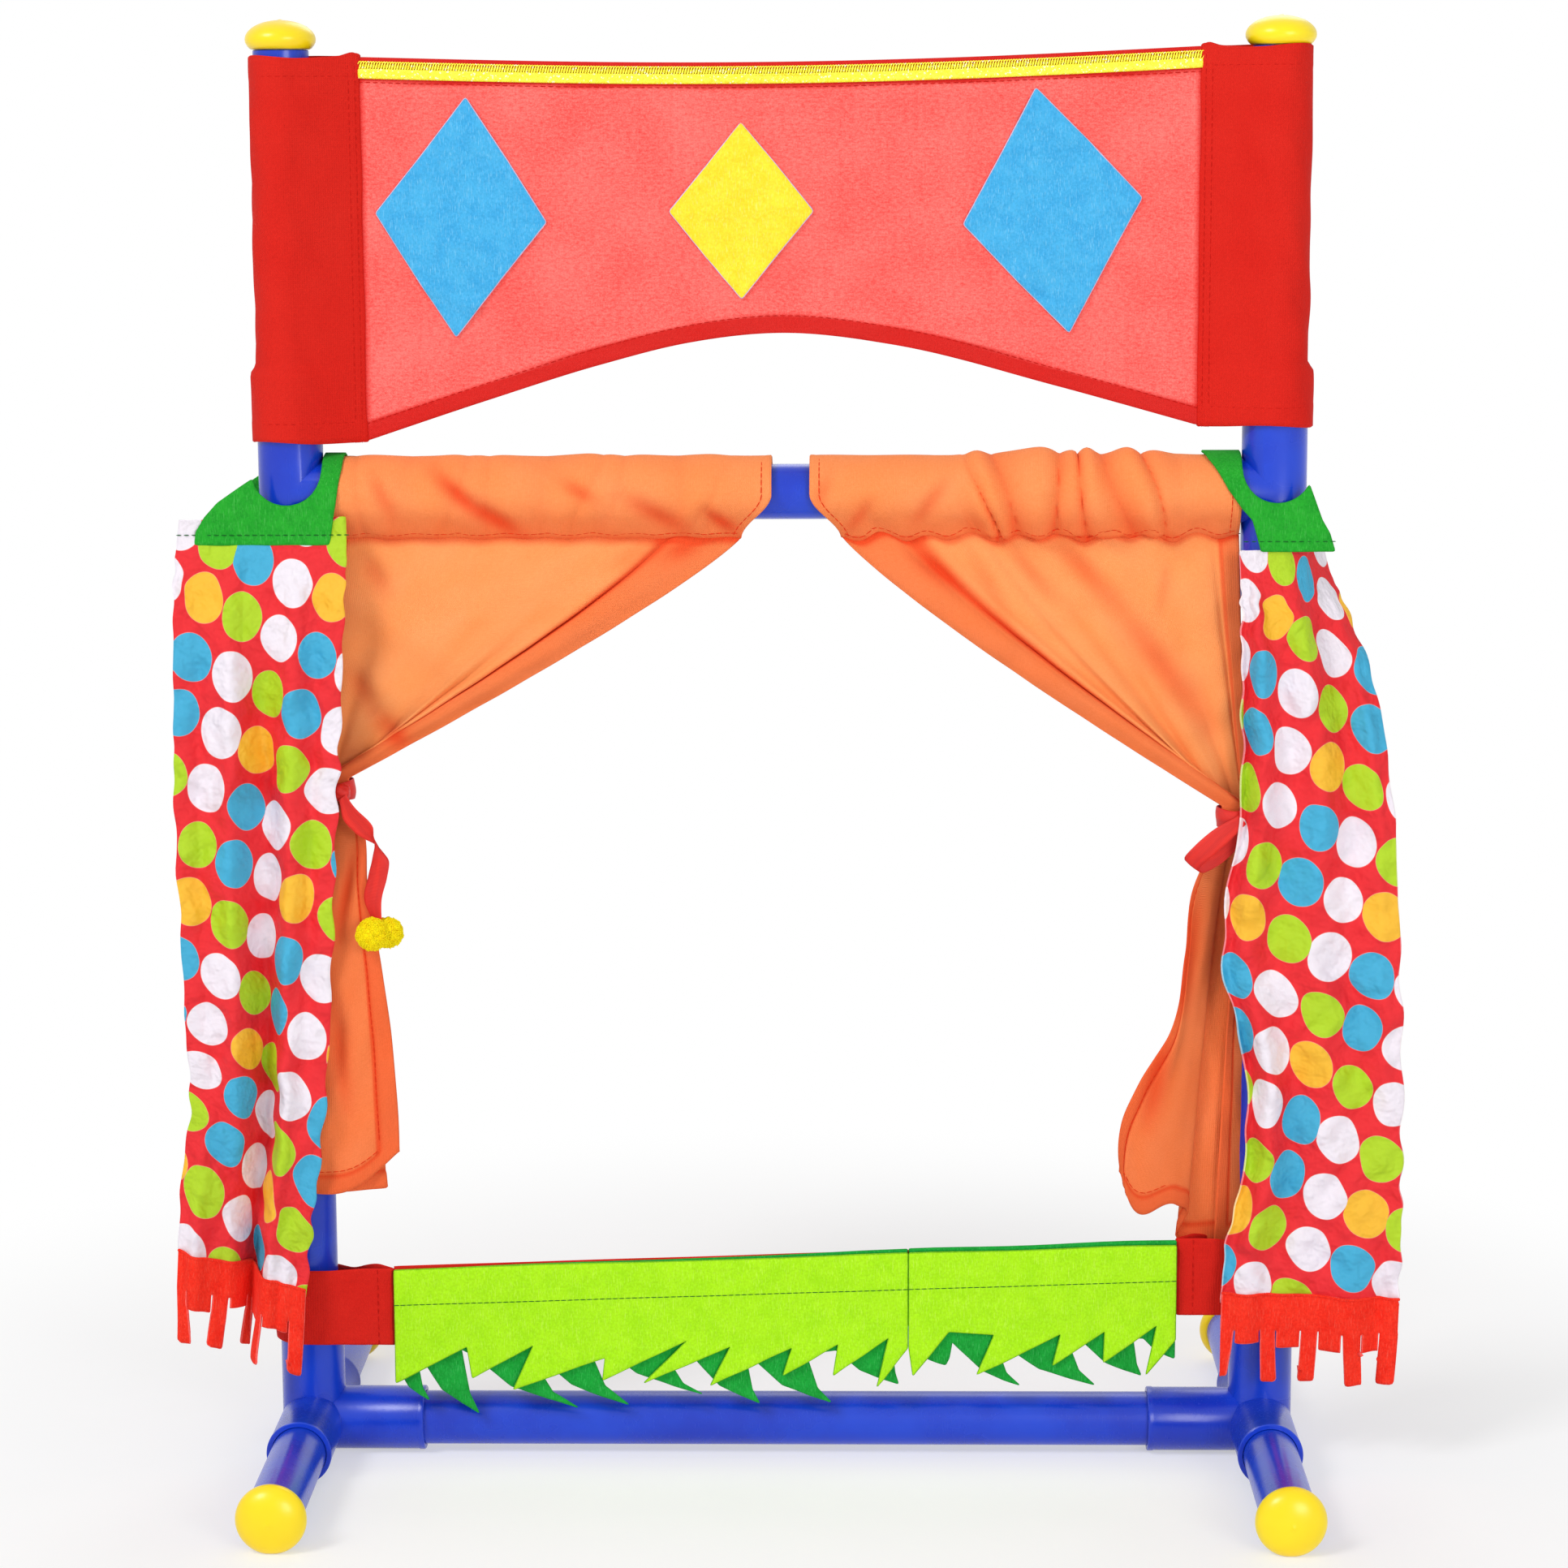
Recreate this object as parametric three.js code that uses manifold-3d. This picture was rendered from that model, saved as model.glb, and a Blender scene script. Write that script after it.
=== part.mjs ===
// Puppet theater stand: a push-fit tube frame dressed with a valance, two tied-back curtains,
// two polka-dot side panels and a felt grass band.
// Millimetres, +Z up. The origin lies on the floor below the middle of the frame, and the audience sits
// on the -Y side.
import * as THREE from 'three';
import { mergeVertices } from 'three/addons/utils/BufferGeometryUtils.js';
import Module from 'manifold-3d';

const wasm = await Module();
wasm.setup();

// Tube frame
const postSpacing = 446;
const rodHeight = 453;
const upperPostReach = 198;
const legReach = 134;
const tubeDiameter = 25;
const tubeWall = 1.8;
const connectorDiameter = 30;
const armReach = 53;
const hubReach = 17;
const fitClearance = 0.3;
const cutOverrun = 5;
const roundSegments = 20;

// Push-in caps
const capDiameter = 31.6;
const capHeight = 13.2;
const capRimHeight = 4.6;
const capSeatDiameter = 26;
const capPlugLength = 12;
const capWall = 2;
const footFlatDepth = 0.7;

// Cloth and felt
const clothThickness = 0.9;
const feltThickness = 1.2;
const layerGap = 0.5;
const seamGap = 0.35;
const seamTipRadius = 0.2;

// Valance between the upper posts
const sleeveClearance = 0.8;
const sleeveShoulder = 4;
const sleeveSeamReach = 35;
const valanceTopDrop = { left: 3.5, right: 0.5 };
const valanceFootRise = { left: 24, right: 30 };
const valanceTopSag = 4.5;
const valanceArchRise = 45;
const valanceWrinkle = 1.1;
const valanceWrinklePitch = 64;
const valanceWrinkleSlope = 0.25;
const hemWidth = 8;
const trimWidth = 7;
const trimDrop = 2.6;
const archShares = [
  [-1, 0], [-0.71, 0.38], [-0.43, 0.72], [-0.22, 0.92], [0, 1], [0.27, 0.86], [0.66, 0.42], [1, 0],
];

// Felt diamonds on the valance
const leftDiamondWidth = 77;
const leftDiamondHeight = 107;
const centreDiamondWidth = 65;
const centreDiamondHeight = 78.5;
const rightDiamondWidth = 81;
const rightDiamondHeight = 110;
const diamonds = [
  {
    name: 'left_diamond', color: 0x4aa9dc, width: leftDiamondWidth, height: leftDiamondHeight,
    tiltDegrees: -3.3, placeShares: [-0.763, 0.581],
  },
  {
    name: 'centre_diamond', color: 0xffe03a, width: centreDiamondWidth, height: centreDiamondHeight,
    tiltDegrees: 0, placeShares: [-0.093, 0.587],
  },
  {
    name: 'right_diamond', color: 0x4aa9dc, width: rightDiamondWidth, height: rightDiamondHeight,
    tiltDegrees: 8.2, placeShares: [0.649, 0.575],
  },
];
const diamondCells = 4;

// Curtain pockets on the rod
const pocketClearance = 0.5;
const pocketSeamDrop = 21;
const pocketSeamForward = 3;
const pocketEndGap = 1.2;
const pocketHalfOpening = 9;
const pocketOpeningCentre = 4.3;
const pocketEndSlant = 14;
const pocketStations = 10;
const pocketPoints = 18;

// Curtain drapes: a swag from the pocket's seam to the tie, then a tail
const drapeColumns = 14;
const swagRows = 6;
const neckRows = 1;
const tailRows = 7;
const bunchWidth = 11;
const bunchFold = 3.4;
const swagFold = 4;
const tieDrop = { left: 135, right: 148 };
const drapes = {
  left: {
    tieHeight: rodHeight - tieDrop.left, bunchOffset: 19, bunchForward: 9,
    tailForward: 18.3, tailFold: 2.6, tailInner: 46, tailOuter: -9, tailFoot: 131, tailRise: 18,
    tailSpreadPower: 0.8, gather: 0.8,
  },
  right: {
    tieHeight: rodHeight - tieDrop.right, bunchOffset: 17, bunchForward: 11,
    tailForward: 5, tailFold: 6.5, tailInner: 69, tailOuter: 20, tailFoot: 109, tailRise: 19,
    tailSpreadPower: 1.15, gather: 2,
  },
};
const drapeFolds = 3;
const tailFolds = 1.5;

// Ribbon ties with pompom tassels
const ribbonWidth = 9;
const ribbonThickness = 0.8;
const tieClearance = 0.6;
const neckClearance = 1;
const knotRadius = 4.2;
const pompomRadius = 6.4;
const tassels = {
  left: {
    direction: -1, knotInward: 22,
    route: [[1.4, 1.5], [6, 9], [13, 15], [18, 21], [20.5, 29], [17.8, 38.5], [15, 49], [17.6, 60.8]],
    pompomShares: [[-0.8, -0.8, -0.5], [0.68, 0.62, -0.64]],
  },
  right: {
    direction: 1, knotInward: 2,
    route: [[0.5, 1], [5, 9], [10, 19], [14, 30], [16, 43], [18, 56]],
    pompomShares: [[-0.78, 0.76, -0.5], [0.66, -0.66, -0.78]],
  },
};
const tailPinchShare = 0.4;
const tailLeanDegrees = 29;
const tailPieces = 12;

// Felt yokes over the rod ends
const yokeClearance = 1.6;
const yokeBlankLength = 100;
const yokeNotchClearance = 0.9;
const yokeNotchDrop = 7;
const yokes = {
  left: {
    footDrop: 22,
    inner: [[25, 22], [22.5, -1], [19, -22]],
    outer: [[-42, -22], [-41, -16], [-31, -3]],
    notchEndDegrees: -166,
  },
  right: {
    footDrop: 26,
    inner: [[33, 22], [22, 2], [11, -12], [7, -26]],
    outer: [[-26, -26], [-20, -12]],
    notchEndDegrees: -152,
  },
};

// Side panels and their fringes
const panelReach = 63;
const panelHingeDrop = 0.7;
const panelColumns = 8;
const panelRows = 12;
const panelForward = 26.5;
const panelFold = 2.2;
const panelFolds = 1.5;
const panelSettleShare = 0.3;
const panelWrapShares = { down: 0.5, across: 0.35 };
const fringeBand = 13;
const fringeLap = 5;
const fringeLongStrip = 37;
const fringeShortStrip = 22;
const fringeStripShare = 0.56;
const fringeStrips = 10;
const panels = {
  left: {
    foot: { inner: 85, outer: 103 }, wrap: 0,
    innerShares: [[0, -0.4], [0.25, -0.35], [0.6, -0.22], [1, 0.06]],
    outerShares: [[0, 0.8], [0.25, 0.86], [0.6, 0.89], [1, 1]],
  },
  right: {
    foot: { inner: 82, outer: 78 }, wrap: 24,
    innerShares: [[0, -0.16], [0.2, -0.2], [0.6, -0.38], [1, -0.36]],
    outerShares: [[0, 0.42], [0.2, 0.74], [0.6, 0.95], [1, 1]],
  },
};

// Grass band on the lower posts
const bandHeight = 36;
const bandFoot = { left: 56, right: 71 };
const bandClearance = 0.6;
const bandLoopReach = 41;
const grassSplitShare = 0.317;
const grassSplitGap = 0.6;
const grassHeadRise = 17;
const grassValleyDrop = 21;
const grassToothDrop = 42;
const darkToothDrop = 52;
const darkHeadRise = 18.5;
const lightToothShares = {
  left: [
    [0, 0.1], [0, 0.78], [0.14, 0], [0.15, 0.72], [0.27, 0.02], [0.23, 1], [0.41, 0.35], [0.405, 0.85],
    [0.57, 0.02], [0.485, 0.95], [0.655, 0.18], [0.615, 1.05], [0.775, 0.25], [0.757, 0.88],
    [0.865, 0.2], [0.855, 0.9], [0.963, 0.1], [0.94, 1.2], [1, 0.35],
  ],
  right: [
    [0, 0.35], [0.015, 0.97], [0.15, 0], [0.32, 0.1], [0.255, 1], [0.57, 0.13], [0.54, 0.85],
    [0.735, 0.1], [0.73, 0.8], [0.93, 0], [0.89, 1.12], [1, 0.35],
  ],
};
const darkToothShares = {
  left: [
    [0, 0.2], [0.02, 0.5], [0.063, 0.85], [0.07, 0.42], [0.16, 1], [0.2, 0.4], [0.355, 0.95], [0.36, 0.4],
    [0.454, 0.9], [0.46, 0.4], [0.6, 0.8], [0.61, 0.4], [0.712, 0.95], [0.72, 0.35], [0.852, 0.98],
    [0.87, 0.35], [0.97, 0.75], [1, 0.3],
  ],
  right: [
    [0, 0.3], [0.1, 0.35], [0.24, 0.6], [0.3, 0.35], [0.42, 0.85], [0.47, 0.35], [0.69, 0.9],
    [0.72, 0.35], [0.86, 0.5], [0.9, 0.3], [1, 0.62],
  ],
};

// Sizes that follow from the ones above
const postTop = rodHeight + upperPostReach;
const socketDepth = armReach - hubReach;
const postX = postSpacing / 2;
const tubeRadius = tubeDiameter / 2;
const tubeBoreRadius = tubeRadius - tubeWall;
const connectorRadius = connectorDiameter / 2;
const socketRadius = tubeRadius + fitClearance;
const railHeight = capDiameter / 2 - footFlatDepth;
const tubeStop = hubReach + fitClearance;
const seamX = postX - sleeveSeamReach;
const valanceTop = { left: postTop - valanceTopDrop.left, right: postTop - valanceTopDrop.right };
const valanceFoot = { left: rodHeight + valanceFootRise.left, right: rodHeight + valanceFootRise.right };
const pocketRadius = connectorRadius + pocketClearance;
const pocketSeamHeight = rodHeight - pocketSeamDrop;
const yokeRadius = pocketRadius + yokeClearance;
const panelTopDepth = yokeRadius + feltThickness / 2;
const bandRadius = connectorRadius + bandClearance;
const bandDepth = bandRadius + clothThickness / 2;
const darkGrassDepth = bandRadius + clothThickness + layerGap + feltThickness / 2;
const lightGrassDepth = darkGrassDepth + feltThickness + layerGap;
const sides = [['left', -1], ['right', 1]];

const finishes = {
  blue: [0x1c48c8, 0.28],
  yellow: [0xffe114, 0.3],
  red: [0xe11e0f, 0.9],
  gold: [0xf5e12d, 0.35],
  orange: [0xfa8c50, 0.9],
  green: [0x2db42d, 0.95],
  lime: [0xa0e11e, 0.95],
  grass: [0x1ea03c, 0.95],
  dotted: [0xeb3c3c, 0.85],
  fringe: [0xfa4137, 0.95],
  pompom: [0xffdc14, 0.95],
};
const stand = new THREE.Group();

function material(finish) {
  const [color, roughness] = finishes[finish];
  return new THREE.MeshStandardMaterial({ color, roughness, metalness: 0 });
}

function add(name, geometry, finish) {
  const mesh = new THREE.Mesh(geometry, material(finish));
  mesh.name = name;
  stand.add(mesh);
  return mesh;
}

// A closed mesh from points and triangles, turned so that its faces point out.
function closedGeometry(points, triangles) {
  const cross = new THREE.Vector3();
  const volume = triangles.reduce((sum, [a, b, c]) => (
    sum + points[a].dot(cross.crossVectors(points[b], points[c]))), 0);
  const outward = volume < 0 ? triangles.map(([a, b, c]) => [a, c, b]) : triangles;
  const geometry = new THREE.BufferGeometry();
  const numbers = points.flatMap((corner) => corner.toArray());
  geometry.setAttribute('position', new THREE.Float32BufferAttribute(numbers, 3));
  geometry.setIndex(outward.flat());
  return geometry;
}

function toSolid(geometry) {
  const bare = geometry.clone();
  bare.deleteAttribute('normal');
  bare.deleteAttribute('uv');
  const merged = mergeVertices(bare);
  return new wasm.Manifold(new wasm.Mesh({
    numProp: 3,
    vertProperties: new Float32Array(merged.attributes.position.array),
    triVerts: new Uint32Array(merged.index.array),
  }));
}

function fromSolid(solid) {
  const mesh = solid.getMesh();
  const geometry = new THREE.BufferGeometry();
  geometry.setAttribute('position', new THREE.BufferAttribute(new Float32Array(mesh.vertProperties), 3));
  geometry.setIndex(new THREE.BufferAttribute(new Uint32Array(mesh.triVerts), 1));
  return geometry;
}

const up = new THREE.Vector3(0, 1, 0);
const directions = {
  up: new THREE.Vector3(0, 0, 1),
  down: new THREE.Vector3(0, 0, -1),
  left: new THREE.Vector3(-1, 0, 0),
  right: new THREE.Vector3(1, 0, 0),
  front: new THREE.Vector3(0, -1, 0),
  rear: new THREE.Vector3(0, 1, 0),
};

// Turns a shape made along +Y to run along the named direction.
function pointed(geometry, direction) {
  return geometry.applyQuaternion(new THREE.Quaternion().setFromUnitVectors(up, directions[direction]));
}

function rod(radius, from, to, direction) {
  const cylinder = new THREE.CylinderGeometry(radius, radius, to - from, roundSegments);
  cylinder.translate(0, (from + to) / 2, 0);
  return toSolid(pointed(cylinder, direction));
}

function tube(length) {
  const profile = [
    new THREE.Vector2(tubeBoreRadius, 0),
    new THREE.Vector2(tubeRadius, 0),
    new THREE.Vector2(tubeRadius, length),
    new THREE.Vector2(tubeBoreRadius, length),
    new THREE.Vector2(tubeBoreRadius, 0),
  ];
  return new THREE.LatheGeometry(profile, roundSegments);
}

// A moulded connector: equal arms joined at the middle, bored through, with a deeper socket in each arm.
function connector(arms) {
  const bodies = arms.map((arm) => rod(connectorRadius, 0, armReach, arm));
  const bores = arms.map((arm) => rod(tubeBoreRadius, 0, armReach + cutOverrun, arm));
  const sockets = arms.map((arm) => rod(socketRadius, armReach - socketDepth, armReach + cutOverrun, arm));
  const body = bodies.reduce((whole, next) => whole.add(next));
  const hollow = [...bores, ...sockets].reduce((whole, next) => whole.add(next));
  return fromSolid(body.subtract(hollow));
}

// A hollow push-in cap along +Y: its plug lies below zero and its dome above.
function cap() {
  const plugRadius = tubeBoreRadius - fitClearance;
  const hollowRadius = plugRadius - capWall;
  const rim = capDiameter / 2;
  const domeHeight = capHeight - capRimHeight;
  const profile = [
    new THREE.Vector2(0, capHeight - capWall),
    new THREE.Vector2(hollowRadius, capRimHeight),
    new THREE.Vector2(hollowRadius, -capPlugLength),
    new THREE.Vector2(plugRadius, -capPlugLength),
    new THREE.Vector2(plugRadius, fitClearance),
    new THREE.Vector2(capSeatDiameter / 2, fitClearance),
    new THREE.Vector2(rim - (rim - capSeatDiameter / 2) / 4, capRimHeight / 2),
  ];
  const domeSteps = 4;
  for (let step = 0; step <= domeSteps; step += 1) {
    const angle = (step / domeSteps) * Math.PI / 2;
    profile.push(new THREE.Vector2(rim * Math.cos(angle), capRimHeight + domeHeight * Math.sin(angle)));
  }
  profile[profile.length - 1].x = 0;
  return new THREE.LatheGeometry(profile, roundSegments);
}

function addFrame() {
  const rail = pointed(tube(postSpacing - 2 * tubeStop), 'right');
  add('base_rail', rail, 'blue').position.set(-postX + tubeStop, 0, railHeight);
  const crossTube = pointed(tube(postSpacing - 2 * tubeStop), 'right');
  add('curtain_rod', crossTube, 'blue').position.set(-postX + tubeStop, 0, rodHeight);
  for (const [side, sign] of sides) {
    const x = sign * postX;
    const inward = sign < 0 ? 'right' : 'left';
    const corner = connector(['up', inward, 'front', 'rear']);
    add(`${side}_base_connector`, corner, 'blue').position.set(x, 0, railHeight);
    const tee = connector(['up', 'down', inward]);
    add(`${side}_tee_connector`, tee, 'blue').position.set(x, 0, rodHeight);
    const lowerPost = pointed(tube(rodHeight - railHeight - 2 * tubeStop), 'up');
    add(`${side}_lower_post`, lowerPost, 'blue').position.set(x, 0, railHeight + tubeStop);
    const upperPost = pointed(tube(postTop - rodHeight - tubeStop), 'up');
    add(`${side}_upper_post`, upperPost, 'blue').position.set(x, 0, rodHeight + tubeStop);
    add(`${side}_top_cap`, pointed(cap(), 'up'), 'yellow').position.set(x, 0, postTop);
    for (const end of ['front', 'rear']) {
      const endSign = end === 'front' ? -1 : 1;
      const leg = pointed(tube(legReach - tubeStop), end);
      add(`${side}_${end}_leg`, leg, 'blue').position.set(x, endSign * tubeStop, railHeight);
      add(`${side}_${end}_foot_cap`, footCap(end), 'yellow').position.set(x, endSign * legReach, railHeight);
    }
  }
}

// A foot cap stands on a small flat at the bottom of its rim.
function footCap(end) {
  const floor = new THREE.BoxGeometry(2 * capDiameter, 2 * capDiameter, capDiameter);
  floor.translate(0, 0, -railHeight - capDiameter / 2);
  return fromSolid(toSolid(pointed(cap(), end)).subtract(toSolid(floor)));
}

// A sheet over a grid of points, given its thickness along Y.
function sheet(point, columns, rows, thickness) {
  const points = [];
  const half = thickness / 2;
  for (const offset of [-half, half]) {
    for (let row = 0; row <= rows; row += 1) {
      for (let column = 0; column <= columns; column += 1) {
        const place = point(column / columns, row / rows);
        points.push(place.setY(place.y + offset));
      }
    }
  }
  const layer = (columns + 1) * (rows + 1);
  const at = (column, row) => row * (columns + 1) + column;
  const triangles = [];
  const quad = (a, b, c, d) => triangles.push([a, b, c], [a, c, d]);
  for (let row = 0; row < rows; row += 1) {
    for (let column = 0; column < columns; column += 1) {
      const [a, b] = [at(column, row), at(column + 1, row)];
      const [c, d] = [at(column + 1, row + 1), at(column, row + 1)];
      quad(a, b, c, d);
      quad(a + layer, d + layer, c + layer, b + layer);
    }
  }
  const rim = [];
  for (let column = 0; column < columns; column += 1) rim.push(at(column, 0));
  for (let row = 0; row < rows; row += 1) rim.push(at(columns, row));
  for (let column = columns; column > 0; column -= 1) rim.push(at(column, rows));
  for (let row = rows; row > 0; row -= 1) rim.push(at(0, row));
  rim.forEach((index, place) => {
    const next = rim[(place + 1) % rim.length];
    quad(next, index, index + layer, next + layer);
  });
  return closedGeometry(points, triangles);
}

// A flat-cut piece of felt or cloth: an outline in X and Z, at a depth that may change with the place.
function cutPiece(outline, depthAt, thickness) {
  const flat = outline.map(([x, z]) => new THREE.Vector2(x, z));
  if (THREE.ShapeUtils.isClockWise(flat)) flat.reverse();
  const faces = THREE.ShapeUtils.triangulateShape(flat, []);
  const half = thickness / 2;
  const points = [-half, half].flatMap((offset) => (
    flat.map((corner) => new THREE.Vector3(corner.x, depthAt(corner.x, corner.y) + offset, corner.y))));
  const count = flat.length;
  const triangles = faces.flatMap(([a, b, c]) => [[a, b, c], [a + count, c + count, b + count]]);
  flat.forEach((_, index) => {
    const next = (index + 1) % count;
    triangles.push([next, index, index + count], [next, index + count, next + count]);
  });
  return closedGeometry(points, triangles);
}

// The points of a band drawn tight round circles, each given as centre, centre and radius.
function hullLoop(circles, growth, count) {
  const loop = [];
  for (let step = 0; step < count; step += 1) {
    const angle = (step + 0.5) / count * 2 * Math.PI;
    const [a, b] = [Math.cos(angle), Math.sin(angle)];
    const reach = circles.map(([u, v, radius]) => u * a + v * b + radius);
    const [u, v, radius] = circles[reach.indexOf(Math.max(...reach))];
    loop.push([u + (radius + growth) * a, v + (radius + growth) * b]);
  }
  return loop;
}

// A hollow sleeve through stations, each with an outer and an inner loop of points.
function sleeve(stations) {
  const count = stations[0].inner.length;
  const points = stations.flatMap(({ outer, inner }) => [...outer, ...inner]);
  const triangles = [];
  const quad = (a, b, c, d) => triangles.push([a, b, c], [a, c, d]);
  for (let index = 0; index < count; index += 1) {
    const next = (index + 1) % count;
    for (let station = 0; station < stations.length - 1; station += 1) {
      const [near, far] = [station * 2 * count, (station + 1) * 2 * count];
      quad(near + index, near + next, far + next, far + index);
      quad(near + count + index, far + count + index, far + count + next, near + count + next);
    }
    const last = (stations.length - 1) * 2 * count;
    quad(next, index, count + index, count + next);
    quad(last + index, last + next, last + count + next, last + count + index);
  }
  return closedGeometry(points, triangles);
}

// A sleeve standing upright, whose loops lie flat at each listed height and are drawn round circles there.
function uprightSleeve(levels, wall) {
  return sleeve(levels.map(({ z, circles }) => {
    const level = (growth) => (
      hullLoop(circles, growth, roundSegments).map(([x, y]) => new THREE.Vector3(x, y, z)));
    return { outer: level(wall), inner: level(0) };
  }));
}

function lerpShares(table, share) {
  const next = Math.max(1, table.findIndex(([place]) => place >= share - Number.EPSILON));
  const [from, to] = [table[next - 1], table[next]];
  const local = THREE.MathUtils.clamp((share - from[0]) / (to[0] - from[0]), 0, 1);
  return THREE.MathUtils.lerp(from[1], to[1], local);
}

const valanceShare = (x) => THREE.MathUtils.clamp((x / seamX + 1) / 2, 0, 1);

function valanceLow(x) {
  const straight = THREE.MathUtils.lerp(valanceFoot.left, valanceFoot.right, valanceShare(x));
  return straight + valanceArchRise * lerpShares(archShares, x / seamX);
}

function valanceHigh(x) {
  const share = valanceShare(x);
  const straight = THREE.MathUtils.lerp(valanceTop.left, valanceTop.right, share);
  return straight - valanceTopSag * Math.sin(Math.PI * share);
}

// Shallow wrinkles run across the stretched cloth and die out at its seams.
function valanceDepth(x, z) {
  const edge = Math.sin(Math.PI * valanceShare(x));
  const along = (z - valanceFoot.left + x * valanceWrinkleSlope) / valanceWrinklePitch;
  return valanceWrinkle * edge * Math.sin(2 * Math.PI * along);
}

function valanceStrip(lowAt, highAt, offset, rows, thickness) {
  const reach = seamX - seamGap;
  const point = (u, v) => {
    const x = THREE.MathUtils.lerp(-reach, reach, u);
    const z = THREE.MathUtils.lerp(lowAt(x), highAt(x), v);
    return new THREE.Vector3(x, valanceDepth(x, z) + offset, z);
  };
  const valanceColumns = 20;
  return sheet(point, valanceColumns, rows, thickness);
}

function addValance() {
  const panelRowCount = 8;
  add('valance_panel', valanceStrip(valanceLow, valanceHigh, 0, panelRowCount, clothThickness), 'red');
  const step = clothThickness + layerGap;
  const hemTop = (x) => valanceLow(x) + hemWidth;
  add('valance_bottom_hem', valanceStrip(valanceLow, hemTop, step, 1, clothThickness), 'red');
  const trimTop = (x) => valanceHigh(x) - trimDrop;
  const trimFoot = (x) => trimTop(x) - trimWidth;
  add('gold_trim', valanceStrip(trimFoot, trimTop, -step, 1, clothThickness), 'gold');
  for (const [side, sign] of sides) {
    const tip = [sign * (seamX + clothThickness + seamTipRadius), 0, seamTipRadius];
    const level = (z, carrierRadius) => (
      { z, circles: [[sign * postX, 0, carrierRadius + sleeveClearance], tip] });
    const shoulder = rodHeight + armReach + sleeveClearance;
    const levels = [
      level(valanceFoot[side], connectorRadius),
      level(shoulder, connectorRadius),
      level(shoulder + sleeveShoulder, tubeRadius),
      level(valanceTop[side], tubeRadius),
    ];
    add(`valance_${side}_sleeve`, uprightSleeve(levels, clothThickness), 'red');
  }
  for (const diamond of diamonds) addDiamond(diamond);
}

function addDiamond({ name, color, placeShares, width, height, tiltDegrees }) {
  const x = seamX * placeShares[0];
  const share = valanceShare(x);
  const foot = THREE.MathUtils.lerp(valanceFoot.left, valanceFoot.right, share);
  const top = THREE.MathUtils.lerp(valanceTop.left, valanceTop.right, share);
  const z = THREE.MathUtils.lerp(foot, top, placeShares[1]);
  const tilt = THREE.MathUtils.degToRad(tiltDegrees);
  const point = (u, v) => {
    const across = (u - v) * width / 2;
    const along = (u + v - 1) * height / 2;
    const px = x + across * Math.cos(tilt) - along * Math.sin(tilt);
    const pz = z + across * Math.sin(tilt) + along * Math.cos(tilt);
    const clear = clothThickness / 2 + layerGap + feltThickness / 2;
    return new THREE.Vector3(px, valanceDepth(px, pz) - clear, pz);
  };
  add(name, sheet(point, diamondCells, diamondCells, feltThickness), 'green').material.color.set(color);
}

// A curtain's stitched pocket: a loose sleeve on the rod, drawn to a seam below, with its gathers.
function addPocket(side, sign) {
  const { gather } = drapes[side];
  const outerX = postX - connectorRadius - pocketEndGap;
  const innerX = pocketHalfOpening + sign * pocketOpeningCentre;
  const stations = [];
  for (let index = 0; index <= pocketStations; index += 1) {
    const share = index / pocketStations;
    const x = THREE.MathUtils.lerp(outerX, innerX, share);
    const ripple = gather * Math.sin(Math.PI * share) * (1 + Math.cos(pocketStations * Math.PI * share)) / 2;
    const circles = [
      [0, rodHeight, pocketRadius + ripple],
      [-pocketSeamForward, pocketSeamHeight + clothThickness + seamTipRadius, seamTipRadius],
    ];
    const level = (growth) => hullLoop(circles, growth, pocketPoints).map(([y, z]) => {
      const below = THREE.MathUtils.smoothstep(rodHeight - z, 0, pocketSeamDrop);
      return new THREE.Vector3(sign * (x + pocketEndSlant * below * share ** 3), y, z);
    });
    stations.push({ outer: level(clothThickness), inner: level(0) });
  }
  add(`${side}_curtain_pocket`, sleeve(stations), 'orange');
}

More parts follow.
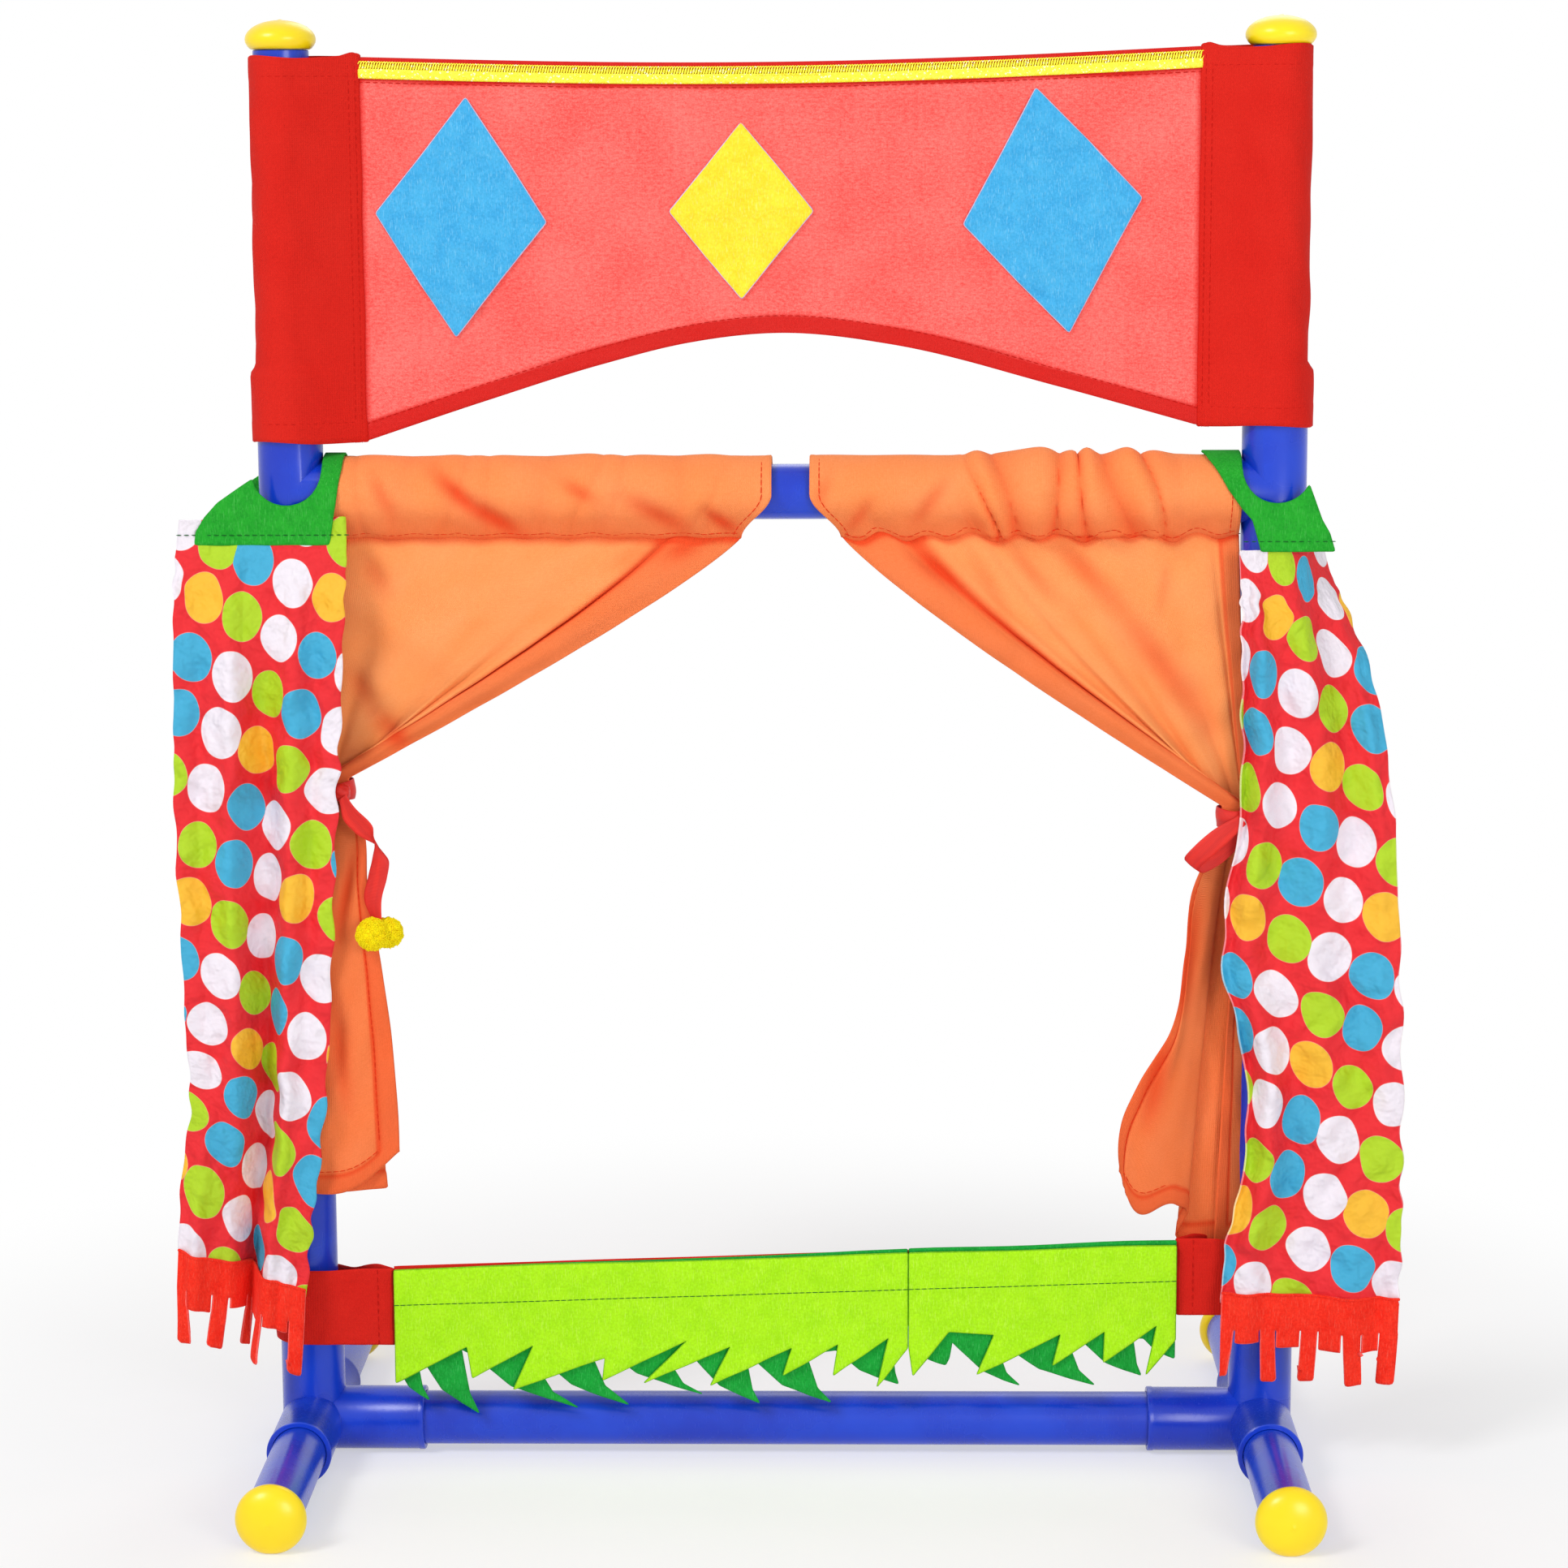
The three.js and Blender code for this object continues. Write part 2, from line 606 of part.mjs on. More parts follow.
// A curtain below its pocket: pulled aside in fanned folds, straight through its tie, then hanging in
// soft pleats.
function addDrape(side, sign) {
  const drape = drapes[side];
  const outerTop = postX - connectorRadius - pocketEndGap;
  const innerTop = pocketHalfOpening + sign * pocketOpeningCentre + pocketEndSlant;
  const bunchX = postX - drape.bunchOffset;
  const neck = ribbonWidth / 2 + neckClearance;
  const foldAt = (u, folds) => Math.sin(2 * Math.PI * folds * u);
  const bunchAt = (u) => bunchX + (0.5 - u) * bunchWidth;
  const swagPoint = (u, share) => {
    const x = THREE.MathUtils.lerp(THREE.MathUtils.lerp(outerTop, innerTop, u), bunchAt(u), share);
    const swell = Math.sin(Math.PI * share) * swagFold + share * bunchFold;
    const forward = THREE.MathUtils.lerp(pocketSeamForward, drape.bunchForward, share);
    const y = swell * foldAt(u, drapeFolds) - forward;
    const z = THREE.MathUtils.lerp(pocketSeamHeight - seamGap, drape.tieHeight + neck, share);
    return new THREE.Vector3(sign * x, y, z);
  };
  const tailPoint = (u, share) => {
    const spread = share ** drape.tailSpreadPower;
    const spreadX = postX - THREE.MathUtils.lerp(drape.tailOuter, drape.tailInner, u);
    const x = THREE.MathUtils.lerp(bunchAt(u), spreadX, spread);
    const settle = THREE.MathUtils.smoothstep(share, 0, 2 / tailRows);
    const gathered = bunchFold * foldAt(u, drapeFolds);
    const loose = drape.tailFold * foldAt(u, tailFolds);
    const forward = THREE.MathUtils.lerp(drape.bunchForward, drape.tailForward, settle);
    const y = THREE.MathUtils.lerp(gathered, loose, settle) - forward;
    const foot = drape.tailFoot + drape.tailRise * u ** 2;
    return new THREE.Vector3(sign * x, y, THREE.MathUtils.lerp(drape.tieHeight - neck, foot, share));
  };
  const rows = swagRows + neckRows + tailRows;
  const point = (u, v) => {
    const row = v * rows;
    if (row <= swagRows) return swagPoint(u, row / swagRows);
    return tailPoint(u, Math.max(0, (row - swagRows - neckRows) / tailRows));
  };
  add(`${side}_curtain_drape`, sheet(point, drapeColumns, rows, clothThickness), 'orange');
}

// How far a tie's knot stands from the frame's middle plane: in front of the bunch, or behind the post.
function knotDepth(side) {
  const seat = tassels[side].direction < 0
    ? drapes[side].bunchForward + bunchWidth / 2 + clothThickness
    : tubeRadius;
  return seat + tieClearance + knotRadius - ribbonThickness / 2;
}

// A satin ribbon drawn round the post and the gathered curtain, with its knot.
function addTie(side, sign) {
  const { tieHeight, bunchOffset, bunchForward } = drapes[side];
  const { direction, knotInward } = tassels[side];
  const bunchRadius = bunchWidth / 2 + clothThickness + tieClearance;
  const circles = [
    [sign * postX, 0, tubeRadius + tieClearance],
    [sign * (postX - bunchOffset), -bunchForward, bunchRadius],
  ];
  const foot = tieHeight - ribbonWidth / 2;
  const band = uprightSleeve([{ z: foot, circles }, { z: foot + ribbonWidth, circles }], ribbonThickness);
  const knot = new THREE.SphereGeometry(knotRadius, 10, 6);
  knot.translate(sign * (postX - knotInward), direction * knotDepth(side), tieHeight);
  add(`${side}_tie_ribbon`, fromSolid(toSolid(band).add(toSolid(knot))), 'red');
}

// The loose end of a tie: a ribbon pinched at its knot and at its two pompoms.
function addTassel(side, sign) {
  const { direction, knotInward, route, pompomShares } = tassels[side];
  const depth = direction * (knotDepth(side) + knotRadius + seamGap + ribbonThickness / 2);
  const { tieHeight } = drapes[side];
  const line = new THREE.CatmullRomCurve3(route.map(([inward, drop]) => (
    new THREE.Vector3(sign * (postX - knotInward - inward), depth, tieHeight - drop))));
  const lean = THREE.MathUtils.degToRad(tailLeanDegrees);
  const point = (u, v) => {
    const widthShare = THREE.MathUtils.lerp(tailPinchShare, 1, Math.sin(Math.PI * v));
    const across = (u - 0.5) * ribbonWidth * widthShare;
    return line.getPoint(v).add(new THREE.Vector3(across * Math.cos(lean), 0, across * Math.sin(lean)));
  };
  add(`${side}_tie_tail`, sheet(point, 1, tailPieces, ribbonThickness), 'red');
  pompomShares.forEach(([inward, back, rise], index) => {
    const ball = new THREE.SphereGeometry(pompomRadius, 10, 8);
    const offset = new THREE.Vector3(-sign * inward, back, rise).multiplyScalar(pompomRadius);
    add(`${side}_pompom_${index + 1}`, ball, 'pompom').position.copy(line.getPoint(1)).add(offset);
  });
}

// A felt yoke: folded over the rod end, with a round notch that lets the post through.
function addYoke(side, sign) {
  const { inner, outer, notchEndDegrees, footDrop } = yokes[side];
  const arch = new THREE.Shape();
  const outerRadius = yokeRadius + feltThickness;
  arch.moveTo(-outerRadius, -footDrop);
  arch.lineTo(-yokeRadius, -footDrop);
  arch.lineTo(-yokeRadius, 0);
  arch.absarc(0, 0, yokeRadius, Math.PI, 0, true);
  arch.lineTo(yokeRadius, -footDrop);
  arch.lineTo(outerRadius, -footDrop);
  arch.lineTo(outerRadius, 0);
  arch.absarc(0, 0, outerRadius, 0, Math.PI, false);
  const blank = { depth: yokeBlankLength, bevelEnabled: false, curveSegments: 12 };
  const folded = new THREE.ExtrudeGeometry(arch, blank);
  folded.translate(0, 0, -yokeBlankLength / 2);
  folded.applyMatrix4(new THREE.Matrix4().makeBasis(directions.rear, directions.up, directions.right));
  folded.translate(sign * postX, 0, rodHeight);
  const notchRadius = connectorRadius + yokeNotchClearance;
  const notchCentre = notchRadius - yokeNotchDrop;
  const notchSteps = 12;
  const notch = [];
  for (let step = 0; step <= notchSteps; step += 1) {
    const angle = THREE.MathUtils.degToRad(notchEndDegrees) * (1 - step / notchSteps);
    notch.push([notchRadius * Math.cos(angle), notchCentre + notchRadius * Math.sin(angle)]);
  }
  const throat = [notchRadius, inner[0][1]];
  const outline = [...inner, ...outer, ...notch, throat].map(([inward, rise]) => (
    [sign * (postX - inward), rodHeight + rise]));
  const front = cutPiece(outline, () => 0, 4 * outerRadius);
  add(`${side}_yoke`, fromSolid(toSolid(folded).intersect(toSolid(front))), 'green');
}

// Where a side panel lies: u runs from its inner to its outer edge and v from its top seam to its foot.
function panelPoint(side, sign, u, v) {
  const { foot, wrap, innerShares, outerShares } = panels[side];
  const top = rodHeight - yokes[side].footDrop - panelHingeDrop;
  const innerX = postX + panelReach * lerpShares(innerShares, v);
  const outerX = postX + panelReach * lerpShares(outerShares, v);
  const z = THREE.MathUtils.lerp(top, THREE.MathUtils.lerp(foot.inner, foot.outer, u), v);
  const settle = THREE.MathUtils.smoothstep(v, 0, panelSettleShare);
  const folds = panelFold * settle * Math.sin(Math.PI * (2 * panelFolds * u + v)) * Math.sin(Math.PI * v);
  const { down, across } = panelWrapShares;
  const turn = wrap * (1 - THREE.MathUtils.smoothstep(v, 0, down)) * THREE.MathUtils.smoothstep(u, across, 1);
  const y = -THREE.MathUtils.lerp(panelTopDepth, panelForward, settle) + folds + turn;
  return new THREE.Vector3(sign * THREE.MathUtils.lerp(innerX, outerX, u), y, z);
}

function addSidePanel(side, sign) {
  const point = (u, v) => panelPoint(side, sign, u, v);
  add(`${side}_side_panel`, sheet(point, panelColumns, panelRows, clothThickness), 'dotted');
  const [innerFoot, outerFoot] = [point(0, 1), point(1, 1)];
  const along = (share, drop) => [
    THREE.MathUtils.lerp(innerFoot.x, outerFoot.x, share),
    THREE.MathUtils.lerp(innerFoot.z, outerFoot.z, share) - drop,
  ];
  const outline = [];
  for (let index = 0; index <= fringeStrips; index += 1) {
    outline.push(along(index / fringeStrips, -fringeLap));
  }
  for (let index = fringeStrips - 1; index >= 0; index -= 1) {
    const drop = index % 2 ? fringeShortStrip : fringeLongStrip;
    const gap = (1 - fringeStripShare) / 2;
    const [from, to] = [(index + gap) / fringeStrips, (index + 1 - gap) / fringeStrips];
    outline.push(along(to, fringeBand), along(to, drop), along(from, drop), along(from, fringeBand));
  }
  const depth = -panelForward - clothThickness / 2 - seamGap - feltThickness / 2;
  add(`${side}_fringe`, cutPiece(outline, () => depth, feltThickness), 'fringe');
}

// The heights of the grass band follow one sloping line between the two posts.
const bandLow = (x) => THREE.MathUtils.lerp(bandFoot.left, bandFoot.right, (x / postX + 1) / 2);
const bandMiddle = (x) => bandLow(x) + bandHeight / 2 + seamGap;

function addGrassBand() {
  const loopEnd = postX - bandLoopReach;
  const reach = loopEnd - seamGap;
  const point = (u, v) => {
    const x = THREE.MathUtils.lerp(-reach, reach, u);
    return new THREE.Vector3(x, -bandDepth, bandLow(x) + v * bandHeight);
  };
  add('grass_band', sheet(point, 1, 1, clothThickness), 'red');
  for (const [side, sign] of sides) {
    const tip = loopEnd + clothThickness + seamTipRadius;
    const circles = [[sign * postX, 0, bandRadius], [sign * tip, seamTipRadius - bandRadius, seamTipRadius]];
    const foot = bandFoot[side];
    const levels = [{ z: foot, circles }, { z: foot + bandHeight, circles }];
    add(`${side}_band_loop`, uprightSleeve(levels, clothThickness), 'red');
  }
  const split = reach * grassSplitShare;
  const spans = { left: [-reach, split - grassSplitGap / 2], right: [split + grassSplitGap / 2, reach] };
  for (const [side] of sides) {
    const [start, end] = spans[side];
    const cut = (headRise, toothDrop, shares) => {
      const at = (share, rise) => {
        const x = THREE.MathUtils.lerp(start, end, share);
        return [x, bandMiddle(x) + rise];
      };
      const teeth = shares.map(([along, down]) => (
        at(along, -THREE.MathUtils.lerp(grassValleyDrop, toothDrop, down))));
      return [at(1, headRise), at(0, headRise), ...teeth];
    };
    const light = cut(grassHeadRise, grassToothDrop, lightToothShares[side]);
    add(`${side}_light_grass`, cutPiece(light, () => -lightGrassDepth, feltThickness), 'lime');
    const dark = cut(darkHeadRise, darkToothDrop, darkToothShares[side]);
    add(`${side}_dark_grass`, cutPiece(dark, () => -darkGrassDepth, feltThickness), 'grass');
  }
}

addFrame();
addValance();
for (const [side, sign] of sides) {
  addPocket(side, sign);
  addDrape(side, sign);
  addTie(side, sign);
  addTassel(side, sign);
  addYoke(side, sign);
  addSidePanel(side, sign);
}
addGrassBand();

export default stand;
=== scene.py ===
"""A tabletop puppet theatre stand: blue push-fit tubes dressed with cloth curtains, felt and braid.

Shapes are worked out in millimetres and become metres where a mesh is made. Every piece is placed
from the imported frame, whose audience sits on the -Y side.
"""

from __future__ import annotations

import logging
import math
import random
from dataclasses import dataclass
from enum import Enum
from typing import Callable, Sequence

import bpy
import numpy as np
from mathutils import Matrix, Vector
from mathutils.geometry import delaunay_2d_cdt

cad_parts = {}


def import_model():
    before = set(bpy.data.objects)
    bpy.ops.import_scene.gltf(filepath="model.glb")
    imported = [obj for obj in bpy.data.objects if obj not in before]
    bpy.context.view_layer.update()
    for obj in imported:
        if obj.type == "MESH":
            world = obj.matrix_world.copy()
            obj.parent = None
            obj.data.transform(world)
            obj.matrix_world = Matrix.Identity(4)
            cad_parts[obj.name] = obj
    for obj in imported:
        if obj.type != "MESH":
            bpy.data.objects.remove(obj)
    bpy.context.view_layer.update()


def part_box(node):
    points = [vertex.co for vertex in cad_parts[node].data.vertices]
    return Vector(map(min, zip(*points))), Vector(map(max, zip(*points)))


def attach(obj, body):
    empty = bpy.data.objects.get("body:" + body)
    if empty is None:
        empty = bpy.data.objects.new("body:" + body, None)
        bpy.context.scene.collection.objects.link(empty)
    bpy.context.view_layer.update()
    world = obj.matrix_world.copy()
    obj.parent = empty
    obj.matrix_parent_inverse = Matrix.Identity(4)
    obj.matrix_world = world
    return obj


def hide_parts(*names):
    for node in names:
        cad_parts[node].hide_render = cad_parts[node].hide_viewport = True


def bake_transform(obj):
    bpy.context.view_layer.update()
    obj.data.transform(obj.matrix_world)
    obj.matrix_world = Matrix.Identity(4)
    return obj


MM = 0.001
TURN = 2 * math.pi
ROOT = "frame"
IMAGE_SIDE = 1932
LOG = logging.getLogger("stand")

Array = np.ndarray
Piece = bpy.types.Object
Material = bpy.types.Material
Node = bpy.types.Node
Socket = bpy.types.NodeSocket
Tree = bpy.types.NodeTree
Colour = tuple[float, float, float]
Point = tuple[float, float, float]


class Side(Enum):
    """The two sides of the stand, with the sign of their X."""

    LEFT = -1
    RIGHT = 1

    @property
    def label(self) -> str:
        """The side's name as the nodes spell it."""
        return self.name.lower()


class Slot(Enum):
    """The material slots."""

    BLUE = "blue_plastic"
    YELLOW = "yellow_plastic"
    RED_CLOTH = "red_cloth"
    BRAID = "gold_braid"
    SKY_FELT = "sky_felt"
    YELLOW_FELT = "yellow_felt"
    ORANGE = "orange_cloth"
    GREEN_FELT = "green_felt"
    LIME_FELT = "lime_felt"
    DARK_FELT = "dark_green_felt"
    DOTTED = "dotted_cloth"
    RED_FELT = "red_felt"
    RIBBON = "red_ribbon"
    POMPOM = "yellow_pompom"


class Hold(Enum):
    """How a piece of cloth is held."""

    HUNG = "hung"
    GATHERED = "gathered"
    FOLDED = "folded"
    STRETCHED = "stretched"


def smoothstep(value: Array | float, start: float, end: float) -> Array:
    """A soft step.

    Args:
        value: Where the step is read.
        start: Where it leaves zero.
        end: Where it reaches one.

    Returns:
        The step's height at each value.
    """
    share = np.clip((np.asarray(value, float) - start) / (end - start), 0, 1)
    return share * share * (3 - 2 * share)


def mix(start: Array | float, end: Array | float, share: Array | float) -> Array:
    """The value that lies a share of the way from start to end."""
    return start + (end - start) * share


def bump_at(value: Array, centre: float, width: float) -> Array:
    """A bell-shaped bump of height one."""
    return np.exp(-(((value - centre) / width) ** 2))


def creased(x: Array, z: Array, strokes: Sequence[tuple]) -> Array:
    """How deep short creases are at each place.

    Args:
        x: Places across.
        z: Places up.
        strokes: Each crease as start x and z, end x and z, half width and depth.

    Returns:
        The summed depth.
    """
    deep = np.zeros(np.broadcast(x, z).shape)
    for x1, z1, x2, z2, width, depth in strokes:
        run, rise = x2 - x1, z2 - z1
        share = np.clip(((x - x1) * run + (z - z1) * rise) / (run * run + rise * rise), 0, 1)
        away = np.hypot(x - x1 - run * share, z - z1 - rise * share)
        deep = deep + depth * np.exp(-((away / width) ** 2)) * (0.35 + 0.65 * np.sin(math.pi * share))
    return deep


def smooth_table(stops: Sequence[float], values: Sequence, at: Array) -> Array:
    """Reads a short table along a smooth curve through its values.

    Args:
        stops: Rising places of the values.
        values: A number or a point at each stop.
        at: Places to read, of any shape.

    Returns:
        The values there, with the points' coordinates in the last axis.
    """
    stops, values = np.asarray(stops, float), np.asarray(values, float)
    flat = values.ndim == 1
    values = values[:, None] if flat else values
    slopes = np.gradient(values, stops, axis=0)
    at = np.clip(np.asarray(at, float), stops[0], stops[-1])
    index = np.clip(np.searchsorted(stops, at, side="right") - 1, 0, len(stops) - 2)
    span = (stops[index + 1] - stops[index])[..., None]
    t = (at - stops[index])[..., None] / span
    t2, t3 = t * t, t * t * t
    read = values[index] * (2 * t3 - 3 * t2 + 1) + slopes[index] * span * (t3 - 2 * t2 + t)
    read += values[index + 1] * (3 * t2 - 2 * t3) + slopes[index + 1] * span * (t3 - t2)
    return read[..., 0] if flat else read


def equal_steps(line: Array, count: int, closed: bool = False) -> Array:
    """Resamples a line to equal steps.

    Args:
        line: Points, one a row.
        count: Number of points wanted.
        closed: Whether the last point joins the first.

    Returns:
        The resampled points; a closed line's first point isn't repeated.
    """
    line = np.vstack([line, line[:1]]) if closed else line
    run = run_along(line)
    at = np.linspace(0, run[-1], count + 1)[:-1] if closed else np.linspace(0, run[-1], count)
    return np.stack([np.interp(at, run, line[:, k]) for k in range(line.shape[1])], 1)


def run_along(line: Array) -> Array:
    """How far along a line of points each point lies."""
    return np.concatenate([[0], np.cumsum(np.linalg.norm(np.diff(line, axis=0), axis=1))])


def line_length(line: Array) -> float:
    """The length of a line of points."""
    return float(run_along(line)[-1])


def girths(loop: Array) -> Array:
    """Even distances round a closed loop, one for each point and one for its whole girth."""
    return np.linspace(0, line_length(np.vstack([loop, loop[:1]])), len(loop) + 1)


def unit(vectors: Array) -> Array:
    """The vectors of the last axis at a length of one."""
    return vectors / np.maximum(np.linalg.norm(vectors, axis=-1, keepdims=True), 1e-9)


def signed_area(outline: Array) -> float:
    """The area inside an outline, above zero where it runs anticlockwise."""
    after = np.roll(outline, -1, axis=0)
    return float(np.sum(outline[:, 0] * after[:, 1] - outline[:, 1] * after[:, 0])) / 2


def box_mm(node: str) -> tuple[Array, Array]:
    """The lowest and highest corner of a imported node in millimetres."""
    low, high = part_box(node)
    return np.array(low) / MM, np.array(high) / MM


def smooth_noise(seed: int, count: int, reach: Sequence[float], shortest: float) -> Callable[..., Array]:
    """Makes a smooth random surface out of a few waves.

    Args:
        seed: Fixed seed of the random draws.
        count: Number of waves.
        reach: Longest wave along each of the two directions.
        shortest: The shortest wave as a share of the longest.

    Returns:
        A function of two arrays whose values stay within about one of zero.
    """
    draw = random.Random(seed)
    waves = []
    for _ in range(count):
        scale = mix(shortest, 1.0, draw.random())
        first = draw.choice((-1, 1)) * TURN / (reach[0] * scale)
        waves.append((first, TURN / (reach[1] * scale), draw.random() * TURN, mix(0.5, 1.0, draw.random())))
    total = sum(wave[3] for wave in waves) * 0.6

    def surface(a: Array, b: Array) -> Array:
        """The random surface at two arrays of places."""
        return sum(h * np.sin(p * a + q * b + start) for p, q, start, h in waves) / total

    return surface


def outward(points: Array, faces: Sequence[Sequence[int]]) -> bool:
    """Whether a closed mesh's faces already point out, from the sign of its volume."""
    volume = 0.0
    for face in faces:
        for second, third in zip(face[1:-1], face[2:]):
            volume += float(np.dot(points[face[0]], np.cross(points[second], points[third])))
    return volume > 0


def link(name: str, data: bpy.types.ID) -> Piece:
    """Adds an object that shows a mesh, lamp or camera to the scene."""
    made = bpy.data.objects.new(name, data)
    bpy.context.scene.collection.objects.link(made)
    return made


def make_object(
    name: str,
    points: Array,
    faces: list[list[int]],
    materials: Sequence[Material],
    slots: Sequence[int] | None = None,
    corner_uv: Array | None = None,
    sharp_degrees: float = 50,
) -> Piece:
    """Makes a mesh object from a closed shape in millimetres.

    Args:
        name: The piece's name.
        points: Corners in millimetres.
        faces: Corner numbers of each face, all wound alike.
        materials: The piece's materials.
        slots: Material number of each face.
        corner_uv: Place on the flat cloth of each face corner, in millimetres.
        sharp_degrees: Edges bent more than this stay sharp.

    Returns:
        The linked object, at the origin.
    """
    if not outward(points, faces):
        if corner_uv is not None:
            parts = np.split(corner_uv, np.cumsum([len(face) for face in faces])[:-1])
            corner_uv = np.vstack([part[::-1] for part in parts])
        faces = [list(reversed(face)) for face in faces]
    mesh = bpy.data.meshes.new(name)
    mesh.from_pydata((points * MM).tolist(), [], faces)
    for material in materials:
        mesh.materials.append(material)
    if slots is not None:
        mesh.polygons.foreach_set("material_index", np.asarray(slots, np.int32))
    if corner_uv is not None:
        layer = mesh.uv_layers.new(name="UVMap")
        layer.data.foreach_set("uv", (np.asarray(corner_uv) * MM).ravel().astype(np.float32))
    mesh.shade_smooth()
    mesh.set_sharp_from_angle(angle=math.radians(sharp_degrees))
    mesh.update()
    return link(name, mesh)


def evaluated_copy(piece: Piece, name: str) -> Piece:
    """Turns a piece with modifiers into a plain one.

    Args:
        piece: The piece with live modifiers, which is removed.
        name: The plain piece's name.

    Returns:
        The plain piece.
    """
    bpy.context.view_layer.update()
    graph = bpy.context.evaluated_depsgraph_get()
    mesh = bpy.data.meshes.new_from_object(piece.evaluated_get(graph))
    bpy.data.objects.remove(piece)
    mesh.name = name
    return link(name, mesh)


def seat(piece: Piece, slot: Slot, body: str | None = ROOT, replaces: Sequence[str] = ()) -> Piece:
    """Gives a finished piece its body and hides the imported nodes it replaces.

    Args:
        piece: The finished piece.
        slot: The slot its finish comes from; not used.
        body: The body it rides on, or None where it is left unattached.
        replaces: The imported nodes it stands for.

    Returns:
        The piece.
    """
    if body is not None:
        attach(piece, body)
    if replaces:
        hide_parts(*replaces)
    LOG.info("%s on %s: %d faces", piece.name, body or "a blend", len(piece.data.polygons))
    return piece


@dataclass
class Sheet:
    """A closed, two-sided sheet over a grid of points, in millimetres.

    Attributes:
        points: Middle surface, rows by columns by three.
        flat: Place on the uncut cloth, with one more column where the sheet is wrapped.
        thickness: Thickness, one number or one for each grid point.
        wrapped: Whether the last column joins the first.
    """

    points: Array
    flat: Array
    thickness: Array | float
    wrapped: bool = False

    RIM = 0.8

    def directions(self) -> tuple[Array, Array, Array]:
        """The unit directions along the columns, along the rows and out of the front."""
        grid = self.points
        if self.wrapped:
            across = np.roll(grid, -1, axis=1) - np.roll(grid, 1, axis=1)
        else:
            across = np.gradient(grid, axis=1)
        along = np.gradient(grid, axis=0)
        return unit(across), unit(along), unit(np.cross(across, along))

    def rims(self) -> list[tuple[Array, Array, Array]]:
        """The open edges as grid numbers, flat numbers and outward directions."""
        rows, columns = self.points.shape[:2]
        across, along, _ = self.directions()
        wide = columns + self.wrapped
        if self.wrapped:
            loops = [[(0, c) for c in range(wide)], [(rows - 1, c) for c in reversed(range(wide))]]
        else:
            loop = [(0, c) for c in range(columns)] + [(r, columns - 1) for r in range(1, rows)]
            loop += [(rows - 1, c) for c in reversed(range(columns - 1))]
            loops = [loop + [(r, 0) for r in reversed(range(1, rows - 1))]]
        found = []
        for loop in loops:
            r, c = np.array(loop).T
            inner = c % columns
            out = along[r, inner] * ((r == rows - 1) * 1.0 - (r == 0))[:, None]
            if not self.wrapped:
                out = out + across[r, inner] * ((c == columns - 1) * 1.0 - (c == 0))[:, None]
            found.append((r * columns + inner, r * wide + c, unit(out)))
        return found

    def build(
        self, name: str, front: Material, reverse: Material | None = None, layers: Array | None = None
    ) -> Piece:
        """Makes the sheet's closed mesh with a rounded edge.

        Args:
            name: The piece's name.
            front: Material of the front and the edge.
            reverse: Material of the back, the front's if it is left out.
            layers: How far each grid point takes the cloth's deeper tone, from 0 to 1: doubled cloth, and
                painted shade.

        Returns:
            The piece.
        """
        rows, columns = self.points.shape[:2]
        wide = columns + self.wrapped
        count = rows * columns
        middle_layer = self.points.reshape(-1, 3)
        half = np.broadcast_to(self.thickness, (rows, columns)).reshape(-1, 1) / 2
        normal = self.directions()[2].reshape(-1, 3)
        r, c = np.meshgrid(np.arange(rows - 1), np.arange(wide - 1), indexing="ij")
        corners = [(r, c), (r, c + 1), (r + 1, c + 1), (r + 1, c)]
        quads = np.stack([(a * columns + b % columns).ravel() for a, b in corners], 1)
        places = np.stack([(a * wide + b).ravel() for a, b in corners], 1)
        faces = [quads, quads[:, ::-1] + count]
        flats = [places, places[:, ::-1]]
        sides = [np.zeros(len(quads), int), np.ones(len(quads), int)]
        rim_points, rim_numbers = [], []
        start = 2 * count
        for numbers, spots, out in self.rims():
            rim_points.append(middle_layer[numbers] + out * half[numbers] * self.RIM)
            rim_numbers.append(numbers)
            middle = start + np.arange(len(numbers))
            start += len(numbers)
            if self.wrapped:
                middle[-1] = middle[0]
            else:
                middle, numbers, spots = (np.append(line, line[0]) for line in (middle, numbers, spots))
            for upper, lower in ((numbers, middle), (middle, numbers + count)):
                faces.append(np.stack([upper[:-1], lower[:-1], lower[1:], upper[1:]], 1))
                flats.append(np.stack([spots[:-1], spots[:-1], spots[1:], spots[1:]], 1))
                sides.append(np.zeros(len(upper) - 1, int))
        points = np.vstack([middle_layer + normal * half, middle_layer - normal * half, *rim_points])
        uv = self.flat.reshape(-1, 2)[np.vstack(flats).ravel()]
        used, renumbered = np.unique(np.vstack(faces), return_inverse=True)
        faces = renumbered.reshape(-1, 4).tolist()
        materials = [front, reverse or front]
        piece = make_object(name, points[used], faces, materials, np.concatenate(sides), uv, 75)
        if layers is not None:
            grid = np.broadcast_to(layers, (rows, columns)).reshape(-1)
            values = np.concatenate([grid, grid, *[grid[numbers] for numbers in rim_numbers]])
            attribute = piece.data.attributes.new("layers", "FLOAT", "POINT")
            attribute.data.foreach_set("value", values[used].astype(np.float32))
        return piece


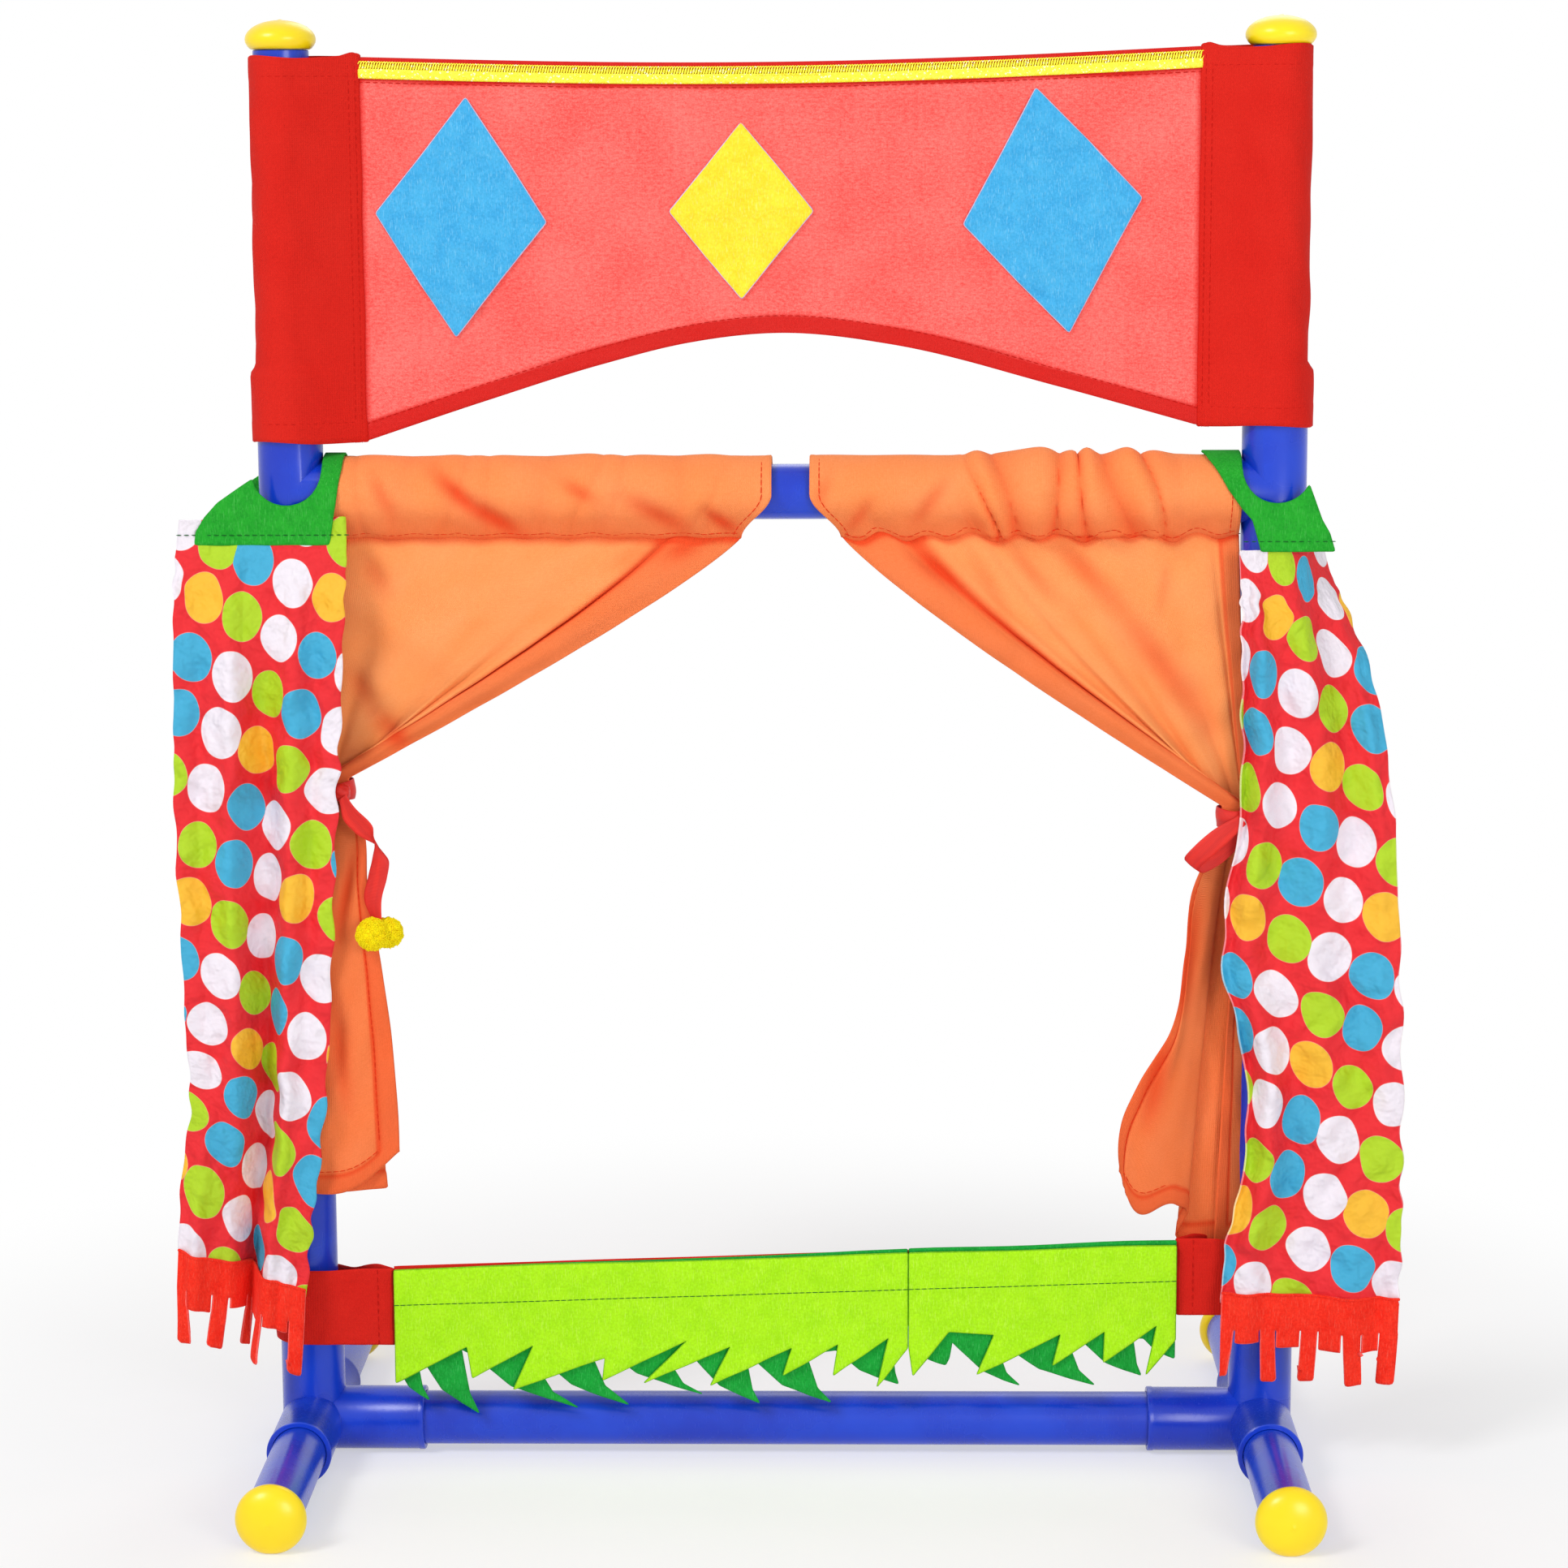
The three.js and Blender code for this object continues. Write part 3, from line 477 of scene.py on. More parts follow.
@dataclass
class CutPiece:
    """A flat-cut piece of felt, laid on a surface by a function.

    Attributes:
        outline: The cut's corners in its own flat plane, in millimetres.
        place: Takes flat points and gives their places on the middle surface.
        thickness: The felt's thickness.
        spacing: Distance between mesh points.
        corner: How far from a corner the cut is rounded.
    """

    outline: Sequence[tuple[float, float]]
    place: Callable[[Array], Array]
    thickness: float = 1.2
    spacing: float = 1.6
    corner: float = 0.8

    SOFT = 0.22

    def size(self) -> tuple[float, float]:
        """Width and length of the cut."""
        width, length = np.ptp(np.asarray(self.outline, float), axis=0)
        return float(width), float(length)

    def area(self) -> float:
        """The cut's area, but no less than 0.31 of its width times its length. The cut's area,
        at least the least share of its width and length that a sheet may say.
        """
        width, length = self.size()
        return max(abs(signed_area(np.asarray(self.outline, float))), 0.31 * width * length)

    def rounded_outline(self) -> Array:
        """The outline with small round corners, in about equal steps."""
        corners = np.asarray(self.outline, float)
        line = []
        for index, corner in enumerate(corners):
            cut = []
            for other in (corners[index - 1], corners[(index + 1) % len(corners)]):
                reach = np.linalg.norm(other - corner)
                cut.append(corner + (other - corner) * min(self.corner / reach, 0.45))
            line += [cut[0], (cut[0] + cut[1] + 2 * corner) / 4, cut[1]]
        steps = []
        for start, end in zip(line, line[1:] + line[:1]):
            count = max(1, round(float(np.linalg.norm(end - start)) / self.spacing))
            steps.extend(start + (end - start) * k / count for k in range(count))
        return np.array(steps)

    def triangulate(self) -> tuple[Array, list[list[int]], list[int]]:
        """Fills the outline with even triangles.

        Returns:
            The flat points, the triangles and the outline's point numbers.
        """
        rim = self.rounded_outline()
        low, high = rim.min(0), rim.max(0)
        columns, rows = (np.arange(low[k], high[k], self.spacing) for k in (0, 1))
        grid = np.stack(np.meshgrid(columns, rows), -1).reshape(-1, 2)
        grid[:, 0] += (np.round((grid[:, 1] - low[1]) / self.spacing) % 2) * self.spacing / 2
        inside = np.zeros(len(grid), bool)
        clear = np.full(len(grid), np.inf)
        for a, b in zip(rim, np.roll(rim, -1, axis=0)):
            run = b - a
            crosses = (a[1] > grid[:, 1]) != (b[1] > grid[:, 1])
            inside ^= crosses & (grid[:, 0] < run[0] * (grid[:, 1] - a[1]) / (run[1] or 1.0) + a[0])
            share = np.clip(((grid - a) @ run) / max(float(run @ run), 1e-9), 0, 1)
            clear = np.minimum(clear, np.linalg.norm(grid - a - share[:, None] * run, axis=1))
        grid = grid[inside & (clear > 0.55 * self.spacing)]
        places = [Vector(p) for p in np.vstack([rim, grid])]
        loop = list(range(len(rim)))
        points, _, faces, origins, _, _ = delaunay_2d_cdt(places, [], [loop], 1, 1e-5)
        numbers = {old: new for new, olds in enumerate(origins) for old in olds}
        return np.array([tuple(p) for p in points]), [list(f) for f in faces], [numbers[i] for i in loop]

    def build(self, name: str, felt: Material, edge: Material | None = None) -> Piece:
        """Makes the piece's closed mesh.

        Args:
            name: The piece's name.
            felt: Material of both faces.
            edge: Material of the cut edge, the felt's if it is left out.

        Returns:
            The piece.
        """
        flat, triangles, rim = self.triangulate()
        step = 0.05
        middle = self.place(flat)
        right = self.place(flat + (step, 0)) - middle
        up = self.place(flat + (0, step)) - middle
        normal = unit(np.cross(right, up)) * self.thickness / 2
        loop = flat[rim]
        run = unit(np.roll(loop, -1, axis=0) - np.roll(loop, 1, axis=0))
        turn = 1 if signed_area(loop) > 0 else -1
        out = turn * (run[:, 1:2] * right[rim] - run[:, 0:1] * up[rim]) / step
        soft = self.SOFT * self.thickness
        ring = middle[rim] + out * soft
        middle[rim] -= out * soft * 0.6
        points = np.vstack([middle + normal, middle - normal, ring])
        faces = []
        for a, b, c in triangles:
            turned = np.cross(flat[b] - flat[a], flat[c] - flat[a]) > 0
            faces.append([a, b, c] if turned else [a, c, b])
        count = len(flat)
        faces += [[a + count, c + count, b + count] for a, b, c in faces]
        slots = [0] * len(faces)
        for place in range(len(rim)):
            i, j = (place, (place + 1) % len(rim))[::turn]
            a, b, ring_a, ring_b = rim[i], rim[j], 2 * count + i, 2 * count + j
            faces += [[a, ring_a, ring_b, b], [ring_a, a + count, b + count, ring_b]]
            slots += [1, 1]
        uv = np.vstack([flat, flat, loop])[np.concatenate(faces)]
        return make_object(name, points, faces, [felt, edge or felt], slots, uv, 75)


def lathe(
    name: str,
    profile: Sequence[tuple[float, float]],
    centre: Point,
    axis: Point,
    material: Material,
    segments: int = 96,
    closed: bool = False,
) -> Piece:
    """Turns a profile round an axis.

    Args:
        name: The piece's name.
        profile: Radius and height of each corner, in millimetres.
        centre: Where height zero lies.
        axis: Unit direction of the heights.
        material: The piece's material.
        segments: Number of sides.
        closed: Whether the profile joins on to itself; otherwise it ends on the axis.

    Returns:
        The piece.
    """
    along = np.array(axis, float)
    first = np.array((0, 0, 1.0) if abs(along[2]) < 0.5 else (1.0, 0, 0))
    angles = np.arange(segments) * TURN / segments
    circle = np.cos(angles)[:, None] * first + np.sin(angles)[:, None] * np.cross(along, first)
    points: list[Array] = []
    rings: list[list[int]] = []
    for radius, height in profile:
        base = np.array(centre, float) + along * height
        if radius < 1e-6:
            rings.append([len(points)] * segments)
            points.append(base)
        else:
            rings.append(list(range(len(points), len(points) + segments)))
            points.extend(base + circle * radius)
    pairs = list(zip(rings, rings[1:] + rings[:1])) if closed else list(zip(rings, rings[1:]))
    faces = []
    for lower, upper in pairs:
        for side in range(segments):
            after = (side + 1) % segments
            faces.append(list(dict.fromkeys([lower[side], lower[after], upper[after], upper[side]])))
    return make_object(name, np.array(points), faces, [material], sharp_degrees=35)


def ball_grid(rows: int, columns: int, pole: float) -> tuple[Array, Array, Array, list[list[int]]]:
    """A ball's rings of points.

    Args:
        rows: Number of rings.
        columns: Points round each ring.
        pole: Angle from a pole to the ring next to it.

    Returns:
        The angles from the pole, the angles round the ball, the unit directions and the faces.
    """
    phi = np.linspace(pole, math.pi - pole, rows)[:, None]
    theta = (np.arange(columns) / columns * TURN)[None, :]
    ways = [np.sin(phi) * np.cos(theta), np.sin(phi) * np.sin(theta), np.cos(phi) * np.ones_like(theta)]
    faces = []
    for first in range(0, (rows - 1) * columns, columns):
        for c in range(columns):
            after = (c + 1) % columns
            faces.append([first + c, first + after, first + columns + after, first + columns + c])
    caps = [list(range(columns))[::-1], list(range((rows - 1) * columns, rows * columns))]
    return phi, theta, np.stack(ways, -1), faces + caps


class Nodes:
    """Adds nodes to a shader or geometry tree."""

    def __init__(self, tree: Tree) -> None:
        """Keeps the tree that nodes are added to."""
        self.tree = tree

    def node(self, kind: str, inputs: dict | None = None, **settings: object) -> Node:
        """Adds one node.

        Args:
            kind: The node's type.
            inputs: Values or wires of its sockets, by name or number.
            settings: Its properties; stops gives a stepped colour ramp's places and colours.

        Returns:
            The node.
        """
        node = self.tree.nodes.new(kind)
        for key, value in settings.items():
            if key == "stops":
                ramp = node.color_ramp
                ramp.interpolation = "CONSTANT"
                while len(ramp.elements) < len(value):
                    ramp.elements.new(1.0)
                for element, (place, colour) in zip(ramp.elements, value):
                    element.position, element.color = place, colour
            else:
                setattr(node, key, value)
        for key, value in (inputs or {}).items():
            self.feed(node.inputs[key], value)
        return node

    def feed(self, socket: Socket, value: Wire | Socket | float | tuple) -> None:
        """Gives a socket a wire or a constant."""
        source = value.socket if isinstance(value, Wire) else value
        if isinstance(source, Socket):
            self.tree.links.new(source, socket)
        else:
            socket.default_value = source

    def out(self, kind: str, inputs: dict | None = None, output: int | str = 0, **settings: object) -> Wire:
        """Adds one node and gives one of its outputs."""
        return Wire(self, self.node(kind, inputs, **settings).outputs[output])

    def seen(self) -> Wire:
        """One where the camera sees a place, straight, mirrored or through something."""
        path = self.node("ShaderNodeLightPath")
        rays = [Wire(self, path.outputs[f"Is {kind} Ray"]) for kind in ("Camera", "Glossy", "Transmission")]
        return rays[0].math("MAXIMUM", rays[1]).math("MAXIMUM", rays[2])


class Wire:
    """A node's output that takes part in Python sums; each sum adds its Math node."""

    def __init__(self, nodes: Nodes, socket: Socket) -> None:
        """Wraps a socket of the given tree."""
        self.nodes = nodes
        self.socket = socket

    def math(self, operation: str, *others: Wire | float) -> Wire:
        """This wire under a Math node's operation, with its other numbers."""
        return self.nodes.out("ShaderNodeMath", dict(enumerate([self, *others])), operation=operation)

    def __add__(self, other: Wire | float) -> Wire:
        """This wire plus another."""
        return self.math("ADD", other)

    def __sub__(self, other: Wire | float) -> Wire:
        """This wire less another."""
        return self.math("SUBTRACT", other)

    def __rsub__(self, other: float) -> Wire:
        """A number less this wire."""
        return self.nodes.out("ShaderNodeMath", {0: other, 1: self}, operation="SUBTRACT")

    def __mul__(self, other: Wire | float) -> Wire:
        """This wire times another."""
        return self.math("MULTIPLY", other)

    def wave(self, period: float) -> Wire:
        """A sine of this place, with its period in millimetres."""
        return (self * (TURN / (period * MM))).math("SINE")

    def soft(self, start: float, end: float) -> Wire:
        """A soft step from 0 at start to 1 at end."""
        inputs = {"Value": self, "From Min": start, "From Max": end}
        return self.nodes.out("ShaderNodeMapRange", inputs, "Result", interpolation_type="SMOOTHSTEP")


def linear(colour: Colour) -> tuple[float, float, float, float]:
    """A colour of 0 to 255 as the renderer's linear colour."""
    shares = [c / 255 for c in colour]
    values = [s / 12.92 if s <= 0.04045 else ((s + 0.055) / 1.055) ** 2.4 for s in shares]
    return (values[0], values[1], values[2], 1.0)


class Shader(Nodes):
    """A material under construction."""

    def __init__(self, name: str) -> None:
        """Starts a material with one Principled shader."""
        self.material = bpy.data.materials.new(name)
        self.material.use_nodes = True
        super().__init__(self.material.node_tree)
        self.tree.nodes.clear()
        self.surface = self.node("ShaderNodeBsdfPrincipled")
        self.result = self.node("ShaderNodeOutputMaterial", {"Surface": self.surface.outputs[0]})

    def coordinates(self, kind: str, scale: Point = (1, 1, 1), turn: Point = (0, 0, 0)) -> Wire:
        """Reads the Object or UV coordinates in metres, scaled and turned."""
        source = self.out("ShaderNodeTexCoord", output=kind)
        return self.out("ShaderNodeMapping", {"Vector": source, "Scale": scale, "Rotation": turn})

    def noise(self, place: Wire, scale: float, detail: float = 2.0, rough: float = 0.5) -> Wire:
        """Adds a noise whose values lie round 0.5."""
        inputs = {"Vector": place, "Scale": scale, "Detail": detail, "Roughness": rough}
        return self.out("ShaderNodeTexNoise", inputs, "Fac")

    def parts(self, vector: Wire | Socket) -> list[Wire]:
        """Splits a vector into its three numbers."""
        return [Wire(self, part) for part in self.node("ShaderNodeSeparateXYZ", {0: vector}).outputs]

    def blend(self, share: Wire, first: Wire | Colour, second: Wire | Colour) -> Wire:
        """Mixes two colours by a share."""
        ends = [c if isinstance(c, Wire) else linear(c) for c in (first, second)]
        return self.out("ShaderNodeMix", {0: share, 6: ends[0], 7: ends[1]}, 2, data_type="RGBA")

    def shade(self, colour: Wire, amount: Wire) -> Wire:
        """Makes a colour darker or lighter by a factor."""
        return self.out("ShaderNodeVectorMath", {0: colour, "Scale": amount}, operation="SCALE")

    def finish(
        self,
        colour: Wire,
        roughness: Wire | float,
        height: Wire | None = None,
        depth: float = 0.1,
        **fixed: float,
    ) -> Material:
        """Wires up the shader.

        Args:
            colour: Base colour.
            roughness: Roughness.
            height: Relief from 0 to 1.
            depth: The relief's depth in millimetres.
            fixed: Constants of the shader's other sockets, with _ for a space.

        Returns:
            The material.
        """
        sockets = {"Base Color": colour, "Roughness": roughness}
        sockets.update({key.replace("_", " "): value for key, value in fixed.items()})
        if height is not None:
            relief = {"Height": height, "Distance": depth * MM, "Strength": 1.0}
            sockets["Normal"] = self.out("ShaderNodeBump", relief)
        for key, value in sockets.items():
            self.feed(self.surface.inputs[key], value)
        return self.material


@dataclass(frozen=True)
class GlossPlastic:
    """Moulded plastic with a soft gloss and a trace of flow marks."""

    name: str
    colour: Colour
    deep: Colour
    roughness: float

    def build(self) -> Material:
        """Makes the material."""
        s = Shader(self.name)
        place = s.coordinates("Object")
        flow, peel = s.noise(place, 28, 3), s.noise(place, 420)
        scuff = s.noise(s.coordinates("Object", (900, 900, 60)), 1, 3, 0.6).soft(0.60, 0.78)
        tone = s.blend(flow.soft(0.3, 0.7), self.deep, self.colour)
        rough = flow * 0.10 + (self.roughness - 0.05) + scuff * 0.12
        coat = {"Coat_Weight": 0.12, "Coat_Roughness": 0.2}
        return s.finish(tone, rough, peel * 0.7 + flow * 1.5, 0.05, Specular_IOR_Level=0.42, **coat)


@dataclass(frozen=True)
class KnitCloth:
    """A fine jersey whose ribs and rows follow the flat cloth, darker where it lies double and where shade is
    painted into creases, dents and valleys.
    """

    name: str
    single: Colour
    pale: Colour
    # Colour of doubled cloth, also used as painted shade in creases, dents and valleys.
    double: Colour
    rib: float = 1.15
    speckle: float = 0.35
    depth: float = 0.16

    def build(self) -> Material:
        """Makes the material."""
        s = Shader(self.name)
        flat = s.coordinates("UV")
        across, along, _ = s.parts(flat)
        wobble = s.noise(flat, 60) * 2.4
        ribs = (across * (TURN / (self.rib * MM)) + wobble).math("SINE")
        knots = ribs * (along * (TURN / (self.rib * 0.82 * MM)) + wobble).math("SINE")
        fleck = s.noise(flat, 1300, 2, 0.7)
        streak = s.noise(s.coordinates("UV", (420, 900, 1)), 1, 3, 0.7)
        cloud = s.noise(flat, 30, 3)
        worn = (fleck - 0.5) * self.speckle + (streak - 0.5) * (1.3 * self.speckle) + cloud * 0.5 + 0.22
        tone = s.blend(worn.soft(0.05, 0.85), self.single, self.pale)
        # The layers attribute mixes in the double colour: doubled cloth, and painted shade in creases, dents
        # and valleys.
        layers = s.out("ShaderNodeAttribute", None, "Fac", attribute_name="layers")
        tone = s.blend(layers * 0.94, tone, self.double)
        light = knots * 0.035 + (fleck - 0.5) * 0.16 + (streak - 0.5) * 0.1 + 1.0
        relief = knots * 0.28 + ribs * 0.22 + fleck * 0.8
        return s.finish(s.shade(tone, light), 0.86 - cloud * 0.1, relief, self.depth, Specular_IOR_Level=0.25)


@dataclass(frozen=True)
class DottedCloth:
    """A printed cotton with a red ground and staggered, near-touching ovals in four colours.

    Attributes:
        beside: Step from an oval to the next one across.
        below: Step from an oval to the next one down.
        oval: Half width and half height of an oval.
        lean_degrees: How far the ovals lean.
        scatter: How far they stray from their places, from 0 to 1.
        line: Width of their pale outline.
    """

    name: str
    ground: Colour
    dots: tuple[Colour, ...]
    outline: Colour
    beside: tuple[float, float] = (20.6, 8.6)
    below: tuple[float, float] = (-6.4, 26.4)
    oval: tuple[float, float] = (10.3, 11.5)
    lean_degrees: float = 24
    scatter: float = 0.1
    line: float = 0.13

    def build(self) -> Material:
        """Makes the material."""
        s = Shader(self.name)
        across, along, _ = s.parts(s.coordinates("UV"))
        (beside_x, beside_y), (below_x, below_y) = self.beside, self.below
        cell = (beside_x * below_y - below_x * beside_y) * MM
        column = across * (below_y / cell) - along * (below_x / cell)
        row = along * (beside_x / cell) - across * (beside_y / cell)
        lattice = s.out("ShaderNodeCombineXYZ", {0: column, 1: row})
        inputs = {"Vector": lattice, "Scale": 1.0, "Randomness": self.scatter}
        cells = s.node("ShaderNodeTexVoronoi", inputs, voronoi_dimensions="2D")
        centre_column, centre_row, _ = s.parts(cells.outputs["Position"])
        columns_off, rows_off = column - centre_column, row - centre_row
        right = columns_off * beside_x + rows_off * below_x
        up = columns_off * beside_y + rows_off * below_y
        kinds = len(self.dots)
        turn = centre_column.math("FLOOR") + centre_row.math("FLOOR") * 3
        draw = turn.math("FLOORED_MODULO", kinds) * (1 / kinds) + 0.5 / kinds
        _, swing, size = s.parts(cells.outputs["Color"])
        lean = (swing - 0.5) * 0.6 + math.radians(self.lean_degrees)
        cosine, sine = lean.math("COSINE"), lean.math("SINE")
        wide = (right * cosine - up * sine) * (1 / self.oval[0])
        tall = (right * sine + up * cosine) * (1 / self.oval[1])
        reach = (wide * wide + tall * tall).math("SQRT") * (1.05 - size * 0.1)
        edge = self.line / self.oval[0]
        inside = 1 - reach.soft(0.985, 1.015)
        core = 1 - reach.soft(0.985 - edge, 1.015 - edge)
        stops = [(index / kinds, linear(colour)) for index, colour in enumerate(self.dots)]
        dot = s.blend(core, self.outline, s.out("ShaderNodeValToRGB", {0: draw}, stops=stops))
        tone = s.blend(inside, self.ground, dot)
        flat = s.coordinates("UV")
        weave = across.wave(0.75) * along.wave(0.75)
        fleck, cloud, crumple = s.noise(flat, 1500, 2, 0.7), s.noise(flat, 55, 3), s.noise(flat, 70, 3, 0.55)
        light = weave * 0.02 + (fleck - 0.5) * 0.12 + (cloud - 0.5) * 0.12 + 1.0
        relief = weave * 0.008 + fleck * 0.014 + crumple * 0.9
        return s.finish(s.shade(tone, light), 0.66 - inside * 0.1, relief, 6.0, Specular_IOR_Level=0.35)


@dataclass(frozen=True)
class Felt:
    """Pressed felt with mottled colour and short crossing fibres."""

    name: str
    colour: Colour
    deep: Colour
    pale: Colour
    depth: float = 0.28

    def build(self) -> Material:
        """Makes the material."""
        s = Shader(self.name)
        place = s.coordinates("Object")
        cloud, grain = s.noise(place, 110, 5, 0.6), s.noise(place, 900, 3, 0.7)
        leans = [(0, math.radians(lean), 0) for lean in (25, 75, 140)]
        strands = [s.noise(s.coordinates("Object", (2600, 2600, 300), lean), 1) for lean in leans]
        fibre = (strands[0] + strands[1] + strands[2]) * (1 / 3)
        tone = s.blend((cloud * 0.6 + grain * 0.4).soft(0.34, 0.62), self.deep, self.colour)
        tone = s.blend(fibre.soft(0.50, 0.68) * 0.7, tone, self.pale)
        light = (grain - 0.5) * 0.34 + 1.0
        relief = fibre * 0.9 + grain * 0.5
        return s.finish(s.shade(tone, light), 0.95, relief, self.depth, Specular_IOR_Level=0.2)


@dataclass(frozen=True)
class SatinRibbon:
    """Woven satin with a soft lengthwise gloss."""

    name: str
    colour: Colour
    deep: Colour

    def build(self) -> Material:
        """Makes the material."""
        s = Shader(self.name)
        across, along, _ = s.parts(s.coordinates("UV"))
        threads, picks = across.wave(0.42), along.wave(0.5)
        cloud = s.noise(s.coordinates("UV", (260, 40, 1)), 1, 3)
        tone = s.blend(cloud.soft(0.3, 0.7), self.deep, self.colour)
        tone = s.shade(tone, threads * 0.05 + picks * 0.03 + 1.0)
        return s.finish(tone, cloud * 0.15 + 0.42, threads * 0.5 + picks * 0.5, 0.05)


@dataclass(frozen=True)
class Braid:
    """Metallic yarn with painted glints: the brightest random specks take a near-white colour."""

    name: str
    colour: Colour
    deep: Colour
    glint: Colour = (255, 252, 205)

    def build(self) -> Material:
        """Makes the material."""
        s = Shader(self.name)
        inputs = {"Vector": s.coordinates("Object"), "Scale": 1500.0}
        draw = s.parts(s.out("ShaderNodeTexVoronoi", inputs, "Color"))[0]
        twist = s.parts(s.coordinates("Object", turn=(0, 0.6, 0)))[0].wave(0.7)
        tone = s.blend(draw.soft(0.1, 0.7), self.deep, self.colour)
        # Painted highlight: the brightest specks turn near white.
        tone = s.blend(draw.soft(0.9, 0.96), tone, self.glint)
        return s.finish(tone, 0.5 - draw * 0.2, twist * 0.4 + draw * 0.4, 0.08, Metallic=0.08)


@dataclass(frozen=True)
class Yarn:
    """Soft cut yarn or sewing thread, with darker flecks where they are given."""

    name: str
    colour: Colour
    deep: Colour
    fleck: Colour | None = None

    def build(self) -> Material:
        """Makes the material."""
        s = Shader(self.name)
        place = s.coordinates("Object")
        cloud, fibre = s.noise(place, 350, 3), s.noise(place, 2200, 2, 0.7)
        tone = s.blend(cloud.soft(0.3, 0.65), self.deep, self.colour)
        if self.fleck:
            tone = s.blend(s.noise(place, 800, 1).soft(0.70, 0.74), tone, self.fleck)
        return s.finish(s.shade(tone, (fibre - 0.5) * 0.3 + 1.0), 0.9, fibre, 0.12, Specular_IOR_Level=0.2)


class Finish(Enum):
    """Every finish on the stand."""

    BLUE = GlossPlastic("blue_plastic_gloss", (14, 66, 208), (8, 50, 188), 0.27)
    YELLOW = GlossPlastic("yellow_plastic_gloss", (255, 228, 14), (252, 218, 6), 0.32)
    RED_CLOTH = KnitCloth("red_knit", (255, 72, 67), (255, 126, 118), (208, 17, 8), speckle=0.9)
    # A darker copy of the red knit: doubled cloth, and painted shade for the sleeves at the sides.
    RED_DOUBLE = KnitCloth("red_knit_double", (206, 17, 5), (216, 32, 16), (188, 11, 4), speckle=0.3)
    # The orange's double colour is also the curtains' painted shade.
    ORANGE = KnitCloth("orange_knit", (255, 144, 70), (255, 166, 104), (234, 68, 22), rib=1.05, speckle=0.25)
    DOTTED = DottedCloth(
        "dotted_cotton",
        (234, 38, 46),
        (
            (240, 232, 241), (178, 214, 30), (64, 172, 212), (240, 232, 241),
            (248, 188, 48), (178, 214, 30), (240, 232, 241), (64, 172, 212),
        ),
        (244, 160, 150),
    )
    DOTTED_REVERSE = DottedCloth(
        "dotted_cotton_reverse",
        (244, 136, 142),
        (
            (246, 236, 240), (214, 226, 146), (160, 202, 222), (246, 236, 240),
            (246, 216, 156), (214, 226, 146), (246, 236, 240), (160, 202, 222),
        ),
        (246, 196, 198),
    )
    SKY_FELT = Felt("sky_felt_nap", (74, 176, 228), (58, 162, 220), (132, 204, 240))
    YELLOW_FELT = Felt("yellow_felt_nap", (255, 228, 56), (252, 216, 40), (255, 240, 124))
    PALE_EDGE = Felt("pale_cut_edge", (214, 202, 234), (200, 184, 224), (230, 224, 244))
    GREEN_FELT = Felt("green_felt_nap", (38, 166, 44), (26, 149, 38), (80, 188, 82))
    LIME_FELT = Felt("lime_felt_nap", (174, 238, 26), (161, 229, 18), (202, 246, 84))
    LIME_EDGE = Felt("lime_cut_edge", (134, 204, 24), (118, 188, 20), (176, 232, 84))
    DARK_FELT = Felt("dark_green_felt_nap", (26, 164, 58), (18, 146, 48), (70, 190, 96))
    RED_FELT = Felt("red_felt_nap", (246, 52, 32), (238, 38, 20), (251, 94, 74))
    RED_EDGE = Felt("red_cut_edge", (255, 100, 92), (250, 82, 74), (255, 146, 136))
    RIBBON = SatinRibbon("red_satin", (234, 34, 16), (212, 20, 10))
    BRAID = Braid("gold_braid_yarn", (255, 253, 66), (250, 232, 36))
    POMPOM = Yarn("yellow_wool", (255, 240, 16), (255, 230, 6), (226, 180, 20))
    GREEN_THREAD = Yarn("dark_green_thread", (24, 110, 40), (16, 90, 32))
    RED_THREAD = Yarn("red_thread", (204, 24, 12), (184, 16, 8))
    ORANGE_THREAD = Yarn("red_orange_thread", (232, 62, 20), (216, 50, 16))


class Wardrobe:
    """Makes each finish's material once."""

    def __init__(self) -> None:
        """Starts with no materials."""
        self.made: dict[Finish, Material] = {}

    def __getitem__(self, finish: Finish) -> Material:
        """The material of a finish."""
        if finish not in self.made:
            self.made[finish] = finish.value.build()
        return self.made[finish]


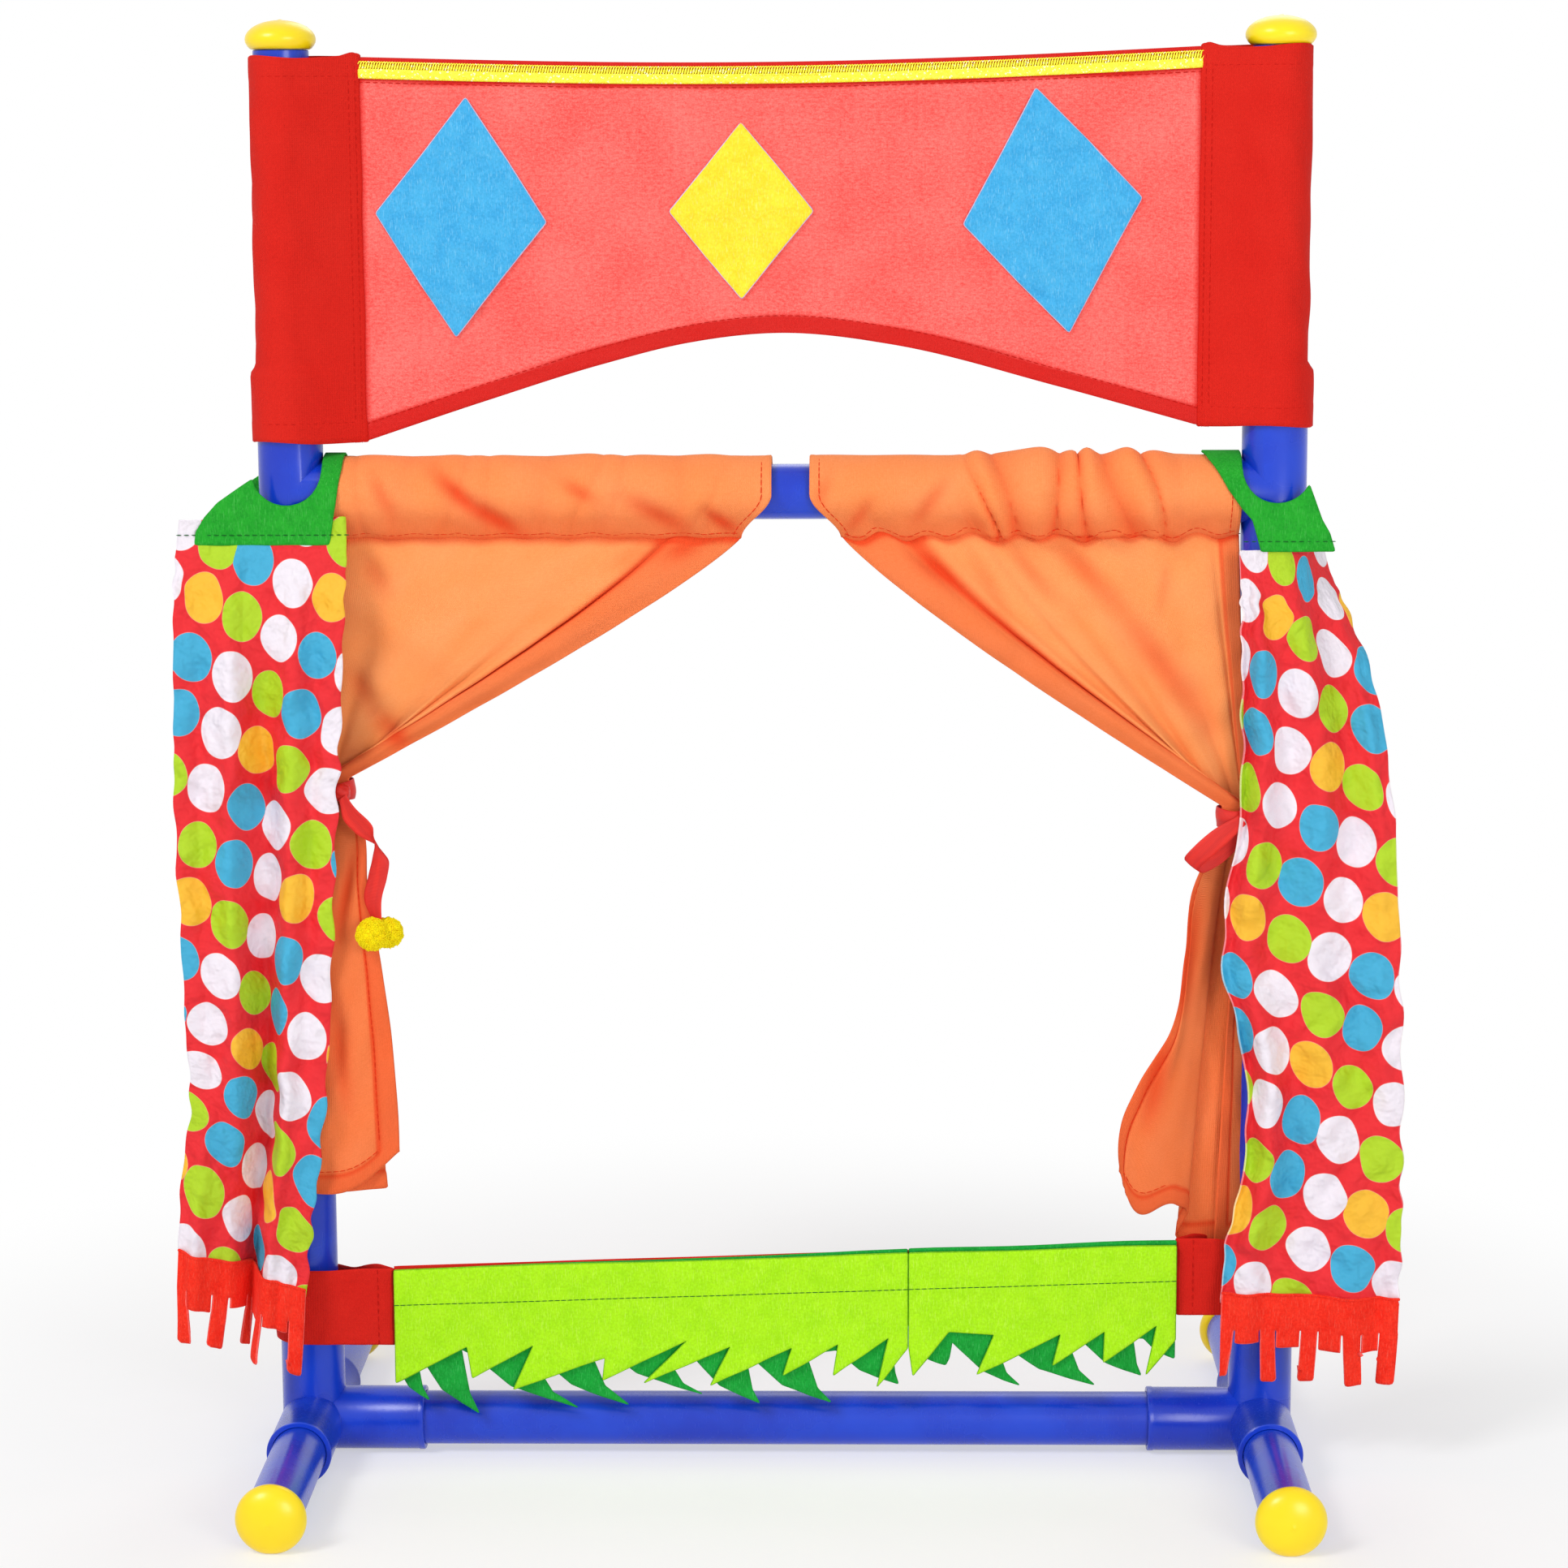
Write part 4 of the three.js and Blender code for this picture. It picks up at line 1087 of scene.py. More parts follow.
class Repeater:
    """Geometry Nodes trees that set small shapes along a line or over a surface."""

    def __init__(self) -> None:
        """Builds the trees."""
        self.stitches = self.line_tree("stitch_rows", self.capsule)
        self.loops = self.line_tree("braid_loops", self.hoop)
        self.tuft = self.tuft_tree()

    @staticmethod
    def begin(name: str, *numbers: str) -> tuple[Nodes, dict[str, Wire]]:
        """Starts a tree that is given a geometry, some numbers and a material."""
        tree = bpy.data.node_groups.new(name, "GeometryNodeTree")
        kinds = {"Geometry": "Geometry", **dict.fromkeys(numbers, "Float"), "Material": "Material"}
        for label, kind in kinds.items():
            tree.interface.new_socket(label, in_out="INPUT", socket_type=f"NodeSocket{kind}")
        tree.interface.new_socket("Geometry", in_out="OUTPUT", socket_type="NodeSocketGeometry")
        nodes = Nodes(tree)
        source = nodes.node("NodeGroupInput")
        return nodes, {label: Wire(nodes, source.outputs[label]) for label in kinds}

    @staticmethod
    def close(nodes: Nodes, given: dict[str, Wire], shapes: Wire) -> Tree:
        """Ends a tree in Realize Instances, smooth faces and Set Material."""
        real = nodes.out("GeometryNodeRealizeInstances", {0: shapes})
        smooth = nodes.out("GeometryNodeSetShadeSmooth", {0: real})
        dressed = nodes.out("GeometryNodeSetMaterial", {0: smooth, "Material": given["Material"]})
        nodes.node("NodeGroupOutput", {0: dressed})
        return nodes.tree

    @staticmethod
    def scaled(nodes: Nodes, shape: Wire, *sizes: Wire | float) -> Wire:
        """A shape with its sizes along X, Y and Z."""
        scale = nodes.out("ShaderNodeCombineXYZ", dict(enumerate(sizes)))
        return nodes.out("GeometryNodeTransform", {0: shape, "Scale": scale})

    def capsule(self, nodes: Nodes, given: dict[str, Wire]) -> Wire:
        """A stitch: a small long ball."""
        ball = nodes.out("GeometryNodeMeshUVSphere", {"Segments": 8, "Rings": 6, "Radius": 0.5})
        return self.scaled(nodes, ball, given["Length"], given["Width"], given["Width"])

    def hoop(self, nodes: Nodes, given: dict[str, Wire]) -> Wire:
        """A braid loop: a thin oval ring standing across the line."""
        oval = nodes.out("GeometryNodeCurvePrimitiveCircle", {"Resolution": 12, "Radius": 0.5})
        inputs = {"Resolution": 5, "Radius": given["Width"] * 0.5}
        thread = nodes.out("GeometryNodeCurvePrimitiveCircle", inputs)
        sized = self.scaled(nodes, oval, given["Width"] * 2.6, given["Length"], 1.0)
        turn = (math.radians(90), math.radians(18), 0)
        upright = nodes.out("GeometryNodeTransform", {0: sized, "Rotation": turn})
        return nodes.out("GeometryNodeCurveToMesh", {0: upright, 1: thread})

    def line_tree(self, name: str, shape: Callable[[Nodes, dict[str, Wire]], Wire]) -> Tree:
        """Makes a tree that sets a shape, which its function adds, at even steps along its lines."""
        nodes, given = self.begin(name, "Pitch", "Length", "Width")
        curve = nodes.out("GeometryNodeMeshToCurve", {0: given["Geometry"]})
        inputs = {"Curve": curve, "Length": given["Pitch"]}
        steps = nodes.out("GeometryNodeResampleCurve", inputs, mode="LENGTH")
        tangent = nodes.out("GeometryNodeInputTangent")
        turn = nodes.out("FunctionNodeAlignRotationToVector", {"Vector": tangent}, axis="X")
        inputs = {"Points": steps, "Instance": shape(nodes, given), "Rotation": turn}
        return self.close(nodes, given, nodes.out("GeometryNodeInstanceOnPoints", inputs))

    def tuft_tree(self) -> Tree:
        """Makes a tree that covers a ball with short, uneven strands."""
        nodes, given = self.begin("yarn_tuft", "Density", "Length", "Width")
        inputs = {0: given["Geometry"], "Density": given["Density"], "Seed": 5}
        scatter = nodes.node("GeometryNodeDistributePointsOnFaces", inputs)
        sizes = {"Vertices": 5, "Side Segments": 2, "Radius Top": 0.25, "Radius Bottom": 0.5, "Depth": 1.0}
        cone = nodes.out("GeometryNodeMeshCone", sizes)
        strand = self.scaled(nodes, cone, given["Width"], given["Width"], given["Length"])
        spread = {0: (-0.5,) * 3, 1: (0.5,) * 3, "Seed": 11}
        lean = nodes.out("FunctionNodeRandomValue", spread, data_type="FLOAT_VECTOR")
        turn = nodes.out("FunctionNodeRotateRotation", {0: scatter.outputs["Rotation"], 1: lean})
        inputs = {"Points": scatter.outputs["Points"], "Instance": strand, "Rotation": turn}
        placed = nodes.out("GeometryNodeInstanceOnPoints", inputs)
        joined = nodes.node("GeometryNodeJoinGeometry", {0: placed})
        nodes.feed(joined.inputs[0], given["Geometry"])
        return self.close(nodes, given, Wire(nodes, joined.outputs[0]))

    @staticmethod
    def run(carrier: Piece, tree: Tree, name: str, material: Material, numbers: dict[str, float]) -> Piece:
        """Runs a tree on a carrier, which is removed, and keeps the plain mesh.

        Args:
            carrier: The object that the tree reads.
            tree: The tree.
            name: The result's name.
            material: The repeated shape's material.
            numbers: The tree's numbers by name.

        Returns:
            The plain piece.
        """
        modifier = carrier.modifiers.new(tree.name, "NODES")
        modifier.node_group = tree
        named = {item.name: item.identifier for item in tree.interface.items_tree if item.in_out == "INPUT"}
        for label, value in numbers.items():
            modifier[named[label]] = float(value)
        modifier[named["Material"]] = material
        return evaluated_copy(carrier, name)

    def along(
        self,
        name: str,
        lines: Sequence[Array],
        material: Material,
        pitch: float = 3.4,
        length: float = 2.5,
        width: float = 0.45,
        tree: Tree | None = None,
    ) -> Piece:
        """Sets stitches, or another shape, along lines of points.

        Args:
            name: The piece's name.
            lines: Lines of points in millimetres.
            material: The shape's material.
            pitch: Distance from one shape to the next.
            length: The shape's length.
            width: The shape's thickness.
            tree: The tree to use, that of the stitches if left out.

        Returns:
            The piece.
        """
        mesh = bpy.data.meshes.new(name + "_lines")
        ends = np.cumsum([len(line) for line in lines])
        edges = [(i, i + 1) for i in range(ends[-1] - 1) if i + 1 not in ends]
        mesh.from_pydata((np.vstack(lines) * MM).tolist(), edges, [])
        numbers = {"Pitch": pitch * MM, "Length": length * MM, "Width": width * MM}
        return self.run(link(name + "_lines", mesh), tree or self.stitches, name, material, numbers)


@dataclass(frozen=True)
class Stand:
    """The stand's main sizes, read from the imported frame, in millimetres."""

    post: float
    rod: float
    rail: float
    post_top: float
    tube: float
    connector: float
    arm: float
    leg: float
    cap: float
    cap_height: float

    @classmethod
    def measured(cls) -> Stand:
        """Reads the sizes from the frame."""
        post_low, post_high = box_mm("right_lower_post")
        upper_high = box_mm("right_upper_post")[1]
        rod_low, rod_high = box_mm("curtain_rod")
        rail_low, rail_high = box_mm("base_rail")
        tee_low, tee_high = box_mm("right_tee_connector")
        cap_low, cap_high = box_mm("right_top_cap")
        post = (post_low[0] + post_high[0]) / 2
        return cls(
            post=post,
            rod=(rod_low[2] + rod_high[2]) / 2,
            rail=(rail_low[2] + rail_high[2]) / 2,
            post_top=upper_high[2],
            tube=(post_high[0] - post_low[0]) / 2,
            connector=(tee_high[1] - tee_low[1]) / 2,
            arm=post - tee_low[0],
            leg=box_mm("right_rear_leg")[1][1],
            cap=(cap_high[0] - cap_low[0]) / 2,
            cap_height=cap_high[2] - upper_high[2],
        )


@dataclass
class Workshop:
    """What every sub-assembly is made with."""

    stand: Stand
    cloth: Wardrobe
    repeater: Repeater
    thickness: float = 0.9
    felt: float = 1.2

    def declare(
        self,
        piece: Piece,
        flat: tuple[float, float],
        hold: Hold,
        rests_on: Sequence[str],
        with_pieces: Sequence[Piece] = (),
        area: float | None = None,
    ) -> Piece:
        """Takes a sheet of cloth and the size of its cut, and gives the piece back unchanged.

        Args:
            piece: The sheet.
            flat: Width and length of the cut in millimetres.
            hold: How it is held; not used.
            rests_on: What it hangs from or lies on; not used.
            with_pieces: Separate pieces on it; not used.
            area: The cut's area in square millimetres where it isn't a rectangle; not used.

        Returns:
            The piece.
        """
        size = (float(flat[0]) * MM, float(flat[1]) * MM)
        return piece

    def sew(
        self,
        name: str,
        lines: Sequence[Array],
        thread: Finish,
        slot: Slot,
        body: str | None = ROOT,
        **sizes: float,
    ) -> Piece:
        """Makes and seats rows of stitches; sizes are those of Repeater.along."""
        return seat(self.repeater.along(name, lines, self.cloth[thread], **sizes), slot, body)

    def cut(
        self, node: str, cut: CutPiece, felt: Finish, edge: Finish, slot: Slot, body: str = ROOT
    ) -> Piece:
        """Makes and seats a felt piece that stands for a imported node."""
        return seat(cut.build(f"{node}_felt", self.cloth[felt], self.cloth[edge]), slot, body, [node])


@dataclass
class SidedPart:
    """A sub-assembly that stands on one side of the stand."""

    shop: Workshop
    side: Side

    def named(self, rest: str) -> str:
        """The name of one of this side's nodes, bodies or pieces."""
        return f"{self.side.label}_{rest}"

    def box(self, rest: str) -> tuple[Array, Array]:
        """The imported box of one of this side's nodes."""
        return box_mm(self.named(rest))


@dataclass
class TubeFrame:
    """The push-fit frame: tubes, moulded connectors and push-in caps."""

    shop: Workshop
    wall: float = 1.8
    fit: float = 0.3
    chamfer: float = 0.4
    ring_rise: float = 0.25
    ring_width: float = 2.6
    hub: float = 17.0
    plug: float = 12.0
    cap_rim: float = 4.6
    cap_seat: float = 13.0
    cap_wall: float = 2.0
    segments: int = 64

    def build(self) -> None:
        """Makes and seats every piece of the frame."""
        s = self.shop.stand
        stop = self.hub + self.fit
        for node, z in (("base_rail", s.rail), ("curtain_rod", s.rod)):
            self.tube(node, (stop - s.post, 0, z), (s.post - stop, 0, z))
        for side in Side:
            x = side.value * s.post
            self.tube(f"{side.label}_lower_post", (x, 0, s.rail + stop), (x, 0, s.rod - stop))
            self.tube(f"{side.label}_upper_post", (x, 0, s.rod + stop), (x, 0, s.post_top))
            self.tube(f"{side.label}_front_leg", (x, -stop, s.rail), (x, -s.leg, s.rail))
            self.tube(f"{side.label}_rear_leg", (x, stop, s.rail), (x, s.leg, s.rail))
        for side in Side:
            x = side.value * s.post
            inward = (-side.value, 0, 0)
            self.connector(f"{side.label}_base_connector", (x, 0, s.rail), (0, 1, 0), [(0, 0, 1), inward])
            self.connector(f"{side.label}_tee_connector", (x, 0, s.rod), (0, 0, 1), [inward])
            self.cap(f"{side.label}_top_cap", (x, 0, s.post_top), (0, 0, 1))
            self.cap(f"{side.label}_front_foot_cap", (x, -s.leg, s.rail), (0, -1, 0))
            self.cap(f"{side.label}_rear_foot_cap", (x, s.leg, s.rail), (0, 1, 0))

    def tube(self, node: str, start: Point, end: Point) -> None:
        """Makes one open tube with eased ends."""
        run = np.array(end, float) - np.array(start, float)
        length = float(np.linalg.norm(run))
        outer, c = self.shop.stand.tube, self.chamfer
        inner = outer - self.wall
        profile = [(inner, 0), (outer - c, 0), (outer, c)]
        profile += [(outer, length - c), (outer - c, length), (inner, length)]
        material = self.shop.cloth[Finish.BLUE]
        piece = lathe(f"{node}_tube", profile, start, tuple(run / length), material, closed=True)
        seat(piece, Slot.BLUE, ROOT, [node])

    def arm(self, name: str, start: float, axis: Point, centre: Point) -> Piece:
        """Makes the outside of a connector's arm, with its raised end ring, from start to the arm's end."""
        s, c, ring = self.shop.stand, self.chamfer, self.ring_width
        body = s.connector - self.ring_rise
        profile = [(0, start)]
        if start < 0:
            profile += [(s.connector - c, start), (s.connector, start + c)]
            profile += [(s.connector, start + ring), (body, start + ring + c)]
        else:
            profile.append((body, start))
        profile += [(body, s.arm - ring - c), (s.connector, s.arm - ring)]
        profile += [(s.connector, s.arm - c), (s.connector - c, s.arm), (0, s.arm)]
        return lathe(name, profile, centre, axis, self.shop.cloth[Finish.BLUE], self.segments)

    def bore(self, name: str, straight: bool, axis: Point, centre: Point) -> Piece:
        """Makes the space that the bore and socket of one arm take, or those of a straight pair."""
        s = self.shop.stand
        inner, socket, deep = s.tube - self.wall, s.tube + self.fit, s.arm + self.plug
        profile = [(0, 0), (inner, 0)]
        if straight:
            profile = [(0, -deep), (socket, -deep), (socket, -self.hub), (inner, -self.hub)]
        profile += [(inner, self.hub), (socket, self.hub), (socket, deep), (0, deep)]
        return lathe(name, profile, centre, axis, self.shop.cloth[Finish.BLUE], self.segments)

    def connector(self, node: str, centre: Point, through: Point, branches: list[Point]) -> None:
        """Makes one moulded connector.

        Args:
            node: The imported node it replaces.
            centre: Where its arms meet.
            through: Direction of the arm pair that runs straight through.
            branches: Directions of its other arms.
        """
        body = self.arm(node + "_through", -self.shop.stand.arm, through, centre)
        tools = []
        for index, axis in enumerate(branches):
            tools.append((self.arm(f"{node}_branch_{index}", 0, axis, centre), "UNION"))
        for index, axis in enumerate([through, *branches]):
            tool = self.bore(f"{node}_bore_{index}", axis is through, axis, centre)
            tools.append((tool, "DIFFERENCE"))
        for tool, operation in tools:
            modifier = body.modifiers.new(operation, "BOOLEAN")
            modifier.operation = operation
            modifier.solver = "MANIFOLD"
            modifier.object = tool
        joined = body.modifiers.new("joined", "DECIMATE")
        joined.decimate_type = "DISSOLVE"
        joined.angle_limit = math.radians(0.5)
        piece = evaluated_copy(body, node + "_shell")
        for tool, _ in tools:
            bpy.data.objects.remove(tool)
        piece.data.shade_smooth()
        piece.data.set_sharp_from_angle(angle=math.radians(32))
        seat(piece, Slot.BLUE, replaces=[node])

    def cap(self, node: str, centre: Point, axis: Point) -> None:
        """Makes one push-in cap: a mushroom dome over a hollow plug, cut flat where it stands."""
        s, rim = self.shop.stand, self.cap_rim
        plug = s.tube - self.wall - self.fit
        hollow = plug - self.cap_wall
        profile = [(0, s.cap_height + 0.35), (0.8, s.cap_height + 0.2), (1.3, s.cap_height - 0.02)]
        for step in range(2, 19):
            angle = math.radians(90 - step * 5)
            profile.append((s.cap * math.cos(angle), rim + (s.cap_height - rim) * math.sin(angle)))
        profile += [(s.cap - 0.15, rim - 1.2), (s.cap - 0.9, rim - 2.6), (s.cap - 2.0, 0.7)]
        profile += [(self.cap_seat, self.fit), (plug, self.fit)]
        profile += [(plug, 0.8 - self.plug), (plug - 0.5, -self.plug)]
        profile += [(hollow, -self.plug), (hollow, rim), (0, s.cap_height - self.cap_wall)]
        piece = lathe(f"{node}_dome", profile, centre, axis, self.shop.cloth[Finish.YELLOW])
        for vertex in piece.data.vertices:
            vertex.co.z = max(vertex.co.z, 0.0)
        seat(piece, Slot.YELLOW, replaces=[node])


def hull_loop(circles: Sequence[Point], growth: float, count: int) -> Array:
    """A band drawn tight round circles.

    Args:
        circles: Centre, centre and radius of each circle.
        growth: How far the band stands off them.
        count: Number of points.

    Returns:
        The band's points at equal steps, starting at the angle where its first circle begins.
    """
    angles = (np.arange(720) + 0.5) / 720 * TURN
    ways = np.stack([np.cos(angles), np.sin(angles)], 1)
    sizes = np.array(circles, float)
    chosen = sizes[np.argmax(ways @ sizes[:, :2].T + sizes[:, 2], axis=1)]
    return equal_steps(chosen[:, :2] + ways * (chosen[:, 2:] + growth), count, closed=True)


def spread(across: Array, along: Array) -> Array:
    """Places on the flat cloth, from a row of places across and a column of places along it."""
    return np.stack(np.broadcast_arrays(np.atleast_2d(across), np.reshape(along, (-1, 1))), -1)


@dataclass
class Valance:
    """The red valance: its stretched panel, two post sleeves, gold trim and felt diamonds.

    Attributes:
        sag: How far the upper edge hangs down in the middle.
        arch: How high the lower edge arches.
        arch_shares: The arch's height as shares of arch, at shares of the panel's half width.
        hem: Height of the bottom hem.
        trim: Height of the gold trim.
        trim_drop: Distance from the upper edge to the trim.
        wrinkle: Depth of the long wrinkles.
        pitch: Distance between them.
        slope: Their rise for each millimetre across.
        clearance: Gap between post and sleeve.
        shoulder: Height over which a sleeve widens for the connector's arm.
    """

    shop: Workshop
    sag: float = 4.5
    arch: float = 45.0
    arch_shares: tuple = (
        (-1, 0), (-0.71, 0.38), (-0.43, 0.72), (-0.22, 0.92), (0, 1), (0.27, 0.86), (0.66, 0.42), (1, 0),
    )
    hem: float = 8.0
    trim: float = 7.0
    trim_drop: float = 1.9
    wrinkle: float = 1.1
    pitch: float = 64.0
    slope: float = 0.25
    clearance: float = 0.8
    shoulder: float = 5.0

    FOLDS = (
        (-131.3, 634.7, -109.7, 629.9, 2.0, 1.3), (-109.7, 629.9, -83.3, 617.2, 2.2, 1.5),
        (-45.1, 627.7, -33.1, 619.4, 2.0, 1.2), (-33.1, 619.4, 10.2, 621.9, 2.4, 1.6),
        (58.0, 600.0, 74.0, 566.0, 3.0, 1.0), (-172.0, 520.0, -150.0, 506.0, 3.0, 1.0),
        (150.0, 628.0, 172.0, 610.0, 2.4, 1.2), (20.0, 560.0, 52.0, 548.0, 3.0, 0.9),
    )

    def __post_init__(self) -> None:
        """Reads the valance's place from the frame."""
        self.reach = box_mm("valance_panel")[1][0]
        sleeves = {side: box_mm(f"valance_{side.label}_sleeve") for side in Side}
        self.foot = {side: sleeves[side][0][2] for side in Side}
        self.top = {side: sleeves[side][1][2] for side in Side}
        self.trim_foot = self.trim_drop + self.trim
        self.creases = smooth_noise(4, 9, (150, 17), 0.45)
        self.ripples = smooth_noise(9, 7, (45, 40), 0.3)

    def share(self, x: Array) -> Array:
        """How far across the panel a place lies, from 0 to 1."""
        return np.clip((np.asarray(x, float) / self.reach + 1) / 2, 0, 1)

    def low(self, x: Array) -> Array:
        """The arched lower edge."""
        straight = mix(self.foot[Side.LEFT], self.foot[Side.RIGHT], self.share(x))
        stops, values = zip(*self.arch_shares)
        return straight + self.arch * smooth_table(stops, values, np.asarray(x, float) / self.reach)

    def high(self, x: Array) -> Array:
        """The slightly sagging upper edge."""
        share = self.share(x)
        return mix(self.top[Side.LEFT], self.top[Side.RIGHT], share) - self.sag * np.sin(math.pi * share)

    def depth(self, x: Array, z: Array) -> Array:
        """How far back the panel lies, with its wrinkles."""
        along = (z - self.foot[Side.LEFT] + x * self.slope) / self.pitch
        fine = self.creases(x, z) * 0.4 + self.ripples(x, z) * 0.16
        wrinkles = self.wrinkle * np.sin(TURN * along) + fine + creased(x, z, self.FOLDS)
        return np.sin(math.pi * self.share(x)) ** 0.6 * wrinkles

    def line(self, x: Array, z: Array, forward: float) -> Array:
        """A line of points at heights z, this far in front of the panel's middle."""
        return np.stack([x, self.depth(x, z) - forward, z], 1)

    def strip(
        self,
        low: Callable[[Array], Array],
        high: Callable[[Array], Array],
        offset: float,
        columns: int,
        rows: int,
    ) -> Array:
        """A band of the valance between two edges.

        Args:
            low: Lower edge as a function of x.
            high: Upper edge as a function of x.
            offset: How far behind the panel it lies.
            columns: Points across.
            rows: Points up.

        Returns:
            The grid of points.
        """
        x = np.broadcast_to(np.linspace(-self.reach - 0.5, self.reach + 0.5, columns), (rows, columns))
        z = mix(low(x), high(x), np.linspace(0, 1, rows)[:, None])
        return np.stack([x, self.depth(x, z) + offset, z], -1)

    def build(self) -> None:
        """Makes and seats every piece of the valance."""
        self.panel()
        for side in Side:
            self.sleeve(side)
        self.diamond("left_diamond", Finish.SKY_FELT, Slot.SKY_FELT, -3.3, 0.10, -38)
        self.diamond("centre_diamond", Finish.YELLOW_FELT, Slot.YELLOW_FELT, 0.0, 0.0, 0)
        self.diamond("right_diamond", Finish.SKY_FELT, Slot.SKY_FELT, 8.2, 0.10, 36)

    def panel(self) -> None:
        """Makes the panel with its hem, trim and stitching."""
        shop, t = self.shop, self.shop.thickness
        grid = self.strip(self.low, self.high, 0, 250, 90)
        x, z = grid[..., 0], grid[..., 2]
        above_low, trim_foot = z - self.low(x), self.high(x) - self.trim_drop - self.trim
        double = 1 - smoothstep(above_low, self.hem - 0.5, self.hem + 0.5)
        double = np.maximum(double, smoothstep(z, trim_foot - 2.6, trim_foot - 1.6))
        double = np.maximum(double, smoothstep(np.abs(x), self.reach - 1.5, self.reach - 0.5))
        thick = t * (1 - 0.35 * (bump_at(above_low, self.hem, 0.7) + bump_at(z, trim_foot - 2.2, 0.7)))
        cloth = shop.cloth[Finish.RED_CLOTH]
        panel = Sheet(grid, grid[..., [0, 2]], thick).build("valance_cloth", cloth, layers=double)
        seat(panel, Slot.RED_CLOTH, replaces=["valance_panel"])
        grid = self.strip(self.low, lambda a: self.low(a) + self.hem, t + 0.05, 250, 8)
        layers = np.ones(grid.shape[:2])
        hem = Sheet(grid, grid[..., [0, 2]], t).build("valance_hem_fold", cloth, layers=layers)
        seat(hem, Slot.RED_CLOTH, replaces=["valance_bottom_hem"])
        a = np.linspace(-self.reach, self.reach, 160)
        rows = (self.low(a) + self.hem - 0.6, self.high(a) - self.trim_drop - self.trim - 1.9)
        lines = [self.line(a, at, t / 2) for at in rows]
        stitches = shop.sew("valance_stitches", lines, Finish.RED_THREAD, Slot.RED_CLOTH, width=0.4)
        foot = self.trim_foot
        grid = self.strip(
            lambda a: self.high(a) - foot, lambda a: self.high(a) - foot + self.trim * 0.55, -t - 0.1, 300, 8
        )
        grid[..., 1] -= 0.35 * np.sin(math.pi * np.linspace(0, 1, 8)[:, None])
        band = Sheet(grid, grid[..., [0, 2]], 0.8).build("gold_braid_band", shop.cloth[Finish.BRAID])
        seat(band, Slot.BRAID, replaces=["gold_trim"])
        a = np.linspace(-self.reach - 0.3, self.reach + 0.3, 200)
        loop_line = self.line(a, self.high(a) - self.trim_drop - self.trim * 0.25, t / 2 + 0.65)
        sizes = {"pitch": 1.2, "length": self.trim * 0.62, "width": 0.6, "tree": shop.repeater.loops}
        loops = shop.sew("gold_braid_loops", [loop_line], Finish.BRAID, Slot.BRAID, **sizes)
        width = 2 * self.reach
        height = self.top[Side.LEFT] - self.foot[Side.LEFT]
        rise = (self.high(a) - self.low(a))[1:]
        area = float(np.sum(rise * np.diff(a)))
        shop.declare(panel, (width, height), Hold.STRETCHED, ["valance_left_sleeve_cloth"], [stitches], area)
        shop.declare(hem, (width, 10), Hold.FOLDED, ["valance_cloth"], (), width * self.hem)
        shop.declare(band, (width, 10), Hold.STRETCHED, ["valance_cloth"], [loops], width * self.trim * 0.5)

    def sleeve(self, side: Side) -> None:
        """Makes the double-layered sleeve that one upper post runs through."""
        shop, stand, t = self.shop, self.shop.stand, self.shop.thickness
        foot, top, sign = self.foot[side], self.top[side], side.value
        x = sign * stand.post
        tip = (sign * (self.reach + 0.35 + t + 0.2), 0.0, 0.2)
        rows, columns = 84, 150
        heights = np.linspace(foot, top, rows)
        shoulder = stand.rod + stand.arm + 0.6
        noise = smooth_noise(20 + sign, 8, (2.2, 70), 0.35)
        points = np.zeros((rows, columns, 3))
        for row, z in enumerate(heights):
            wide = 1 - float(smoothstep(z, shoulder, shoulder + self.shoulder))
            radius = mix(stand.tube, stand.connector, wide) + self.clearance
            loop = hull_loop([(x, 0, radius), tip], t / 2, columns)
            angle = np.arctan2(loop[:, 1], loop[:, 0] - x)
            crumple = np.clip(noise(angle, np.full(columns, z)) * 0.45 + 0.25, 0, 1.2)
            loop += np.stack([np.cos(angle), np.sin(angle)], 1) * crumple[:, None]
            uneven = 0.7 * np.sin(2 * angle + z) * (1 - smoothstep(np.minimum(z - foot, top - z), 0, 6))
            crest = 1.6 * smoothstep(z, top - 9, top) * bump_at(np.abs(loop[:, 0]), self.reach + 3.6, 4.2)
            points[row] = np.column_stack([loop, z + uneven + crest])
        from_end = np.minimum(heights - foot, top - heights)
        thick = t + 0.35 * (1 - smoothstep(from_end, 8.5, 9.5)) - 0.3 * bump_at(from_end, 9.0, 0.6)
        inward = np.abs(points[..., 0]) - self.reach
        thick = thick[:, None] + 0.25 * (1 - smoothstep(inward, 4.6, 5.2)) - 0.35 * bump_at(inward, 2.2, 0.5)
        run = girths(points[0])
        name = f"valance_{side.label}_sleeve"
        sheet = Sheet(points, spread(run, heights), thick, wrapped=True)
        # The sleeve's darker red is partly painted shade.
        piece = sheet.build(f"{name}_cloth", shop.cloth[Finish.RED_DOUBLE])
        seat(piece, Slot.RED_CLOTH, replaces=[name])
        lines = []
        for at in (self.reach + 2.2, self.reach + 5.0):
            line = []
            for row in range(0, rows, 3):
                front = points[row][points[row][:, 1] < 0.1]
                front = front[np.argsort(np.abs(front[:, 0]))]
                y = np.interp(at, np.abs(front[:, 0]), front[:, 1])
                line.append((sign * at, y - t / 2 - 0.1, heights[row]))
            lines.append(np.array(line))
        for end_share in (0.052, 0.948):
            front = points[round(end_share * (rows - 1))]
            front = front[front[:, 1] < -1.5]
            lines.append(front[np.argsort(front[:, 0])] + (0, -t / 2 - 0.1, 0))
        stitches = shop.sew(f"{name}_stitches", lines, Finish.RED_THREAD, Slot.RED_CLOTH, width=0.4)
        shop.declare(piece, (run[-1], top - foot), Hold.FOLDED, [f"{side.label}_upper_post_tube"], [stitches])

